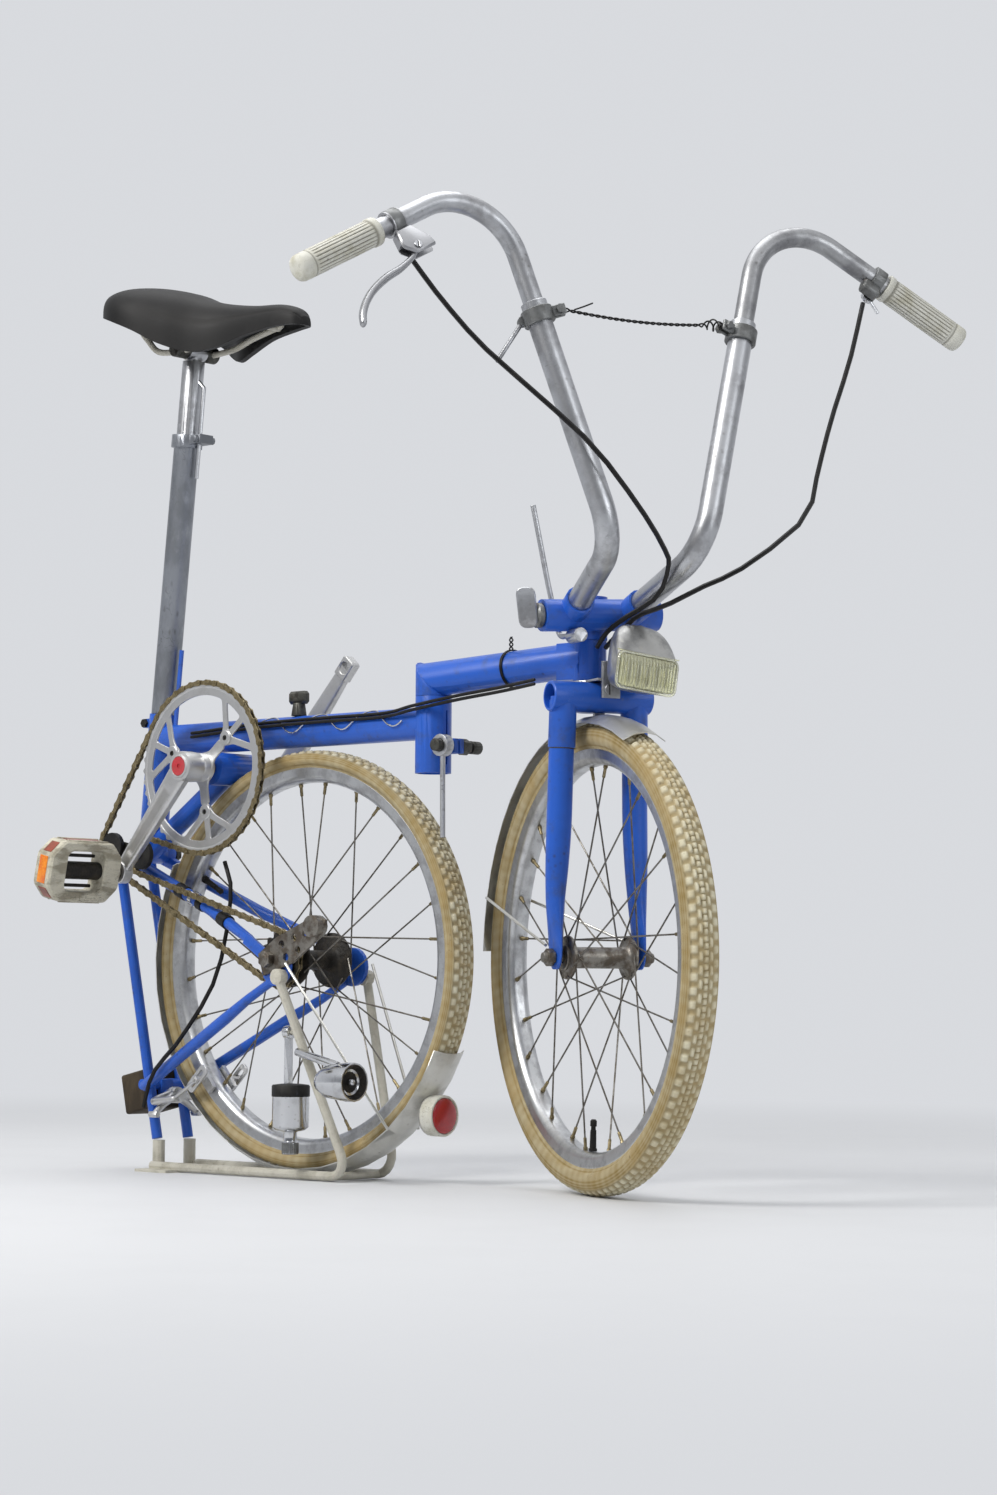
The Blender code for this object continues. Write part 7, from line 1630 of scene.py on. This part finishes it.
def lampScrew():
    # Bracket plate with rounded corners and its screw below the lamp; end and nut of the stem clamp's bolt
    f = bracketForm
    shells = [placed(slab(f["face"], 0.001), f["faceAt"], (0, 1, 0), (0, 0, 1), (1, 0, 0))]
    shells += slottedScrew(*f["screw"], f["screwAt"], (1, 0, 0))
    shells = [atFork(s) for s in shells]
    addPiece("lampBracketFace", shells, "steering", [oldAluminium, greasyBlack], sharp=35)
    sections = (("bolt", 24), ("nut", 6), ("tip", 24))
    ends = [lathe(f[part], f["boltAt"], (0, 1, 0), sides) for part, sides in sections]
    addPiece("stemClampBolt", [atFork(s) for s in ends], "steering", [greasyBlack], sharp=35)


hoodForm = {
    "pivotUp": 0.0355, "half": 0.0071, "screw": (0.004, 0.0014),
    "strap": [
        (0.0103, -0.0062), (0.013, -0.0062), (0.0134, -0.0056), (0.0134, 0.0056), (0.013, 0.0062),
        (0.0103, 0.0062),
    ],
}


def leverHoodDetails():
    # Pivot screw heads on both sides of the hood, and the dark strap of its clamp
    f = hoodForm
    middle, grip, reach, across = leverFrame()
    pivot = middle + reach * f["pivotUp"]
    shells = []
    for way in (-1, 1):
        shells += slottedScrew(*f["screw"], pivot + across * way * f["half"], across * way)
    shells.append(lathe(f["strap"], middle, grip, 48, ring=True, slot=2))
    finishes = [oldAluminium, greasyBlack, greyFitting]
    addPiece("brakeHoodDetails", [atFork(s) for s in shells], "right_bar_top", finishes, sharp=35)


caliperForm = {
    "reach": 0.1945, "turn": math.radians(222), "out": 0.03, "lean": (0.62, 0.0, 0.6),
    "plate": [(-0.017, -0.0064), (0.02, -0.0064), (0.02, 0.0064), (-0.017, 0.0064)],
    "slot": [(-0.011, -0.0026), (0.014, -0.0026), (0.014, 0.0026), (-0.011, 0.0026)],
    "shoeNut": [
        (0.0, 0.0012), (0.0046, 0.0012), (0.0048, 0.0018), (0.0048, 0.0044), (0.0042, 0.005), (0.0026, 0.005),
        (0.0026, 0.0072), (0.0, 0.0076),
    ],
    "layer": {"right": -0.019, "left": -0.013}, "pivot": (-0.004, 0.0825), "tip": (0.0345, 0.062),
    "girth": (0.0034, 0.0042, 0.0056, 0.0048, 0.0044, 0.004, 0.0034),
    "pivotNut": [
        (0.0, 0.0), (0.0062, 0.0), (0.0066, 0.0006), (0.0066, 0.0036), (0.0058, 0.0044), (0.0, 0.0044),
    ],
    "pivotNutAt": (0.004, -0.0084),
    "tipNut": [
        (0.0, -0.0062), (0.0036, -0.0062), (0.0039, -0.0056), (0.0039, 0.0056), (0.0036, 0.0062),
        (0.0, 0.0062),
    ],
}


def caliperPlates():
    # Each brake arm: a round bar of changing girth with nuts, and a slotted plate beside the rim
    f, (axleX, axleZ) = caliperForm, bike["rearAxle"]
    ahead, above = f["reach"] * math.cos(f["turn"]), f["reach"] * math.sin(f["turn"])
    lean = unit(np.array(f["lean"]))
    (midY, midZ), (tipY, tipZ) = f["pivot"], f["tip"]
    for side, name in ((-1, "right"), (1, "left")):
        spot = np.array([axleX + ahead, side * f["out"], axleZ + above])
        square = np.array([0.0, side * 1.0, 0.0])
        outline = roundCorners(np.array(f["plate"]), 0.0062, 8)
        slot = roundCorners(np.array(f["slot"]), 0.0025, 5)
        shells = [placed(plate([outline, slot], 0.003, 0.0005), spot, lean, np.cross(square, lean), square)]
        x = f["layer"][name]
        end = (x, -side * tipY + midY, tipZ)
        bar = [
            end, (x, -side * 0.018 + midY, 0.0745), (x, midY, midZ), (x, side * 0.016, 0.0812),
            (x, side * 0.0325, 0.0762), (x + 0.01, side * 0.0336, 0.0768), (0.012, side * 0.0325, 0.0795),
        ]
        girth = smooth(np.stack([np.linspace(0, 1, len(bar)), f["girth"]], 1), 70)[:, 1]
        shells.append(pipe(smooth(np.array(bar), 70), girth, 20, domed=True))
        shells += [lathe(f["pivotNut"], (x + step, midY, midZ), (1, 0, 0), 6) for step in f["pivotNutAt"]]
        shells.append(lathe(f["tipNut"], end, (1, 0, 0), 6))
        shells.append(lathe(f["shoeNut"], spot, square, 6))
        addPiece(f"{name}ShoeHolder", shells, f"{name}_brake_arm", [brightAlloy], sharp=34)


paddleForm = {
    "end": -0.063, "up": 0.572, "tilt": math.radians(3.0), "thick": 0.0054, "bend": (0.0022, 0.021),
    "outline": [(-0.0092, -0.021), (0.0092, -0.021), (0.0098, 0.0195), (-0.0098, 0.0195)],
    "middle": (0.0035, -0.017, 0.008), "axes": ((0.45, 0.893, 0), (0, -0.06, 0.998), (0.893, -0.45, -0.03)),
    "washer": [
        (0.004, 0.0003), (0.0112, 0.0003), (0.0124, 0.0015), (0.0125, 0.006), (0.0105, 0.0084),
        (0.006, 0.0098), (0.004, 0.01),
    ],
    "pin": [(0.0, -0.02), (0.004, -0.02), (0.004, 0.012), (0.0, 0.012)],
}


def paddlePiece():
    # The quick-release paddle: a rounded plate bent back at both ends, on a washer and its pin
    f = paddleForm
    place = (bike["forkOffset"], f["end"], f["up"])
    away, back = (Matrix.Translation((way * place[0], 0, way * place[2])) for way in (1, -1))
    tilt = np.array(away @ Matrix.Rotation(f["tilt"], 4, "X") @ back)
    paddle = plate([roundCorners(f["outline"], 0.0085, 8)], f["thick"], 0.0012)
    deep, half = f["bend"]
    paddle["p"][:, 2] += deep * (paddle["p"][:, 1] / half) ** 2
    shells = [placed(paddle, np.array(place) + f["middle"], *f["axes"])]
    shells.append(lathe(f["washer"], place, (0, -1, 0), 48, ring=True, slot=1))
    shells.append(lathe(f["pin"], place, (0, -1, 0), 24, slot=1))
    shells = [atFork(turnedBy(s, tilt)) for s in shells]
    addPiece("stemLeverPaddle", shells, "stem_lever", [oldAluminium, greyFitting], ["stem_lever"], sharp=38)


lampScrew()
leverHoodDetails()
caliperPlates()
paddlePiece()


# Wires, tape and clips on the frame

cableForm = {
    "onTube": [(0.02, 0.4815), (0.12, 0.487), (0.22, 0.4885), (0.31, 0.489)], "radius": 0.0018,
    "apart": 0.0042, "tube": (0.0206, 0.477),
    "free": [(0.358, -0.023, 0.494), (0.42, -0.0225, 0.501), (0.48, -0.0235, 0.506), (0.525, -0.0235, 0.511)],
}


def frameCables():
    # Two thin cables, one above the other, laid on the tube's right side and then below the upper tube
    f, pipes = cableForm, []
    x, z = np.array(f["onTube"]).T
    away, middle = f["tube"]
    for drop in (0.0, f["apart"]):
        onTube = np.stack([x, -np.sqrt(away ** 2 - (z - drop - middle) ** 2), z - drop], 1)
        path = smooth(np.concatenate([onTube, np.array(f["free"]) - [0, 0, drop]]), 120)
        pipes.append(pipe(path, f["radius"], 12, domed=True))
    addPiece("frameCablePair", pipes, "root", [cableBlack], ["frame_cables"], sharp=60)


wireForm = {
    "radius": 0.0008, "run": (0.118, 0.338), "tube": (0.019, 0.477), "wave": (25, 32, 0.075),
    "ringAt": (0.475, 0.0191), "rise": (0.5225, 0.366, 0.0389), "apart": 0.0019,
    "knot": (0.0016, 9, -0.004, 0.019, 0.013),
}
bandForm = {
    "start": (-0.0936, -0.0255, 0.354), "knee": (0.07, -0.0352, 0.2865), "low": (0.152, -0.0545, 0.2525),
    "bands": ((0.118, 0.015), (0.157, 0.01)), "lowBand": (0.026, 0.016), "section": (0.0064, 0.008),
    "clipAt": 0.144, "clip": [(0.0068, 0.0), (0.0085, 0.0003), (0.0085, 0.006), (0.0068, 0.0063)],
    "boltAt": (0.498, -0.0225),
    "bolt": [
        (0.0, -0.01), (0.0048, -0.01), (0.0052, -0.0092), (0.0052, -0.007), (0.0036, -0.0068),
        (0.0036, 0.0068), (0.0052, 0.007), (0.0052, 0.0092), (0.0, 0.01),
    ],
}


def frameExtras():
    # A wavy wire on the main tube, a ring of wire with its knot round the upper tube, bands on the chainstay
    f = wireForm
    x = np.linspace(*f["run"], 150)
    (away, middle), (low, swing, length) = f["tube"], f["wave"]
    turn = np.radians(low) + np.radians(swing) * np.sin(2 * np.pi * (x - 0.12) / length)
    wave = np.stack([x, -away * np.cos(turn), middle + away * np.sin(turn)], 1)
    addPiece("mainTubeWire", [pipe(wave, f["radius"], 8, domed=True)], "root", [chrome])
    (cx, around), (base, fromX, rise) = f["ringAt"], f["rise"]
    cz = base + (cx - fromX) * rise
    a = np.linspace(0, 2 * np.pi, 48, endpoint=False)
    ring = np.stack([cx + 0.001 * np.sin(2 * a), around * np.cos(a), cz + around * np.sin(a)], 1)
    loops = [pipe(ring + [step, 0, 0], f["radius"], 8, closed=True) for step in (0.0, f["apart"])]
    t = np.linspace(0, 1, 60)
    wide, turns, side, up, tall = f["knot"]
    for phase in (0, np.pi):
        swing, sway = wide * np.cos(turns * t + phase), wide * np.sin(turns * t + phase)
        knot = np.stack([cx + 0.002 + swing, side + sway, cz + up + tall * t], 1)
        loops.append(pipe(knot, f["radius"], 8, domed=True))
    addPiece("upperTubeWire", loops, "front_section", [cableBlack])
    f = bandForm
    start, knee, low = (np.array(f[k]) for k in ("start", "knee", "low"))
    run, down = unit(knee - start), unit(low - knee)
    spots = [(start + run * at, run, length) for at, length in f["bands"]]
    spots.append((knee + down * f["lowBand"][0], down, f["lowBand"][1]))
    inner, outer = f["section"]
    bands = []
    for spot, way, length in spots:
        profile = [(inner, 0.0), (outer, 0.0004), (outer, length - 0.0004), (inner, length)]
        bands.append(lathe(profile, spot, way, 32, ring=True))
    bands.append(lathe(f["clip"], start + run * f["clipAt"], run, 32, ring=True, slot=1))
    addPiece("chainstayBands", bands, "rear_section", [tapeBlack, chrome])
    bolt = lathe(f["bolt"], seatPoint(*f["boltAt"]), (0, 1, 0), 6)
    addPiece("seatTubeBolt", [bolt], "root", [greasyBlack], sharp=30)


frameCables()
frameExtras()
print("small fittings made")


# Frame, stem and the other nodes whose own shape is right: node, finish, width of bevel, own name if any

dressed = [
    ("main_frame", bluePaint, 0.0004, "mainFrameTubes"),
    ("front_frame", bluePaint, 0.0004, "frontFrameTubes"), ("stem", bluePaint, 0.0004, "stemTubes"),
    ("rear_frame", bluePaint, 0.0004, "rearFrameTubes"), ("hinge_clamp_screw", darkFitting, 0.0004),
    ("hinge_tommy_bar", oldAluminium, 0.0003), ("frame_knob", darkFitting, 0.0005),
    ("fold_axle_and_pulley_plate", darkFitting, 0.0004, "foldAxlePlate"),
    ("headlamp_bracket", oldAluminium, 0.0003, "lampBracket"), ("front_axle", hubSteel, 0.0004),
    ("front_guard", guardMetal, 0.0), ("brake_lever_mount", leverAlloy, 0.0008, "brakeLeverHood"),
    ("shifter_mount", greyFitting, 0.0004, "shifterBand"), ("shifter_trigger", chrome, 0.0003),
    ("crank_spindle", hubSteel, 0.0004), ("pedal_axle", hubSteel, 0.0004),
    ("upper_pulley", blackPlastic, 0.0004), ("lower_pulley", blackPlastic, 0.0004),
    ("bumper_block", oldBlock, 0.001), ("rear_axle", hubSteel, 0.0004),
    ("rack", creamEnamel, 0.0003, "rackAndStruts"),
    ("rear_guard_and_reflector", guardMetal, 0.0, "rearGuard"),
    ("rear_lamp", chrome, 0.0003, "rearLampShell"), ("drilled_hub_arm", hubSteel, 0.0004, "drilledArm"),
    ("dynamo", chrome, 0.0004, "dynamoBody"), ("right_brake_arm", brightAlloy, 0.0003),
    ("left_brake_arm", brightAlloy, 0.0003), ("lower_seat_post", postMetal, 0.0004),
    ("upper_seat_post", oldAluminium, 0.0004), ("stem_tommy_bar", oldAluminium, 0.0003),
    ("brake_cable", cableBlack, 0.0, "brakeCableSheath"),
    ("shifter_cable", cableBlack, 0.0, "shifterCableSheath"),
    ("rear_brake_cable", cableBlack, 0.0, "rearBrakeCableSheath"),
]
for node, made, bevel, *own in dressed:
    first, *more = node.split("_")
    name = own[0] if own else first + "".join(word.title() for word in more)
    dress(node, name, made, bevel)
print("frame dressed")


# Camera, lights and the pale stage

view = {
    "place": (2.65247, -2.45561, 0.2032), "forward": (-0.66470824, 0.74343571, 0.07393444),
    "roll": math.radians(0.36), "focal": 3239, "photoHeight": 1495, "sensor": 36, "middle": (0.25, 0, 0.45),
}


def camera():
    # Eye at the place, looking along forward, rolled about it; focal length from the pixels of the photo
    eye = bpy.data.cameras.new("photoView")
    eye.sensor_fit = "VERTICAL"
    eye.sensor_height = view["sensor"]
    eye.lens = view["focal"] / view["photoHeight"] * view["sensor"]
    eye.clip_end = 60
    forward = Vector(view["forward"]).normalized()
    right = forward.cross(Vector((0, 0, 1))).normalized()
    up = right.cross(forward)
    c, s = math.cos(view["roll"]), math.sin(view["roll"])
    x, y = right * c + up * s, up * c - right * s
    made = bpy.data.objects.new("photoView", eye)
    made.matrix_world = Matrix.Translation(view["place"]) @ Matrix((x, y, -forward)).transposed().to_4x4()
    bpy.context.scene.collection.objects.link(made)
    bpy.context.scene.camera = made


def lamp(name, panel):
    # A square light, placed away from the viewer, right and up from the middle of the bike, and turned to it
    forward = Vector((*view["forward"][:2], 0)).normalized()
    right = forward.cross(Vector((0, 0, 1)))
    aim = Vector(view["middle"])
    place = aim + forward * panel["away"] + right * panel["right"] + Vector((0, 0, panel["up"]))
    light = bpy.data.lights.new(name, "AREA")
    light.shape = "RECTANGLE"
    light.size = light.size_y = panel["size"]
    light.energy = panel["power"]
    light.color = panel["tone"]
    made = bpy.data.objects.new(name, light)
    turned = (aim - place).to_track_quat("-Z", "Y").to_matrix().to_4x4()
    made.matrix_world = Matrix.Translation(place) @ turned
    bpy.context.scene.collection.objects.link(made)


stageLook = {
    "wall": (0.69, 0.705, 0.735), "behind": (0.16, 0.165, 0.18), "sky": (0.95, 0.96, 0.98),
    "air": (0.97, 0.98, 1.0), "turn": (-0.6, 0.75), "side": (0.55, 0.1), "rise": (0.15, 0.75),
    "ambient": 0.44, "floor": (0.66, 0.67, 0.69), "grain": 0.985, "grainScale": 6.0, "fade": (0.7, 2.6),
    "middle": 0.2, "rings": (0.01, 1.0, 2.0, 4.0, 8.0, 16.0),
}


def world():
    # Camera, glossy and transmitted rays see the pale wall, dark behind the viewer; others get ambient light
    look = stageLook
    made = bpy.data.worlds.new("paleRoom")
    bpy.context.scene.world = made
    made.use_nodes = True
    tree = made.node_tree
    tree.nodes.clear()
    way = put(tree, "ShaderNodeTexCoord").outputs["Generated"]
    forward = Vector((*view["forward"][:2], 0)).normalized()
    links = [(0, way), (1, forward)]
    facing = put(tree, "ShaderNodeVectorMath", links, operation="DOT_PRODUCT").outputs["Value"]
    step = ramp(tree, facing, *look["turn"], soft=True)
    links = [(0, step), (6, (*look["behind"], 1)), (7, (*look["wall"], 1))]
    plainSeen = put(tree, "ShaderNodeMix", links, data_type="RGBA").outputs[2]
    height = put(tree, "ShaderNodeSeparateXYZ", [(0, way)]).outputs["Z"]
    high = ramp(tree, height, *look["rise"], soft=True)
    upper = mathNode(tree, "MULTIPLY", ramp(tree, facing, *look["side"]), high)
    links = [(0, upper), (6, plainSeen), (7, (*look["sky"], 1))]
    seen = put(tree, "ShaderNodeMix", links, data_type="RGBA").outputs[2]
    path = put(tree, "ShaderNodeLightPath").outputs
    some = mathNode(tree, "MAXIMUM", path["Is Camera Ray"], path["Is Glossy Ray"])
    direct = mathNode(tree, "MAXIMUM", some, path["Is Transmission Ray"])
    soft = put(tree, "ShaderNodeBackground", [("Color", (*look["air"], 1)), ("Strength", look["ambient"])])
    plain = put(tree, "ShaderNodeBackground", [("Color", seen), ("Strength", 1.0)])
    mix = put(tree, "ShaderNodeMixShader", [(0, direct), (1, soft.outputs[0]), (2, plain.outputs[0])])
    put(tree, "ShaderNodeOutputWorld", [("Surface", mix.outputs[0])])


def floor():
    # A round floor that takes the shadow near the object and fades into the wall's colour further out
    look, sides = stageLook, 96
    a = np.linspace(0, 2 * np.pi, sides, endpoint=False)
    r = np.array(look["rings"])[:, None]
    points = np.stack([r * np.cos(a) + look["middle"], r * np.sin(a), 0 * r * a], -1)
    flat = grid(points)
    flat["c"] = [range(sides)]
    mesh = meshOf("paleFloor", [flat])
    piece = bpy.data.objects.new("paleFloor", mesh)
    bpy.context.scene.collection.objects.link(piece)
    if mesh.polygons[0].normal.z < 0:
        mesh.flip_normals()
    made = bpy.data.materials.new("paleFloor")
    made.use_nodes = True
    tree = made.node_tree
    shader = tree.nodes["Principled BSDF"]
    out = tree.nodes["Material Output"]
    where = put(tree, "ShaderNodeTexCoord").outputs["Object"]
    grain = tree.nodes.new("ShaderNodeGroup")
    grain.node_tree = masks["patches"]
    tree.links.new(where, grain.inputs["Vector"])
    grain.inputs["Scale"].default_value = look["grainScale"]
    shade = (*(c * look["grain"] for c in look["floor"]), 1)
    links = [(0, grain.outputs[0]), (6, (*look["floor"], 1)), (7, shade)]
    tone = put(tree, "ShaderNodeMix", links, data_type="RGBA")
    tree.links.new(tone.outputs[2], shader.inputs["Base Color"])
    shader.inputs["Roughness"].default_value = 0.55
    shader.inputs["Specular IOR Level"].default_value = 0.25
    far = put(tree, "ShaderNodeVectorMath", [(0, where)], operation="LENGTH").outputs["Value"]
    glow = put(tree, "ShaderNodeEmission", [("Color", (*look["wall"], 1)), ("Strength", 1.0)])
    path = put(tree, "ShaderNodeLightPath").outputs
    seen = mathNode(tree, "MAXIMUM", path["Is Camera Ray"], path["Is Glossy Ray"])
    amount = mathNode(tree, "MULTIPLY", ramp(tree, far, *look["fade"], soft=True), seen)
    mix = put(tree, "ShaderNodeMixShader", [(0, amount), (1, shader.outputs[0]), (2, glow.outputs[0])])
    tree.links.new(mix.outputs[0], out.inputs["Surface"])
    mesh.materials.append(made)


camera()
world()
floor()
lampPanels = {
    "keyPanel": {"away": -1.6, "right": -2.0, "up": 2.1, "size": 1.3, "power": 84, "tone": (1.0, 0.985, 0.955)},
    "fillPanel": {"away": -2.2, "right": 2.2, "up": 0.9, "size": 1.4, "power": 17, "tone": (0.96, 0.98, 1.0)},
    "topPanel": {"away": 0.4, "right": 0.0, "up": 2.6, "size": 2.2, "power": 34, "tone": (1, 1, 1)},
}
for name, panel in lampPanels.items():
    lamp(name, panel)
bpy.context.scene.view_settings.view_transform = "Standard"
print("stage made")
